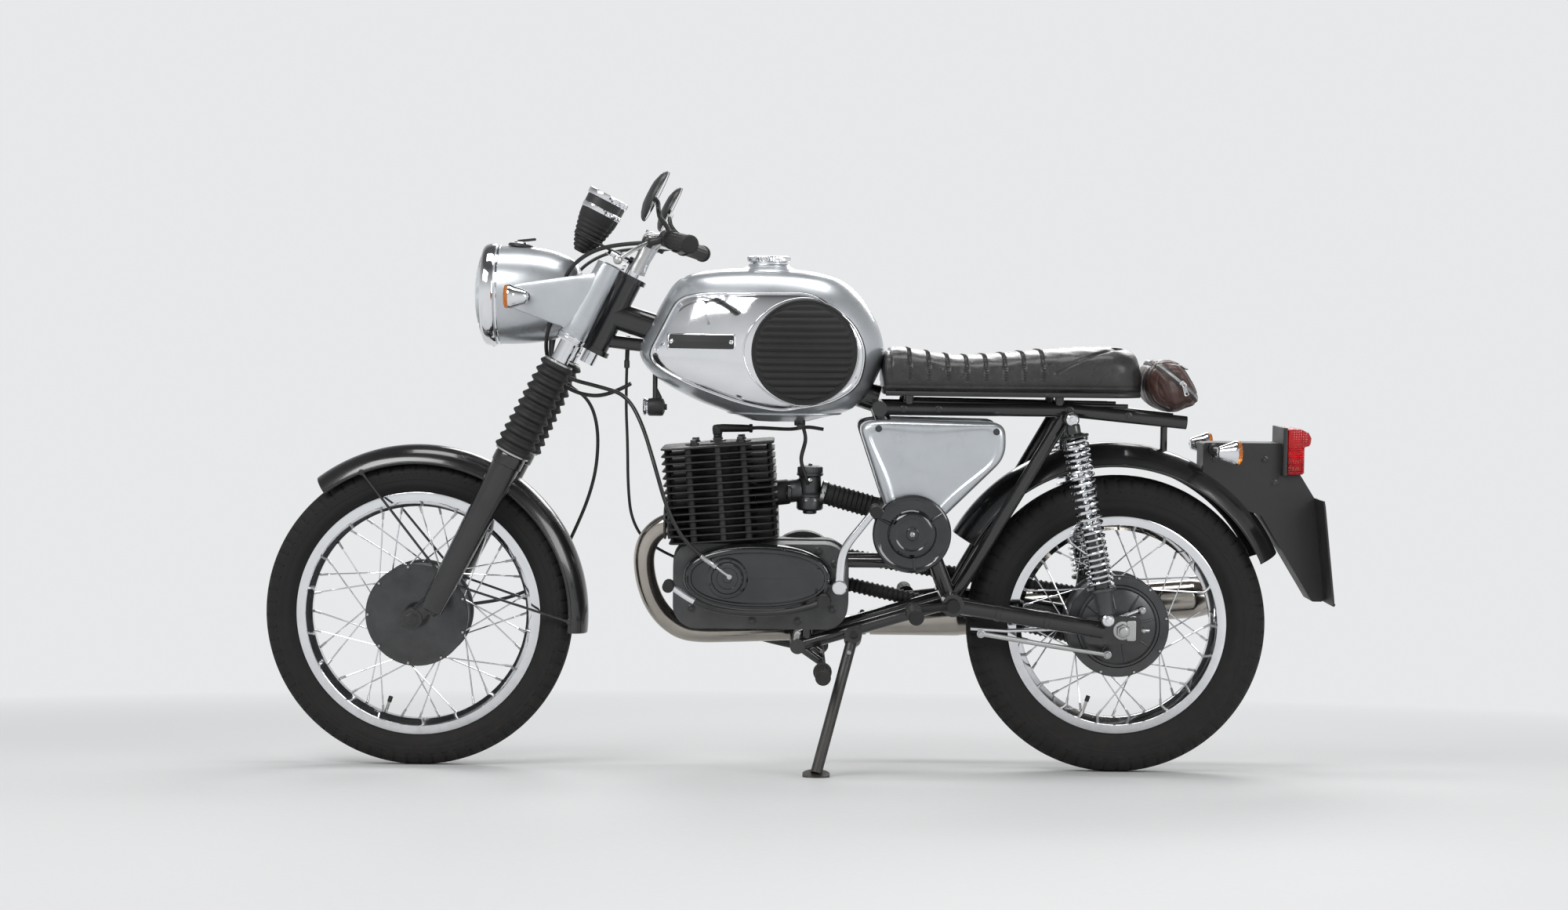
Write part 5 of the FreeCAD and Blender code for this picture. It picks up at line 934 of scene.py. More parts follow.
def instruments():
    cups, faces = Shape(), Shape()
    for sign in (-1, 1):
        base = steer(DIAL_LEAD, sign * DIAL_HALF, DIAL_RISE)
        cups.lathe([(0, -33), (9, -33), (12, -31), (12.6, -27), (16, -25), (17, -22), (16, -19), (19.6, -17),
                    (20.6, -14), (19.6, -11), (22.6, -9), (23.4, -6), (22.4, -3), (25.4, -1), (26.2, 2),
                    (25.2, 5), (28, 8), (28.6, 11), (27.6, 14), (30.2, 17), (30.8, 20), (30, 23), (32.2, 26),
                    (32.8, 29), (32.4, 32), (34, 35), (35.2, 48), (35.6, 52)], base, UP, 72, 1)
        cups.lathe([(35.6, 52), (37, 53), (37.2, 55), (37.2, 60), (37, 62), (35.8, 63)], base, UP, 72, 2)
        cups.lathe([(35.8, 63), (36, 78), (36, 79)], base, UP, 64)
        cups.lathe([(36, 79), (38, 80), (38.5, 82), (38.5, 89), (37.6, 91.4), (35.8, 92), (34.2, 91.4),
                    (33.6, 88), (33.6, 84)], base, UP, 80, 2)
        faces.lathe([(33.6, 84), (0.01, 84)], base, UP, 48)
        faces.lathe([(0, 90), (4.4, 89.6), (5, 88), (5, 84.2)], base, UP, 24)
        face = base + UP * 84.3
        for k in range(33):
            way = dial_way(k / 32)
            cross = UP.cross(way)
            long = 25.0 if k % 4 == 0 else 28.0
            half = 0.6 if k % 4 == 0 else 0.3
            faces.add([face + way * long - cross * half, face + way * long + cross * half,
                       face + way * 31 + cross * half, face + way * 31 - cross * half], [(0, 1, 2, 3)], 1)
        way = dial_way(0)
        cross = UP.cross(way)
        hand = face + UP * 2.4
        faces.add([hand - way * 8 - cross * 1.1, hand - way * 8 + cross * 1.1, hand + way * 26 + cross * 0.4,
                   hand + way * 26 - cross * 0.4], [(0, 1, 2, 3)], 2)
        foot = steer(LEG_BACK, sign * DIAL_HALF, 815)
        cups.tube([steer(LEG_BACK, sign * DIAL_HALF, 808), foot], 6, 20, 1)
        cups.bolt(steer(LEG_BACK, sign * DIAL_HALF, DIAL_RISE), UP, 5, 4, 2)
    outline = round_corners([(DIAL_LEAD + 25, -69), (DIAL_LEAD + 25, 69), (LEG_BACK, 69), (-66, 26),
                             (-66, -26), (LEG_BACK, -69)], 16, 5)
    cups.plate(even(outline, 80), 816, 820.5, 1, 1.0, (FRONT, UP, AHEAD, Y))
    cups.make("dial_cups", "steering", [satin, rubber, chrome], "instruments", "black_paint", sharp=30)
    faces.make("dial_faces", "steering", [plastic, dial_white, dial_red], (), "black_paint", sharp=20)
    glass_top, numerals = Shape(), Shape()
    for sign in (-1, 1):
        base = steer(DIAL_LEAD, sign * DIAL_HALF, DIAL_RISE)
        glass_top.lathe([(33.8, 89.4), (20, 90.4), (8, 90.8), (0.01, 90.9)], base, UP, 48)
        for k, text in enumerate(("0", "20", "40", "60", "80", "100", "120", "140", "160") if sign < 0
                                 else ("0", "1", "2", "3", "4", "5", "6", "7", "8")):
            way = dial_way(k / 8)
            spot = base + UP * 84.5 + way * 20.5
            data = bpy.data.curves.new("numeral", "FONT")
            data.body = text
            data.size = 0.0058
            data.align_x, data.align_y = "CENTER", "CENTER"
            source = link("numeral", data)
            bpy.context.view_layer.update()
            mesh = bpy.data.meshes.new_from_object(source)
            bpy.data.objects.remove(source)
            # The rider reads the dials from behind, so the figures' tops point ahead.
            facing = Matrix((Y, AHEAD, UP)).transposed()
            verts = [spot + facing @ (v.co * 1000) for v in mesh.vertices]
            numerals.add(verts, [tuple(p.vertices) for p in mesh.polygons])
    numerals.make("dial_numerals", "steering", dial_white, (), "black_paint", recalc=False)
    glass_top.make("dial_glasses", "steering", glass, (), "lens")


dial_white = finish("dial_white", (0.75, 0.75, 0.72), 0.5, 0.0, vary=0.05, dirt=0)
dial_red = finish("dial_red", (0.6, 0.03, 0.02), 0.45, 0.0, vary=0.05, dirt=0)


def bars():
    ends = [steer(-157, -335, 898), steer(-112, -205, 890), steer(-72, -110, 872), steer(-72, 110, 872),
            steer(-112, 205, 890), steer(-157, 335, 898)]
    shape = Shape()
    line = []
    for i, p in enumerate(ends):
        if 0 < i < 5:
            back = (ends[i - 1] - p).normalized() * (14 if i in (1, 4) else 12)
            ahead = (ends[i + 1] - p).normalized() * (14 if i in (1, 4) else 12)
            line += [p + back, p + back * 0.33 + ahead * 0.2, p + ahead * 0.33 + back * 0.2, p + ahead]
        else:
            line.append(p)
    shape.tube(line, 11, 28)
    shape.make("bar", "steering", chrome, "handlebar", "chrome")
    grips, levers, mirrors = Shape(), Shape(), Shape()
    for sign, end, bend in ((-1, ends[0], ends[1]), (1, ends[-1], ends[-2])):
        inward = (bend - end).normalized()
        out = Y * sign

        def ribs(r, a, angle):
            return (r - (0.55 if int(angle / pi * 14) % 2 else 0) if 12 < a < 106 else r), a

        line = [(0, -3.6), (9, -3.8), (15, -3), (17.4, 0), (17.6, 6), (16.2, 8), (15.4, 10)]
        line += [(15.7 + 0.5 * (k % 2), 12 + k * 4) for k in range(24)]
        line += [(15.8, 110), (18.6, 112), (18.8, 117), (17, 118), (11.2, 118)]
        grips.lathe(line, end, inward, 84, change=ribs)
        start = end + inward * 122
        root = start + inward * 18
        pivot = root + AHEAD * 33 - out * 7 - UP * 24
        knee = pivot + AHEAD * 16 + out * 44 - UP * 28
        tip = knee + AHEAD * 10 + out * 82 - UP * 26
        levers.lathe([(11.2, 0), (15.6, 0), (17, 1.4), (17, 34.6), (15.6, 36), (11.2, 36)], start, inward, 40)
        levers.tube([root + AHEAD * 8, root.lerp(pivot, 0.5), pivot], [12, 9.5, 11], 20, flat=0.8)
        levers.lathe(both([(0, -9), (9, -9), (11, -7.6), (11.6, -4)]), pivot, UP, 32)
        levers.screw(pivot + UP * 9, UP, 5, 1)
        levers.bolt(root + UP * 15 - AHEAD * 6, UP, 4, 4, 1)
        blade = smooth([pivot + out * 6 - UP * 3, pivot.lerp(knee, 0.62), knee.lerp(tip, 0.22),
                        tip - (tip - knee) * 0.08], 5)
        blade = [pivot + out * 2] + [Vector(p) for p in blade]
        levers.tube(blade, [6.0] * 3 + [5.2] * (len(blade) - 3), 16, 1, flat=0.62, flat_way=AHEAD)
        rounds = [radians(turn) for turn in range(-70, 80, 20)]
        ball = [(0.01, -8.9)] + [(8.9 * cos(a), 8.9 * sin(a)) for a in rounds] + [(0.01, 8.9)]
        levers.lathe(ball, tip, tip - knee, 28, 1)
        barrel = pivot - out * 13 + AHEAD * 4
        levers.tube([barrel, barrel - out * 18 + AHEAD * 7], [5.4, 4.2], 18, 1)
        elbow = root + Z * 48 - X * 20
        head = root + Z * 76 + out * 65 - X * 20
        mirrors.tube(smooth([root + Z * 12, root + Z * 24 - X * 5, root + Z * 40 - X * 17,
                             elbow + Z * 4 + out * 3, elbow + Z * 10 + out * 16, head - out * 14 - Z * 8,
                             head - AHEAD * -12], 5), 4.6, 16)
        face = -AHEAD
        mirrors.lathe([(49.5, 0.4), (51, 0.6), (52, -0.6), (51.6, -4), (48, -8.2), (40, -12.5), (26, -16.8),
                       (12, -17.8), (0.01, -18)], head, face, 72)
        mirrors.lathe([(49.8, 0.1), (49, -0.2), (0.01, -0.2)], head, face, 64, 1)
    grips.make("grip_rubbers", "steering", rubber, "grips", "rubber", sharp=30)
    levers.make("lever_sets", "steering", [satin, alloy], "hand_levers", "alloy")
    mirrors.make("mirror_pair", "steering", [satin, mirror_glass], "mirrors", "black_paint")


def guard_skin(shape, centre, radius, half, drop, start, end, seg, bead=2.6):
    """A mudguard's arched skin, its rolled edges and its rolled ends."""
    skirt = radius - drop
    arc_radius = (half ** 2 + drop ** 2) / (2 * drop)
    section = []
    for k in range(25):
        side = -half + 2 * half * k / 24
        section.append((side, radius - arc_radius + sqrt(max(0, arc_radius ** 2 - side ** 2))))
    rows = []
    angles = [radians(start + (end - start) * k / seg) for k in range(seg + 1)]

    def spot(side, reach, angle):
        return centre + Y * side + around(angle) * reach

    for angle in angles:
        outer_line = [spot(side, reach, angle) for side, reach in section]
        inner_line = [spot(side * 0.97, reach - 2.6, angle) for side, reach in reversed(section)]
        rows.append(outer_line + inner_line)
    shape.grid(rows)
    shape.close(rows)
    for sign in (-1, 1):
        shape.tube([spot(sign * (half - 1.8), skirt + 1.0, angle) for angle in angles], bead, 10)
    for angle in (angles[0], angles[-1]):
        shape.tube([spot(side * 0.97, reach - 2.0, angle) for side, reach in section], bead * 0.8, 10)
    return spot, skirt


def front_guard():
    shape = Shape()
    spot, skirt = guard_skin(shape, FRONT, 337.0, 47.0, 34.0, -6.0, 127.0, 110)
    for sign in (-1, 1):
        foot = steer(LEG_BACK, sign * 69.6, 90)
        for angle in (-2.0, 111.0):
            tip = spot(sign * 45.5, skirt, radians(angle))
            shape.tube([tip + (tip - foot).normalized() * 4, tip, tip.lerp(foot, 0.06), tip.lerp(foot, 0.94),
                        foot], [4.0, 3.4, 2.6, 2.6, 3.4], 12)
            shape.bolt(tip + Y * sign * 2, Y * sign, 4.4, 3.4, 1)
        bridge = steer(LEG_BACK, sign * 41, skirt - 8)
        shape.tube([bridge, steer(LEG_BACK, sign * 65, skirt - 8)], 9.6, 20)
        shape.bolt(steer(LEG_BACK, sign * 46.5, skirt - 2) + AHEAD * 14, Y * sign, 4.4, 3.4, 1)
    shape.make("front_mudguard", "steering", [black, dark_bolt], "front_guard", "black_paint")


wheels()
fork()
headlamp()
indicator_pair("front_indicator", -497, 168, 937, -1, 106, "steering", "front_indicators")
instruments()
bars()
front_guard()


# Tank, with its chrome panels, ribbed knee pads, badge plates and cap
TANK = [tuple(p) for p in smooth(
    [(698 + 299 * a, -259 + 485 * b, -259 + 485 * c, 132 * d) for a, b, c, d in zip(
        (0, 0.06, 0.14, 0.28, 0.44, 0.62, 0.80, 0.92, 0.975, 1),
        (0.46, 0.35, 0.22, 0.07, 0, 0.045, 0.10, 0.155, 0.24, 0.36),
        (0.70, 0.84, 0.915, 0.968, 1, 0.978, 0.915, 0.835, 0.74, 0.64),
        (0.42, 0.66, 0.84, 0.97, 1, 0.97, 0.86, 0.68, 0.50, 0.30))], 24)]
TANK_LEVELS = [p[0] for p in TANK]


def tank_side(x, z):
    """How far the tank's side stands out at a place of its side view."""
    level = bisect.bisect_left(TANK_LEVELS, z)
    level = min(max(level, 1), len(TANK) - 1)
    low, high = TANK[level - 1], TANK[level]
    share = min(1.0, max(0.0, (z - low[0]) / (high[0] - low[0])))
    front, rear, half = (low[k] + (high[k] - low[k]) * share for k in (1, 2, 3))
    share = (x - (front + rear) / 2) / ((rear - front) / 2)
    c = copysign(min(1.0, abs(share)) ** 1.25, share)
    s = sqrt(max(0.0, 1 - c * c))
    return half * s ** 0.8 * (1 - 0.2 * max(0.0, -c))


def tank_ring(level, count, more=0.0):
    """The tank's outline at one level, seen from above."""
    z, front, rear, half = level
    middle, reach = (front + rear) / 2, (rear - front) / 2
    return [V(middle + (reach + more) * swell_out(cos(angle), 0.8),
              (half + more) * swell_out(sin(angle), 0.8) * (1 - 0.2 * max(0, -cos(angle))), z)
            for angle in round_turn(count)]


def on_tank(x, z, offset, sign):
    """A place off the tank's side, along its normal."""
    gap = 2.0
    here = tank_side(x, z)
    slope_x = (tank_side(x + gap, z) - tank_side(x - gap, z)) / (2 * gap)
    slope_z = (tank_side(x, z + gap) - tank_side(x, z - gap)) / (2 * gap)
    normal = V(-slope_x, 1, -slope_z).normalized()
    place = V(x, here, z) + normal * offset
    return V(place.x, sign * place.y, place.z)


def tank():
    shape = Shape()
    rows = [tank_ring(level, 128) for level in TANK[::2]]
    for end, way in ((rows[0], -1), (rows[-1], 1)):
        middle = sum(end, Vector()) / 128
        more = [[middle + (p - middle) * share + Z * way * rise for p in end]
                for share, rise in ((0.9, 0.8), (0.6, 1.6), (0.3, 1.9), (0.001, 2.0))]
        rows = more[::-1] + rows if way < 0 else rows + more
    shape.grid(rows)
    # A pressed seam runs round the underside, and the filler neck stands on a flared collar.
    shape.tube(tank_ring(TANK[int(24 * 0.9)], 96, 0.5), 2.2, 8, closed=True)
    cap = V(-4, 0, 0)
    shape.lathe([(62, 990), (58, 994.5), (51, 998), (45, 1001), (41, 1004), (40, 1007), (38, 1007)], cap, Z,
                72)
    # The fuel tap hangs under the tank's left side.
    shape.rod((60, -44, 706), (60, -44, 690), 11, 24, 1)
    shape.rod((60, -44, 692), (60, -60, 688), 6, 18, 1)
    shape.make("tank_skin", "chassis", [silver, satin], "tank", "silver_paint", sharp=48)
    neck = Shape()

    def flutes(r, a, angle):
        return (r - 0.9 * (0.5 + 0.5 * cos(angle * 48)) if 1012.8 < a < 1020.5 and r > 40 else r), a

    neck.lathe([(36, 1000), (38, 1003), (39.6, 1004.4), (39.6, 1006.2), (38.2, 1007.4), (38.2, 1010),
                (41.6, 1011.2), (42.8, 1012.4), (43, 1013), (43, 1016), (43, 1020), (42, 1021.6),
                (39.5, 1022.8), (30, 1023.0), (28, 1022.2), (12, 1022.6), (0.01, 1022.8)], cap, Z, 192,
               change=flutes)
    neck.make("tank_cap", "chassis", chrome, (), "chrome", sharp=34)
    panel_shares = zip((0, 0.14, 0.24, 0.75, 0.94, 1, 0.97, 0.85, 0.61, 0.42, 0.22, 0.08),
                       (0.43, 0.93, 0.97, 0.98, 0.74, 0.50, 0.22, 0.08, 0, 0.07, 0.20, 0.32))
    outline = [(-238 + 424 * a, 721 + 232 * b) for a, b in panel_shares]
    outline = even(round_corners(outline, 26, 6), 200)
    # The long runs bow a little, as pressed sheet does.
    for _ in range(3):
        outline = (np.roll(outline, 1, 0) + 2 * outline + np.roll(outline, -1, 0)) / 4
    middle = outline.mean(0)
    panels, pads, badges = Shape(), Shape(), Shape()
    for sign in (-1, 1):
        rows = []
        for share, lift in ((1.0, -0.6), (1.0, 1.0), (0.994, 2.2), (0.985, 2.0), (0.975, 1.7), (0.96, 1.8),
                            (0.93, 2.0)) + tuple((0.93 * (1 - k / 26) + 0.001, 2.0) for k in range(1, 27)):
            rows.append([on_tank(*(middle + (p - middle) * share), lift, sign) for p in outline])
        panels.grid(rows)
        bead = [on_tank(*(middle + (p - middle) * 0.996), 2.4, sign) for p in outline]
        panels.tube(bead, 2.5, 12, closed=True)
        # A thin satin black tube just outside the bead is put where the panel's recessed edge only casts a
        # shadow line: painted shade.
        shadow_line_tube = [on_tank(*(middle + (p - middle) * 1.016), 0.6, sign) for p in outline]
        panels.tube(shadow_line_tube, 1.8, 10, 1, closed=True)
        # Knee pad: horizontal ribs inside a rolled edge.
        rows = []
        half_x, half_z = 101.0, 99.0
        for i in range(157):
            v = -1 + 2 * i / 156
            wide = sqrt(max(0.0, 1 - v * v)) * half_x
            line = []
            for j in range(57):
                u = -1 + 2 * j / 56
                u = sin(u * pi / 2)
                x, z = 66 + u * wide, 836 + v * half_z
                inside = 1 - sqrt((u * wide / half_x) ** 2 + v * v)
                edge = min(1.0, max(0.0, inside / 0.035))
                lift = 2.2 + 6.0 * sqrt(max(0.0, 1 - (1 - edge) ** 2))
                if inside > 0.085:
                    wave = 0.5 + 0.5 * cos((v + 1) * pi * 15)
                    lift += 3.2 * min(1.0, (inside - 0.085) / 0.03) * (wave ** 0.6) - 1.6
                line.append(on_tank(x, z, lift, sign))
            rows.append(line)
        pads.grid(rows, wrap=False)
        ring = [on_tank(66 + 98 * cos(a), 836 + 96 * sin(a), 7.4, sign) for a in round_turn(120)]
        pads.tube(ring, 3.0, 12, closed=True)
        # A chrome bead runs round the pad and draws out to a point towards the panel's front.
        bead = []
        for a in round_turn(120):
            draw = 1 + 0.10 * max(0.0, -cos(a)) ** 3
            bead.append(on_tank(66 + 106 * draw * cos(a), 836 + 103.5 * sin(a), 1.4, sign))
        panels.tube(bead, 1.7, 10, closed=True)
        # Blank badge plate with a raised border and a screw at each end.
        plate = even(slab(66, 15.5, 3, 3), 120)
        rows = []
        for share, lift in ((1.0, 1.5), (1.0, 5.0), (0.985, 5.6), (0.965, 5.6), (0.955, 4.2), (0.7, 4.2),
                            (0.4, 4.2), (0.001, 4.2)):
            line = []
            for p in plate:
                q = np.array([copysign(max(0, abs(p[0]) - (1 - share) * 66), p[0]),
                              copysign(max(0, abs(p[1]) - min((1 - share) * 66, 15.4)), p[1])])
                line.append(on_tank(-132 + q[0], 853 + q[1], lift, sign))
            rows.append(line)
        badges.grid(rows[:5])
        badges.grid(rows[4:], 1)
        for side in (-58, 58):
            spot, outer = on_tank(-132 + side, 853, 4.2, sign), on_tank(-132 + side, 853, 6, sign)
            badges.screw(spot, outer - spot, 4.6)
    panels.make("panel_skins", "chassis", [chrome, satin], "tank_panels", "chrome", sharp=60)
    pads.make("pad_ribs", "chassis", rubber, "knee_pads", "pad", sharp=50)
    badges.make("badge_plates", "chassis", [chrome, plastic], (), "chrome")


# Seat and bag: a shell is remeshed, swelled by cloth pressure, then creased and stitched.
def swell(obj, voxel, pinned, cap, pressure=4.0, frames=20):
    remesh = obj.modifiers.new("Remesh", "REMESH")
    remesh.mode = "VOXEL"
    remesh.voxel_size = voxel
    remesh.use_smooth_shade = True
    graph = bpy.context.evaluated_depsgraph_get()
    mesh = bpy.data.meshes.new_from_object(obj.evaluated_get(graph))
    obj.modifiers.clear()
    old = obj.data
    obj.data = mesh
    mesh.materials.clear()
    for mat in old.materials:
        mesh.materials.append(mat)
    rest = np.empty(len(mesh.vertices) * 3)
    mesh.vertices.foreach_get("co", rest)
    rest = rest.reshape(-1, 3)
    upright = np.array([tuple(ROW.inverted() @ Vector(p)) for p in rest])
    group = obj.vertex_groups.new(name="held")
    group.add([int(i) for i in np.nonzero(pinned(upright))[0]], 1.0, "REPLACE")
    cloth = obj.modifiers.new("Cloth", "CLOTH")
    settings = cloth.settings
    settings.quality = 6
    settings.mass = 0.4
    settings.tension_stiffness = settings.compression_stiffness = 12
    settings.shear_stiffness = 8
    settings.bending_stiffness = 0.6
    settings.use_pressure = True
    settings.uniform_pressure_force = pressure
    settings.vertex_group_mass = "held"
    settings.effector_weights.gravity = 0
    scene = bpy.context.scene
    cloth.point_cache.frame_start, cloth.point_cache.frame_end = 1, frames
    for number in range(1, frames + 1):
        scene.frame_set(number)
    graph = bpy.context.evaluated_depsgraph_get()
    result = obj.evaluated_get(graph).to_mesh()
    moved = np.empty(len(result.vertices) * 3)
    result.vertices.foreach_get("co", moved)
    moved = moved.reshape(-1, 3)
    obj.evaluated_get(graph).to_mesh_clear()
    obj.modifiers.clear()
    scene.frame_set(1)
    step = moved - rest
    length = np.linalg.norm(step, axis=1, keepdims=True)
    scale = np.where(length > cap, cap / np.maximum(length, 1e-9), 1.0)
    mesh.vertices.foreach_set("co", (rest + step * scale).ravel())
    obj.vertex_groups.clear()
    mesh.shade_smooth()


def subdivide(obj, levels=1):
    modifier = obj.modifiers.new("Subdivision", "SUBSURF")
    modifier.levels = modifier.render_levels = levels
    graph = bpy.context.evaluated_depsgraph_get()
    mesh = bpy.data.meshes.new_from_object(obj.evaluated_get(graph))
    obj.modifiers.clear()
    obj.data = mesh


def sculpt(obj, move):
    """Moves vertices along their normals, by millimetres worked out from their upright places."""
    mesh = obj.data
    back = ROW.inverted()
    moved = []
    for place, normal in [(vertex.co.copy(), vertex.normal.copy()) for vertex in mesh.vertices]:
        moved += list(place + normal * (move(back @ place, normal) / 1000))
    mesh.vertices.foreach_set("co", moved)
    mesh.update()


def surface(obj):
    """A search for the place and normal where a line from outside, along a way, first meets the piece."""
    mesh, back = obj.data, ROW.inverted()
    tree = BVHTree.FromPolygons([v.co.copy() for v in mesh.vertices],
                                [tuple(p.vertices) for p in mesh.polygons])

    def meet(target, way, reach):
        start = row(*(target + way * reach))
        place, normal = tree.ray_cast(start, (row(*target) - start).normalized())[:2]
        return place and (back @ place, (back.to_3x3() @ normal).normalized())

    return meet


CHANNELS = [233.5] + [272 + 36.8 * k for k in range(8)]


def seat_seam(x):
    """The height of the curved seam that parts the ribbed cover from the smooth hump."""
    share = min(1.0, max(0.0, (x - 556) / (705 - 556)))
    return 800 + 50 * sin(share * pi / 2) ** 0.9


def seat_rows():
    top = smooth([(222, 838), (236, 845), (262, 846), (364, 832), (450, 836), (536, 844), (620, 850),
                  (688, 851), (716, 842), (727, 815)], 8)
    xs = [p[0] for p in top]
    zs = [p[1] for p in top]
    rows = []
    for k in range(61):
        t = k / 60
        x = 223.5 + (726.5 - 223.5) * (0.5 - 0.5 * cos(pi * t)) ** 0.9
        high = float(np.interp(x, xs, zs))
        lead, tail = (x - 222) / 20, (728 - x) / 70
        half = 124 * (0.86 + 0.14 * min(1, (x - 222) / 190))
        half *= (1 - 0.35 * max(0, 1 - tail) ** 2.4) * (1 - 0.05 * max(0, 1 - lead) ** 2)
        high -= 10 * max(0, 1 - lead) ** 2 + 6 * max(0, 1 - tail) ** 2
        low = 753.0
        line = []
        for j in range(64):
            angle = 2 * pi * (j + 0.5) / 64
            c, s = cos(angle), sin(angle)
            wide = swell_out(c, 0.52)
            tall = copysign(abs(s) ** (0.62 if s > 0 else 0.35), s)
            mid = low + (high - low) * 0.45
            z = mid + (high - mid) * tall if s > 0 else mid + (mid - low) * tall
            y = half * wide * (1 - 0.10 * max(0, tall) ** 2)
            line.append(V(x, y, z))
        rows.append(line)
    return rows


def seat():
    rows = seat_rows()
    shape = Shape()
    shape.grid(rows)
    shape.close(rows)
    pad = shape.make("seat_pad", "chassis", seat_leather, "seat", "seat_cover", sharp=180)

    def held(points):
        near = np.full(len(points), False)
        for x in CHANNELS:
            near |= (np.abs(points[:, 0] - x) < 3.2) & (points[:, 2] > 783)
        line = np.array([seat_seam(x) for x in points[:, 0]])
        near |= (np.abs(points[:, 2] - line) < 3.4) & (points[:, 0] > 556)
        return near | (points[:, 2] < 768)

    swell(pad, 0.0055, held, 0.0034)
    subdivide(pad)

    def creases(place, normal):
        depth = 0.0
        if place.z > 781 and place.x < seat_end(place):
            for x in CHANNELS:
                off = abs(place.x - x)
                if off < 13:
                    groove = 2.7 * exp(-(off / 2.0) ** 2) * min(1, (place.z - 781) / 10)
                    depth -= groove - 0.6 * exp(-((off - 6.5) / 3.6) ** 2)
        if place.x > 552:
            off = abs(place.z - seat_seam(place.x))
            if off < 10 and abs(place.y) > 60:
                depth -= 4.0 * exp(-(off / 2.2) ** 2)
        if 768 < place.z < 778:
            depth -= 1.6 * exp(-((place.z - 773) / 2.0) ** 2)
        return depth + 0.5 * sin(place.x * 0.11 + place.y * 0.07) * sin(place.z * 0.13 + place.y * 0.05)

    sculpt(pad, creases)
    stitches(pad)
    trim = Shape()
    for sign in (-1, 1):
        path = [V(x, sign * (124.5 * (0.86 + 0.14 * min(1, (x - 222) / 190))
                             * (1 - 0.35 * max(0, 1 - (728 - x) / 70) ** 2.4) + 1.0), 757.5)
                for x in np.linspace(226, 722, 60)]
        trim.tube(path, 4.6, 12, flat=0.42, flat_way=Y)
        for x in (262, 400, 540, 668):
            near = min(path, key=lambda p: abs(p.x - x))
            trim.screw(near + Y * sign * 1.6, Y * sign, 3.0, 1)
    trim.make("seat_trim", "chassis", [plastic, dark_bolt], (), "seat_cover")


def seat_end(place):
    """Where the ribbed part of the cover stops, for a height."""
    share = min(1.0, max(0.0, (place.z - 800) / 50))
    return 556 + (705 - 556) * asin(share ** (1 / 0.9)) * 2 / pi + 6 if place.z > 800 else 562.0


def stitches(pad):
    """Crossed threads lie along both sides of every channel."""
    meet = surface(pad)
    shape = Shape()

    def drop(x, angle):
        return meet(V(x, 0, 780), V(0, cos(angle), sin(angle)), 260)

    for x in CHANNELS[1:]:
        for k in range(74):
            angle = radians(3 + 174 * k / 73)
            for lean in (-1, 1):
                a, b = drop(x - 4.2 * lean, angle - 0.009), drop(x + 4.2 * lean, angle + 0.009)
                if not a or not b:
                    continue
                (start, up), (end, up_end) = a, b
                points = [start - up * 0.3, start.lerp(end, 0.2) + up * 0.55, start.lerp(end, 0.5) + up * 0.9,
                          start.lerp(end, 0.8) + up_end * 0.55, end - up_end * 0.3]
                shape.tube(points, 0.55, 4, caps=False)
    shape.make("seat_threads", "chassis", thread, (), "seat_cover", sharp=180, recalc=False)


BAG_ANGLES = [-180, -150, -120, -90, -60, -42, -30, -12, 3, 23, 45, 75, 106, 125, 150, 180]
BAG_REACH = [53, 51, 49, 51, 50, 57, 59, 53, 45, 40, 41, 49, 55, 61, 58, 53]


def bag_radius(angle):
    """The bag's section: it leans back, with its mouth on the face that slopes down to the rear."""
    return float(np.interp((degrees(angle) + 180) % 360 - 180, BAG_ANGLES, BAG_REACH))


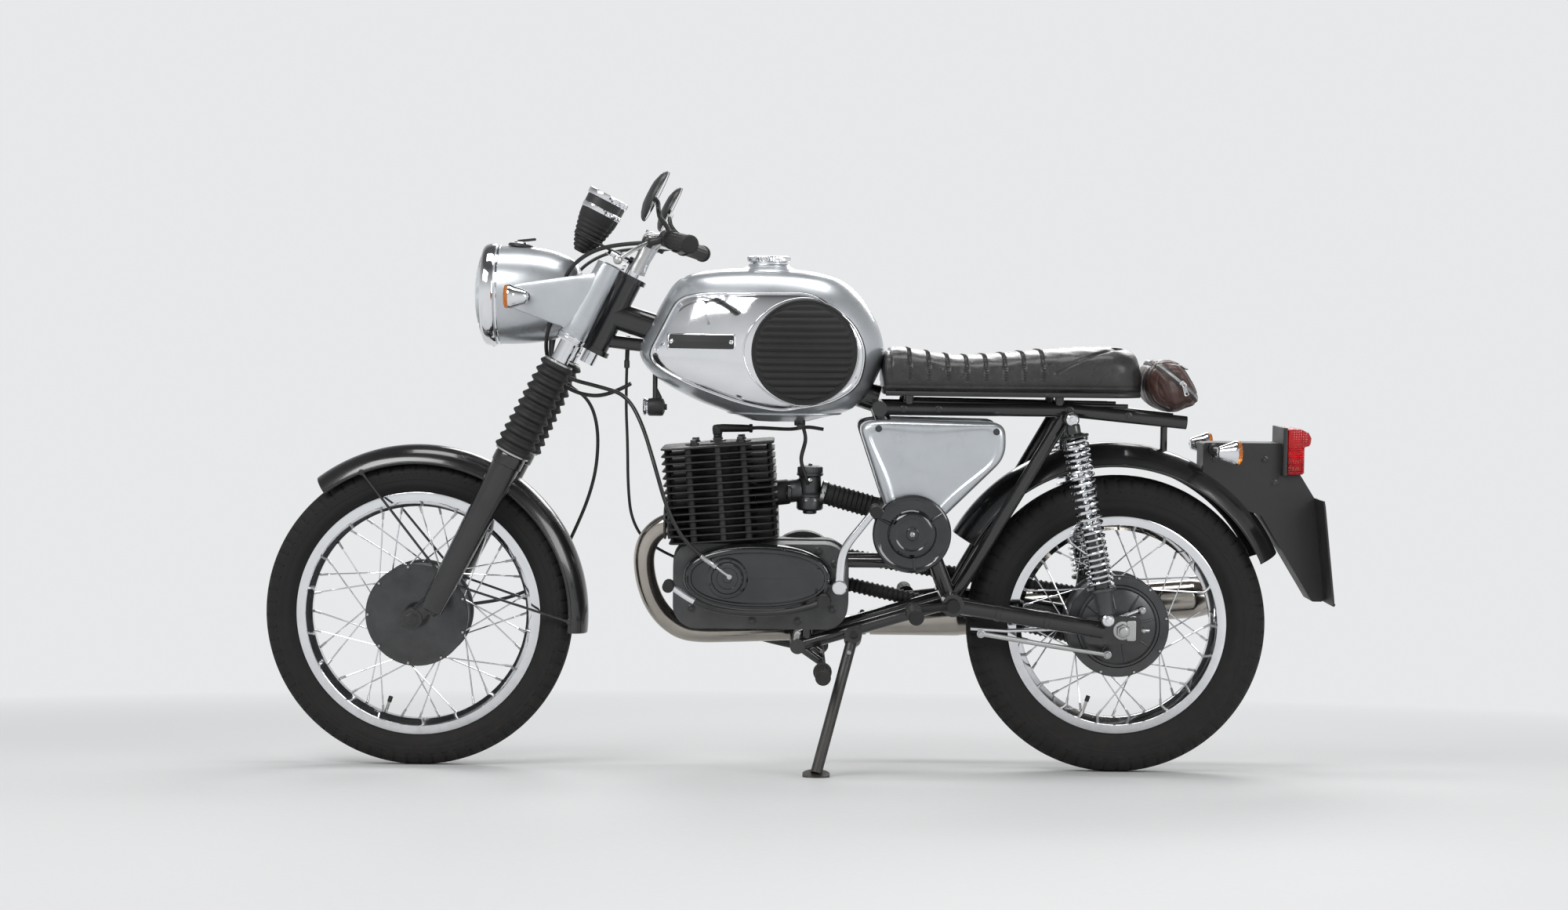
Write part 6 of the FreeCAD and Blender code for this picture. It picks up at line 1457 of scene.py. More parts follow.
def bag():
    centre = V(790, 0, 774)
    shape, rows = Shape(), []
    for k in range(49):
        t = -1 + 2 * k / 48
        y = 111 * sin(t * pi / 2)
        close = (1 - abs(y / 111.5) ** 3.4) ** (1 / 2.6)
        rows.append([centre + V(bag_radius(a) * close * cos(a), y,
                                bag_radius(a) * close * sin(a) - 1.2 * (1 - close)) for a in round_turn(56)])
    shape.grid(rows)
    shape.close(rows)
    body = shape.make("bag_body", "chassis", bag_leather, "tool_bag", "bag_leather", sharp=180)

    def held(points):
        return (np.abs(np.abs(points[:, 1]) - 62) < 9) | (points[:, 2] < 733)

    swell(body, 0.005, held, 0.004, pressure=3.0)
    subdivide(body)

    def zip_off(place):
        """How far a place lies above the slanting line of the zip."""
        rel = place - centre
        return rel.x * sin(ZIP_TILT) + rel.z * cos(ZIP_TILT) - 13

    def wrinkles(place, normal):
        rel = place - centre
        off = abs(zip_off(place))
        depth = -1.8 * exp(-((off - 8.5) / 1.6) ** 2) + 0.9 * exp(-(off / 5.5) ** 4)
        along = rel.x * cos(ZIP_TILT) - rel.z * sin(ZIP_TILT)
        end = min(1.0, max(0.0, (abs(rel.y) - 70) / 35))
        fold = sin(0.17 * zip_off(place) + 0.05 * along + 0.8 * sin(along * 0.06))
        depth += (0.5 + 2.2 * end) * (fold * abs(fold)) * min(1, off / 14)
        depth += 0.7 * sin(rel.y * 0.21 + rel.z * 0.09) * sin(rel.x * 0.12 - rel.y * 0.05)
        depth -= 2.2 * exp(-((abs(rel.y) - 62) / 12.5) ** 6)
        seam = abs(abs(rel.y) - 97)
        return depth - 1.6 * exp(-(seam / 1.5) ** 2)

    sculpt(body, wrinkles)
    meet = surface(body)

    def round_bag(y, angle, lift):
        way = around(angle)
        return meet(centre + V(0, y, 0), way, 200)[0] + way * lift

    straps, metal = Shape(), Shape()
    for y in (-62, 62):
        line = [[round_bag(y + side, 2 * pi * k / 72, lift) for side, lift in
                 ((-9, -0.4), (-9, 1.6), (-8, 2.2), (8, 2.2), (9, 1.6), (9, -0.4))] for k in range(72)]
        straps.grid(line, loop=True)
        for side in (-6.6, 6.6):
            for k in range(0, 72):
                a, b = (round_bag(y + side, 2 * pi * (k + s) / 72, 2.5) for s in (0.1, 0.65))
                straps.tube([a, b], 0.5, 5, 1)
        buckle = round_bag(y, radians(64), 3.2)
        out = (buckle - centre - V(0, y, 0)).normalized()
        along = Y.cross(out)
        loop = [buckle + Y * (12 * u) + along * (9 * v) for u, v in ((-1, -1), (1, -1), (1, 1), (-1, 1))]
        loop = [Vector(p) for p in round_corners(loop, 4, 4)]
        metal.tube(loop, 1.5, 10, closed=True)
        metal.rod(buckle - Y * 12, buckle + Y * 12, 1.2, 10)
        metal.rod(buckle + out * 0.5, buckle + along * 10 + out * 1.2, 1.1, 10)
    # The zip's tape and teeth go right round the bag, in the slanting plane of its mouth.
    slope = V(cos(ZIP_TILT), 0, -sin(ZIP_TILT))
    lift = V(sin(ZIP_TILT), 0, cos(ZIP_TILT))

    def mouth(angle, up):
        """The place on the bag at an angle of the mouth's plane, a height above the plane."""
        way = slope * cos(angle) + Y * (sin(angle) * 2.1)
        return meet(centre + lift * (13 + up), way.normalized(), 300)[0], way.normalized()

    tape = []
    for angle in round_turn(160):
        line = []
        for up, raise_ in ((-7.5, -0.3), (-7.2, 0.8), (-3, 0.9), (3, 0.9), (7.2, 0.8), (7.5, -0.3)):
            place, way = mouth(angle, up)
            line.append(place + way * raise_)
        tape.append(line)
    straps.grid(tape, 1, loop=True)
    for angle in round_turn(230):
        (low, way), (high, _) = mouth(angle, -2.3), mouth(angle, 2.3)
        if abs(low.y) < 40 and low.z < 760:
            continue
        metal.tube([low + way * 1.0, (low + high) / 2 + way * 1.9, high + way * 1.0], 0.75, 5)
    place, way = mouth(radians(-86), 0)
    puller = place + way * 3.0
    metal.plate(round_corners([(-6, -5), (8, -4), (8, 4), (-6, 5)], 2, 3), -1.4, 2.0, 0, 0.6,
                (puller, way, slope, lift))
    drop = (slope * 0.55 - Z * 0.85).normalized()
    side = way.cross(drop).normalized()
    hang = puller + way * 3.0
    outline = round_corners([(-2, -3.2), (10, -3.8), (24, -5.2), (24, 5.2), (10, 3.8), (-2, 3.2)], 3.2, 4)
    for hole, radius in ((20.0, 2.6), (3.0, 1.5)):
        metal.lathe([(radius, 1.9), (radius + 1.0, 2.2), (radius + 1.6, 1.7)], hang + drop * hole, way, 20)
        metal.lathe([(0, 1.6), (radius, 1.6)], hang + drop * hole, way, 20, 1)
    metal.plate(outline, -0.2, 1.5, 0, 0.5, (hang, way, drop, side))
    straps.make("bag_straps", "chassis", [strap_leather, thread], (), "bag_leather", sharp=45)
    metal.make("bag_metal", "chassis", [steel, plastic], (), "bag_leather")


strap_leather = leather("strap_leather", (0.05, 0.022, 0.015), (0.085, 0.04, 0.028), 500.0, 0.0004, 0.45, 0.1)


# Covers, engine and exhaust
def side_covers():
    outline = [(172 + 288 * a, 470 + 236 * b) for a, b in zip((0, 0.15, 1, 1, 0.42, 0.27),
                                                              (0.97, 1, 0.985, 0.70, 0, 0))]
    ring = even(round_corners(outline, 26, 7), 160)
    for _ in range(2):
        ring = (np.roll(ring, 1, 0) + 2 * ring + np.roll(ring, -1, 0)) / 4
    middle = np.array([300.0, 608.0])
    reach = np.linalg.norm(ring - middle, axis=1)
    shape = Shape()
    for sign in (-1, 1):
        rows = []
        for inset, level in ((0, 68), (0, 112), (0.6, 118), (2.2, 123.5), (5, 127.5), (9, 130.6), (14, 132),
                             (18, 131.8), (21, 130.4), (24, 128.8), (28, 128.2), (40, 128.4), (60, 129),
                             (85, 129.6), (110, 130), (400, 130)):
            line = []
            for p, far in zip(ring, reach):
                share = max(0.002, 1 - inset / far)
                q = middle + (p - middle) * share
                line.append(V(q[0], sign * level, q[1]))
            rows.append(line)
        shape.grid(rows)
        for x, z in ((212, 690), (440, 686)):
            shape.bolt((x, sign * 131.6, z), Y * sign, 5, 4, 1)
    shape.make("cover_skins", "chassis", [silver, dark_bolt], "side_covers", "silver_paint", sharp=50)


def air_filter():
    centre = V(278, 0, 488)
    shape = Shape()

    def dimples(r, a, angle):
        return r, a - (0.8 if 52 < r < 66 and cos(angle * 3 + 0.6) > 0.93 else 0)

    line = [(60, 84), (60, 131.6), (75.2, 131.8), (76, 133), (76, 152), (75.4, 154.6), (73.6, 157), (71, 158),
            (69, 157.6), (67, 156), (64, 155.2), (50, 155.4), (47.5, 156), (45, 158.6), (42, 161.8),
            (38, 164), (33, 164.6), (31, 163.6), (29, 162.6), (13, 163.4), (12, 164), (11, 165.6), (0, 165.8)]
    shape.lathe(line, centre, -Y, 144, change=dimples)
    shape.screw(centre - Y * 165.4, -Y, 5.5, 1)
    for way in spread(3, 35):
        shape.tube([centre + way * 46 - Y * 156.8, centre + way * 60 - Y * 156.4,
                    centre + way * 70 - Y * 157.2], [3.4, 2.8, 2.2], 10)
    shape.make("filter_drum", "chassis", [cover_black, steel], "air_filter", "engine_case", sharp=30)


def engine():
    cover = Shape()
    ring = []
    for angle in round_turn(180):
        c, s = cos(angle), sin(angle)
        ring.append((copysign(abs(c) ** (0.94 if c > 0 else 0.9), c), swell_out(s, 0.86)))
    rows = []
    for inset, level in ((0, 78.3), (0, 81.5), (0.4, 82.2), (1.6, 82.2), (1.6, 84.5), (0.4, 84.8), (0.2, 100),
                         (0.5, 108), (1.6, 114), (3.6, 118.6), (6.6, 122), (10, 123.8), (13, 124),
                         (15.5, 123.2), (17, 121.4), (19, 120.6), (26, 120.8), (34, 121.2), (44, 121.8),
                         (54, 122), (65.9, 122)):
        wide, tall = 1 - inset / 146, 1 - inset / 66
        rows.append([V(-19 + 146 * wide * u, -level, 395 + 66 * tall * v) for u, v in ring])
    cover.grid(rows)
    boss = V(-78, -119, 395)
    cover.lathe([(41, 0), (40, 4), (37, 6.6), (34, 7.2), (31.5, 6.6), (30.4, 5.2), (29.6, 5.4), (29.6, 11),
                 (28, 12.6), (24, 13), (21, 12.2), (20, 10.8), (9, 11.4), (8, 12.8), (0, 12.8)], boss, -Y, 96)
    for way in spread(3, 200):
        cover.screw(boss - Y * 6.6 + way * 35.4, -Y, 2.6, 1)
    for x, z in ((-146, 419), (-140, 365), (-70, 341), (18, 341), (96, 372), (100, 418), (30, 449),
                 (-52, 450)):
        cover.screw((x, -120.6, z), -Y, 4.2, 1)
    # A small rib runs over the cover's rear edge.
    cover.tube([(84, -112, 399), (106, -116, 398), (122, -113, 397)], [4, 3.2, 2.2], 12, 1)
    # The clutch cable ends in a sleeve, a lock nut and an adjuster that pulls the boss's arm.
    cover.rod((-130, -127, 438), (-106, -127.9, 421.4), 5.2, 24, 2)
    cover.rod((-106, -127.9, 421.4), (-100, -128.2, 417.2), 6.8, 6, 2)
    cover.rod((-100, -128.2, 417.2), (-74, -133, 399), 3.2, 16, 2)
    cover.rod((-74, -128, 399), (-74, -138, 399), 5.0, 20, 2)
    cover.make("cover_shell", "chassis", [cover_black, dark_bolt, steel], "clutch_cover", "engine_case",
               sharp=26)
    cylinder = Shape()
    tilt = Matrix.Rotation(radians(-4.5), 4, "Y")
    base = V(-86, 0, 455)

    def lean(p):
        return base + tilt @ (Vector(p) - base)

    step = 200 / 14
    for i in range(14):
        z = 455 + (i + 0.5) * step
        short = 0.0 if i > 4 else 3.0 * (5 - i) / 5
        ring = even(slab(112 - short, 96 - short, 26, 7), 120)
        rows = []
        for share, level in ((0.5, 0.2), (0.985, 0.5), (0.996, 1.2), (1.0, 2.2), (0.996, 3.3), (0.985, 4.0),
                             (0.5, 4.5)):
            rows.append([lean((-86 + p[0] * share, p[1] * share, z + level)) for p in ring])
        cylinder.grid(rows)
    # Pillars of cast rib and damping rubber stand between the fins on every side.
    for x in (-58, 0, 50):
        for sign in (-1, 1):
            cylinder.tube([lean((-86 + x, sign * 86, z)) for z in np.linspace(464, 652, 6)], 5.5, 12,
                          1 if x else 0, flat=1.2, flat_way=X)
    for y in (-48, 48):
        for sign in (-1, 1):
            cylinder.tube([lean((-86 + sign * 101, y, z)) for z in np.linspace(464, 652, 6)], 5.0, 12, 1)
    cylinder.lathe([(66, -1), (66, 200), (0, 200)], base, tilt.to_3x3() @ Z, 72)
    up = tilt.to_3x3() @ Z
    for x, y in ((-46, -46), (46, -46), (46, 46), (-46, 46)):
        cylinder.rod(lean((-86 + x, y, 640)), lean((-86 + x, y, 658)), 9, 20)
        cylinder.bolt(lean((-86 + x, y, 657)), up, 7, 7, 2)
    cylinder.lathe([(16, 199), (16, 203), (14, 204), (10, 204), (10, 208), (8, 209), (0, 209)], base, up, 6,
                   2)
    cylinder.lathe([(7.6, 208), (9.2, 211), (8.2, 213), (9.2, 215), (8.2, 217), (9.2, 219), (8.6, 224),
                    (0, 226)], base, up, 28, 3)
    # Exhaust port's collar at the front and the inlet's spigot behind.
    port = V(-166, 0, 492)
    cylinder.rod(port + X * 20, port - X * 18, 31, 40)
    cylinder.rod((-26, 0, 548), (42, 0, 556), 25, 36)
    for y in (-28, 28):
        cylinder.bolt((-26 + 62, y * 0.86, 554), X, 5, 5, 2)
    cylinder.make("cylinder_fins", "chassis", [fins, rubber, dark_bolt, plastic], "cylinder", "black_paint",
                  sharp=40)
    cap = Shape()
    tip = lean((-86, 0, 655)) + up * 24
    cap.lathe([(8.2, -9), (9.6, -8), (10, 2), (9, 7), (6, 9.6), (0, 10)], tip, up, 28)
    cap.tube([tip + up * 2, tip + X * 12 + up * 3, tip + X * 52 + up * 3, tip + X * 68 + up * 3],
             [8.4, 8.2, 7.4, 6.6], 22)
    cap.lathe([(6, -3), (8.4, -2), (8.8, 2), (8.4, 4), (5, 5)], tip + X * 66 + up * 3, X, 24)
    line = [tip + X * 66 + up * 3, tip + V(86, 2, 4), V(40, 8, 680), V(76, 14, 684), V(108, 16, 680)]
    cap.tube(smooth(line, 8), 3.6, 12)
    cap.make("plug_cap", "chassis", plastic, (), "engine_case")
    details = Shape()
    # The crankcase's joint line, its stud bosses, ribs and the drain plug.
    for x, z in ((-150, 330), (-120, 440), (-30, 306), (60, 306), (128, 330), (132, 420), (100, 446),
                 (-160, 380)):
        for sign in (-1, 1):
            details.lathe([(0, -2), (8, -2), (8, 1.4), (7, 2.2), (0, 2.2)], (x, sign * 78, z), Y * sign, 24)
            details.bolt((x, sign * 80, z), Y * sign, 4.6, 3.6, 1)
    case = even(round_corners([(-186, 290), (158, 290), (158, 458), (-186, 458)], 46, 8), 140)
    middle = case.mean(0)
    joint = middle + (case - middle) * 1.003
    details.tube([V(p[0], 0, p[1]) for p in joint], 3.0, 10, closed=True)
    details.bolt((-10, 20, 289.5), -Z, 9, 7, 1)
    for x in (-150, -120, -60, -30, 0, 30, 60):
        details.tube([(x, -70, 291.0), (x, 70, 291.0)], 2.2, 8)
    # Sprocket cover: bevelled rim and screws.
    details.lathe([(74.2, 86), (74.4, 104), (73.6, 108.6), (71, 111.4), (66, 112.4), (60, 111.6), (57, 110.6),
                   (40, 111.4), (38, 113.4), (34, 114), (0, 114)], (70, 0, 395), Y, 96)
    for k in range(5):
        angle = radians(72 * k + 20)
        details.screw((70 + 64 * cos(angle), 111.8, 395 + 64 * sin(angle)), Y, 4, 1)
    details.make("case_details", "chassis", [cast, dark_bolt], (), "engine_case", sharp=32)


def fuel_feed():
    shape = Shape()
    centre = V(82, 0, 560)
    shape.lathe([(0, -48), (12, -48), (14, -46), (14, -42), (24, -40), (26.5, -37), (26.5, -16), (25.4, -14),
                 (27, -13), (27, -9), (25, -8), (22, -4), (22, 26), (24, 28), (26.4, 29), (26.4, 33),
                 (24.5, 35)], centre, Z, 56)

    def knurl(r, a, angle):
        return (r - 0.8 * (0.5 + 0.5 * cos(angle * 30)) if 34 < a < 45 else r), a

    shape.lathe([(24, 33), (25.4, 35), (25.4, 44), (23.8, 46), (18, 48), (0, 48)], centre, Z, 120, 1,
                change=knurl)
    shape.tube([centre + Z * 47, centre + Z * 52 + X * 1], [5, 3.2], 16, 1)
    shape.rod((38, 0, 556), (66, 0, 560), 23, 36)
    shape.plate(slab(34, 14, 12, 5), -3, 4, 0, 1, (V(40, 0, 556), X, Y, Z))
    for x, y in ((74, -22), (92, -22)):
        shape.screw((x, y - 3.4, 540), -Y, 3, 2)
    shape.rod((82, -20, 578), (82, -31, 582), 4, 16, 2)
    start, end = V(102, 0, 556), V(232, 0, 520)
    run, length = span(start, end)
    line = [(21, 0), (23.4, 1), (23.4, 12), (21.5, 14)]
    for k in range(9):
        at = 20 + k * (length - 48) / 9
        line += [(20.6, at), (20.8, at + 2), (22.9, at + 4), (23, at + 6), (20.8, at + 8)]
    line += [(21.5, length - 18), (23, length - 16), (23, length)]
    shape.lathe(line, start, run, 56, 3)
    for at in (6, length - 9):
        shape.lathe(both([(23.2, -4), (24.2, -3.8)]), start + run * at, run, 48, 2)
        shape.bolt(start + run * at - Y * 24.5, Z, 3.4, 4, 2)
    for y in (-10, 10):
        shape.tube(smooth([V(66, y * 1.4, 690), V(72, y * 1.6, 660), V(64, y * 2.0, 620), V(74, y * 2.4, 586),
                           V(78, y * 2.0, 572)], 8), 3.6, 12, 4)
    shape.make("carburettor_body", "chassis", [dark_alloy, cast, steel, rubber, plastic], "carburettor",
               "engine_case", sharp=32)


def exhaust():
    shape = Shape()
    header = smooth([(-150, 0, 492), (-168, 0, 492), (-192, 2, 490), (-216, 6, 480), (-236, 12, 460),
                     (-247, 19, 433), (-249, 26, 402), (-243, 34, 364), (-229, 42, 326), (-206, 49, 294),
                     (-176, 56, 272), (-140, 63, 263.5), (-80, 78, 262), (0, 100, 262), (60, 119, 262),
                     (122, 144, 263), (176, 172, 265.6), (218, 198, 268.2)], 6)
    shape.tube(header, 21, 40)
    shape.rod((326, 196, 272), (362, 120, 345), 6, 20, 1)
    shape.lathe(both([(6, -7), (13, -7), (14, -6)]), (362, 128, 345), Y, 32, 1)
    start, end = V(215, 196, 268), V(985, 196, 334)
    run, length = span(start, end)
    profile = [(20.6, -6), (25.4, -4), (25.6, 0), (26.4, 8), (40.3, length * 0.22),
               (40.6, length * 0.222 + 3), (40.6, length * 0.222 + 8), (40.2, length * 0.222 + 10),
               (40.3, length * 0.86), (40.7, length * 0.861), (40.7, length * 0.865 + 4),
               (40.2, length * 0.87 + 4), (38.4, length * 0.89), (30.5, length * 0.945),
               (20.6, length * 0.992), (19.6, length), (18.2, length), (17.4, length - 3),
               (17.2, length - 40), (0, length - 42)]
    shape.lathe(profile, start, run, 96)
    shape.lathe([(21.4, -26), (24.2, -25), (24.2, -13), (21.4, -12)], start, run, 48, 1)
    shape.bolt(start - run * 19 + Z * 24 - Y * 6, Y, 4, 18, 1)
    for at in (0.4, 0.72):
        spot = start + run * (length * at)
        shape.lathe(both([(40.2, -7), (41.2, -6.6)]), spot, run, 72, 1)
        shape.bolt(spot + Z * 41 - Y * 5, -Y, 4.4, 5, 1)
    port = V(-186, 0, 492)
    for k in range(3):
        shape.lathe(both([(22, -2.4), (33, -2.2), (34, -1)]), port - X * (4 + 8 * k), X, 48, 2)
    shape.make("exhaust_run", "chassis", [hot_steel, dark_bolt, cast], "exhaust", "chrome", sharp=34)


tank()
seat()
bag()
side_covers()
air_filter()
engine()
fuel_feed()
exhaust()


# Rear end
def shock_absorbers():
    shape = Shape()
    for sign in (-1, 1):
        head, foot = V(585, sign * 124, 711), V(662, sign * 124, 322)
        run, length = span(head, foot)
        for eye in (head, foot):
            shape.lathe(both([(7.2, -13), (13, -13), (14, -12)]), eye, Y, 40, 1)
            shape.lathe([(7.1, -13.2), (9.6, -13.6), (9.8, 13.6), (7.1, 13.2)], eye, Y, 32, 3)
            end = eye + Y * sign * 12.5
            shape.lathe([(0, 4.5), (9, 4.5), (11.4, 2.6), (11.6, 0)][::-1], end, Y * sign, 32)
            shape.bolt(end + Y * sign * 2, Y * sign, 6, 6.5, washer=False)
        low, high = length * 0.09, length * 0.84
        shape.lathe([(8, 10), (13, 11), (14, 14), (14, low - 8), (20, low - 5), (27, low - 4),
                     (28, low - 2.6), (28, low - 0.4), (26, low + 1), (18, low + 1.4), (16, low + 12),
                     (14, low + 14), (7, low + 14)], head, run, 56, 1)
        shape.lathe([(7, low + 10), (7, length * 0.6)], head, run, 24)
        shape.lathe([(7, length * 0.55), (15, length * 0.55), (16, length * 0.555), (16, high + 1)], head,
                    run, 40, 1)
        shape.lathe([(16, high), (26.6, high + 0.4), (28, high + 2), (28, high + 5.4), (26.6, high + 7),
                     (20, high + 7.4), (19, high + 10), (18.6, high + 26), (16.4, high + 30),
                     (16, length - 12), (10, length - 6)], head, run, 56, 2)
        # The spring closes up to a flat turn at each end.
        axis, out, side = side_frame(run)
        line = []
        for k in range(23 * 22 + 1):
            t = k / (23 * 22)
            ease = t + 0.018 * sin(2 * pi * t) * -1
            at = low + 4.4 + (high - low - 8.8) * ease
            angle = 2 * pi * 23 * t
            line.append(head + axis * at + (out * cos(angle) + side * sin(angle)) * 23)
        shape.tube(line, 3.1, 10)
    shape.make("spring_shocks", "chassis", [chrome, black, dark_alloy, rubber], "shocks", "chrome", sharp=34)


def rear_guard():
    shape = Shape()
    centre = V(682, 0, 300)
    spot, _ = guard_skin(shape, centre, 362.0, 66.0, 44.0, 24.0, 150.0, 120)
    for sign in (-1, 1):
        for angle in (radians(turn) for turn in (56, 92, 126)):
            outward = V(cos(angle), sign * 0.35, sin(angle)).normalized()
            shape.screw(spot(sign * 42, 362 - 44 * (42 / 66) ** 2 + 0.4, angle), outward, 4.2, 1)
    shape.make("rear_mudguard", "chassis", [black, dark_bolt], "rear_guard", "black_paint")


def tail():
    lamp = Shape()

    def ring(z, rear, half, front=1012.0, corner=13.0):
        points = [(front, -half), (rear, -half), (rear, half), (front, half)]
        outline = even(round_corners(points, corner, 6), 88)
        return [V(p[0], p[1], z) for p in outline]

    rows = [ring(602.2, 1050, 46, 1020), ring(603.5, 1055, 49, 1019), ring(607, 1057.5, 50.5, 1018)]
    z = 607.0
    while z < 656:
        rows += [ring(z + 1.6, 1057.8, 50.8, 1018), ring(z + 3.2, 1056.6, 49.8, 1018)]
        z += 3.5
    rows += [ring(658, 1060, 51, 1018), ring(659.5, 1066, 51.8, 1018), ring(664, 1068.5, 52, 1018),
             ring(675, 1070, 52, 1018), ring(686, 1064, 51.8, 1018), ring(691.5, 1052, 51, 1018),
             ring(693.4, 1046, 48, 1019), ring(694, 1036, 40, 1022)]
    lamp.grid(rows)
    lamp.close(rows)
    base = [ring(600.6, 1019.4, 53, 1012.2, 3), ring(602, 1021, 54, 1012.2, 3),
            ring(694, 1021, 54, 1012.2, 3), ring(695.4, 1019.4, 53, 1012.2, 3)]
    lamp.grid(base, 1)
    lamp.close(base, 1)
    for y in (-38, 38):
        lamp.screw((1067.5, y, 666), X, 3.0, 2)
    lamp.make("tail_lens", "chassis", [red, satin, chrome], "tail_lamp", "red_lens", sharp=30)
    plate = Shape()
    along = V(1104 - 1080, 0, 350 - 556).normalized()
    normal = Y.cross(along)
    if normal.x < 0:
        normal = -normal
    centre = V(1092 + 3, 0, 453)
    outline = even(slab(103, 110, 12, 5), 160)
    plate.plate(outline, -2.6, 0.9, 0, 0.8, (centre, normal, along, Y))
    inner = even(slab(90, 101, 9, 5), 160)
    rows = []
    for share, level in ((1.012, 0.7), (1.008, 1.7), (1.0, 1.9), (0.99, 1.7), (0.986, 0.9)):
        rows.append([centre + along * (p[0] * share) + Y * (p[1] * share) + normal * level for p in inner])
    plate.grid(rows)
    rows = [[centre + along * (p[0] * share) + Y * (p[1] * share) + normal * 0.95 for p in inner]
            for share in (0.985, 0.6, 0.3, 0.001)]
    plate.grid(rows, 1)
    for y in (-62, 62):
        plate.bolt(centre - along * 82 + Y * y + normal * 1.2, normal, 4.6, 3.2, 2)
    for z, x in ((632, 880), (632, 980), (584, 872), (586, 1000)):
        for sign in (-1, 1):
            plate.bolt((x, sign * 34.4, z), Y * sign, 5, 4, 2)
    # The plate's lower edge has a rubber lip.
    plate.tube([centre + along * 101 + Y * y + normal * 0.2 for y in np.linspace(-104, 104, 20)], 3.0, 10, 4)
    plate.make("plate_blank", "chassis", [satin, pale_plate, dark_bolt, satin, rubber], (), "black_paint")


pale_plate = finish("blank_plate", (0.62, 0.62, 0.59), 0.36, 0.0, coat=0.3, vary=0.06, fine=1500,
                    bump=0.00002, dirt=0.3, dirt_top=0.6)


def chain_covers():
    shape = Shape()
    centre = V(695, 74, 298)
    for sign in (-1, 1):
        shape.lathe([(8.6, 15), (24, 15), (26, 12.6), (54, 12.0), (58, 13.2), (62, 13.4), (66, 12.2),
                     (80, 12.6), (84, 14), (87, 13), (88, 10), (88, 0)], centre, Y * sign, 96)
        for way in spread(6, 30):
            shape.bolt(centre + way * 75 + Y * sign * 12.4, Y * sign, 3.6, 3, 2)
    for sign in (-1, 1):
        start, end = V(144, 74, 395 + sign * 28), V(660, 74, 298 + sign * 46)
        run, length = span(start, end)
        line = [(12, 0), (15, 0.5), (15, 14), (13.4, 16)]
        at = 20.0
        while at < length - 40:
            line += [(12.6, at), (12.8, at + 1.5), (14.9, at + 3.5), (15, at + 6), (12.9, at + 8),
                     (12.6, at + 9.5)]
            at += 10.5
        line += [(13.4, length - 24), (15, length - 22), (15, length), (10, length)]
        shape.lathe(line, start, run, 24, 1)
    shape.make("chain_tunnels", "chassis", [plastic, rubber, steel], "chain_case", "black_paint", sharp=40)


def arm_details():
    shape = Shape()
    for sign in (-1, 1):
        # Wheel adjusters, their lock nuts, the pivot's nut and the lower shock nuts' washers.
        tip = V(732, sign * 100, 298)
        shape.rod(tip - X * 22, tip + X * 16, 3.6, 16)
        shape.bolt(tip + X * 1.5, X, 6, 6, washer=False)
        shape.plate(slab(9, 20, 4, 4), 0, 2.4, 0, 0.6, (V(712, sign * 106.2, 298), Y * sign, X, Z))
        pivot = V(362, sign * 117, 345)
        shape.lathe([(0, 3), (15, 3), (17, 1.4), (17, 0)][::-1], pivot, Y * sign, 40)
        shape.bolt(pivot + Y * sign * 2, Y * sign, 9, 9, washer=False)
        for share in (0.3, 0.62):
            spot = V(362, sign * 100, 345).lerp(V(658, sign * 100, 298), share)
            run = V(296, 0, -47).normalized()
            shape.lathe(both([(17.2, -5), (18.2, -4.4)]), spot, run, 40, 1)
    # The rear brake's torque arm and rod run forward from the plate on the left.
    shape.tube([(738, -56, 334), (640, -78, 300), (470, -80, 292), (400, -80, 296)], [4, 4, 4, 4], 12, 2)
    shape.tube([(672, -62, 244), (560, -74, 262), (420, -82, 286)], 5.0, 12, flat=0.6, flat_way=Y)
    for spot in (V(672, -62, 244), V(420, -82, 286)):
        shape.bolt(spot - Y * 4, -Y, 6, 5)
    shape.make("arm_fittings", "chassis", [steel, black, chrome], (), "alloy")


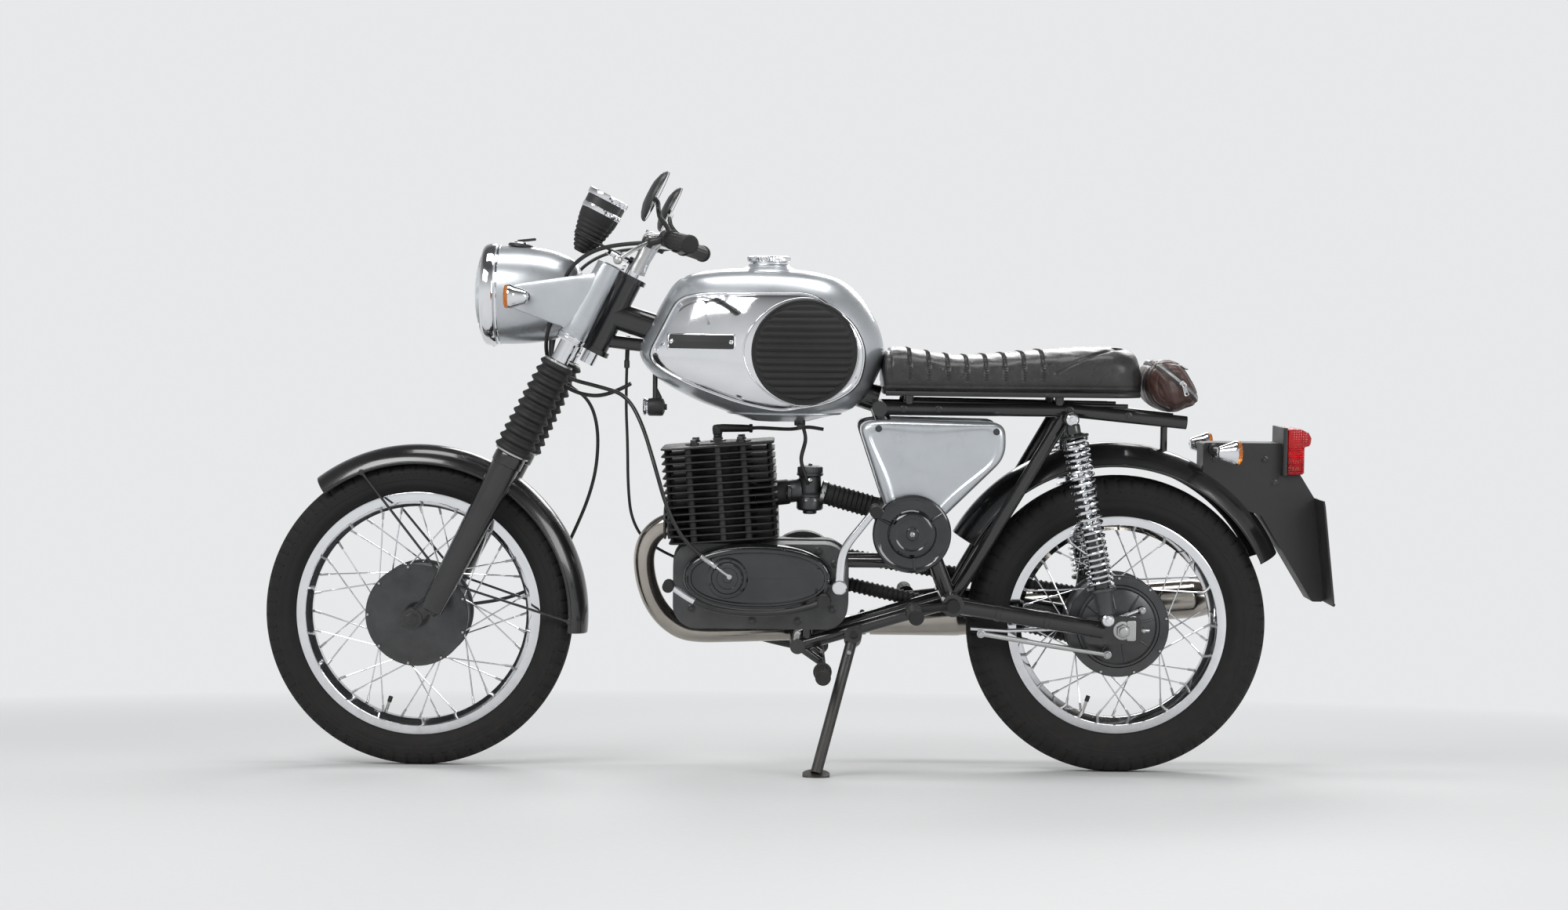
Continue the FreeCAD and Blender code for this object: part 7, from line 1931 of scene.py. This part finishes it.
def pegs_and_pedals():
    shape = Shape()

    def ribs(r, a, angle):
        return (r - (1.2 if cos(angle * 12) > 0.55 else 0) if 5 < a < 73 and r > 13 else r), a

    for sign in (-1, 1):
        line = [(8, 0), (17, 0), (18, 1.5), (18, 5), (14.8, 6.4)] + [(14.8, 8 + k * 4) for k in range(17)]
        line += [(15, 76), (13, 79.5), (0, 80)]
        shape.lathe(line, (108, sign * 174, 222), Y * sign, 96, change=ribs)
        line = [(8, 0), (16.4, 0), (17, 1.5), (17, 5), (14.8, 6.4)] + [(14.8, 8 + k * 4) for k in range(21)]
        line += [(15, 95), (13, 99), (0, 99.6)]
        shape.lathe(line, (284, sign * 136, 336), Y * sign, 96, change=ribs)
    # The gear lever's and the kick lever's ribbed rubbers, and the brake pedal's cap.
    line = [(9, 0), (11.2, 0.5), (11.2, 4), (10.6, 6)]
    line += [(10.6 + 0.7 * (k % 2), 7 + k * 2.2) for k in range(15)]
    shape.lathe(line + [(11.2, 41), (10, 43.6), (0, 44)], (-190, -152, 385), -Y, 36)
    line = [(8, 0), (12.4, 0.5), (12.4, 5), (11.4, 7)]
    line += [(11.4 + 0.8 * (k % 2), 8 + k * 2.6) for k in range(16)]
    shape.lathe(line + [(12.2, 51), (11, 55), (0, 55.6)], (206, -176, 536), -Y, 36)
    shape.lathe([(12.1, 0), (13.4, 0.5), (13.4, 42), (12, 44), (0, 44.2)], (-178, 160, 292), Y, 36)
    shape.bolt((110, -150.5, 356), -Y, 6, 5, 1)
    shape.bolt((139, -168.5, 385), -Y, 6, 5, 1)
    shape.make("pedal_rubbers", "chassis", [rubber, steel], (), "rubber", sharp=26)
    levers = Shape()
    kick = [(139, -168, 385), (140, -168, 412), (144, -168, 446), (155, -168, 470), (178, -168, 500),
            (204, -168, 533)]
    line = smooth(kick, 6)
    levers.tube(line, [9.4 - 2.2 * k / (len(line) - 1) for k in range(len(line))], 22, flat=0.8, flat_way=Y)
    levers.lathe([(6, -90), (9, -90), (9, -14), (13, -12), (14, -8), (14, 8), (12, 10), (0, 10)],
                 (139, -168, 385), -Y, 36)
    levers.lathe(both([(0, -9), (9, -9), (10.4, -7)]), (206, -168, 536), Y, 32)
    levers.rod((206, -176, 536), (206, -230, 536), 7.5, 20)
    levers.screw((206, -158.8, 536), Y, 4)
    gear = [(110, -150, 356), (84, -150, 345), (30, -150, 333), (-40, -150, 330), (-104, -150, 338),
            (-148, -150, 357), (-190, -150, 385)]
    line = smooth(gear, 6)
    levers.tube(line[:-7], 6.0, 18, 1)
    levers.tube(line[-8:], 6.8, 18)
    levers.lathe([(6, -72), (8.6, -72), (8.6, -12), (13, -10), (14, -7), (14, 6), (12.4, 8), (0, 8)],
                 (110, -150, 356), -Y, 36, 1)
    levers.rod((-190, -144, 385), (-190, -157, 385), 7.6, 24)
    levers.rod((108, 150, 222), (108, 167, 222), 14, 32, 1)
    brake = [(108, 158, 222), (60, 158, 224), (-40, 158, 248), (-120, 158, 278), (-178, 158, 292)]
    levers.tube(smooth(brake, 6), 6.4, 18, 1, flat=1.3, flat_way=Z)
    levers.rod((-178, 152, 292), (-178, 203, 292), 11.6, 28, 1)
    levers.make("lever_forgings", "chassis", [chrome, satin], "foot_levers", "chrome")


def stand_parts():
    shape = Shape()
    top_end, foot = V(168, -112, 282), V(97, -228, 28)
    run = (foot - top_end).normalized()
    eye = top_end + run * 34 + Y * -11
    shape.lathe(both([(0, -7), (4, -7), (4.4, -6)]), eye, run.cross(X).normalized(), 20)
    shape.make("stand_fittings", "side_stand", steel, (), "black_paint")


def horn():
    shape = Shape()
    centre = V(-228, 0, 722)
    shape.lathe([(0, -24), (13.5, -24), (16.6, -23), (18, -20.6), (17.4, -18), (15.4, -17), (15, -14)],
                centre, X, 56, 1)
    shape.lathe([(15, -14), (17.6, -12), (18, -8), (18, 12), (17, 16), (11, 19), (6, 20), (6, 23.6), (0, 24)],
                centre, X, 48)
    shape.lathe([(0, -24.4), (5, -24.4), (6, -23.6)], centre, X, 28, 1)
    shape.tube([centre + V(8, 0, 16), centre + V(4, 0, 26), centre + V(0, 0, 34)], [7, 6, 6], 14, flat=0.5,
               flat_way=Y)
    shape.make("horn_body", "chassis", [plastic, chrome], "horn", "black_paint", sharp=30)


def frame_details():
    shape = Shape()
    for sign in (-1, 1):
        # Seat bolts, cradle bolts and engine mounting nuts.
        for spot, radius in (((585, 96, 727), 6), ((262, 95, 727), 5), ((330, 95, 727), 5),
                             ((700, 95, 718), 5)):
            shape.bolt((spot[0], sign * spot[1], spot[2]), Y * sign, radius, 5)
        shape.tube([(262, sign * 82, 741), (700, sign * 82, 736)], 4.0, 10, 1)
    # The oil pump's cable comes out of an elbow on the backbone.
    shape.tube(smooth([V(-284, 20, 862), V(-285, 21, 836), V(-286, 22, 800)], 6), 4.4, 14, 2)
    shape.lathe(both([(4.4, -8), (5.6, -7)]), (-286, 22, 806), Z, 20)
    shape.make("frame_fittings", "chassis", [dark_bolt, black, lead_black], (), "black_paint")


shock_absorbers()
rear_guard()
tail()
indicator_pair("rear_indicator", 898, 152, 651, 1, 36, "chassis", "rear_indicators")
chain_covers()
arm_details()
pegs_and_pedals()
stand_parts()
horn()
frame_details()


# Every node gets a finish here, the ones that show as themselves and the ones that are replaced.
FINISHES = {name: mat for mat, names in (
    (black, "frame swingarm fork_sliders front_guard rear_guard"),
    (satin, "side_stand handlebar horn mirrors instruments"),
    (alloy, "fork_yokes hand_levers rear_brake_plate"),
    (steel, "front_axle rear_axle"),
    (cast, "crankcase"),
    (fins, "cylinder"),
    (dark_alloy, "carburettor front_brake_plate front_hub rear_hub"),
    (plastic, "chain_case tail_bracket"),
    (chrome, "foot_levers headlamp_lens front_indicators front_rim rear_indicators rear_rim shocks "
             "tank_panels"),
    (rubber, "foot_pegs grips fork_gaiters knee_pads"),
    (red, "tail_lamp"),
    (hot_steel, "exhaust"),
    (silver, "headlamp_shell fork_covers side_covers tank"),
    (tyre_rubber, "front_tyre rear_tyre"),
    (seat_leather, "seat"),
    (bag_leather, "tool_bag"),
    (cover_black, "air_filter clutch_cover"),
    (lead_black, "brake_cable control_cables"),
) for name in names.split()}
for node_name, node in frame["nodes"].items():
    node.data.materials.clear()
    node.data.materials.append(FINISHES[node_name])

bpy.context.view_layer.update()
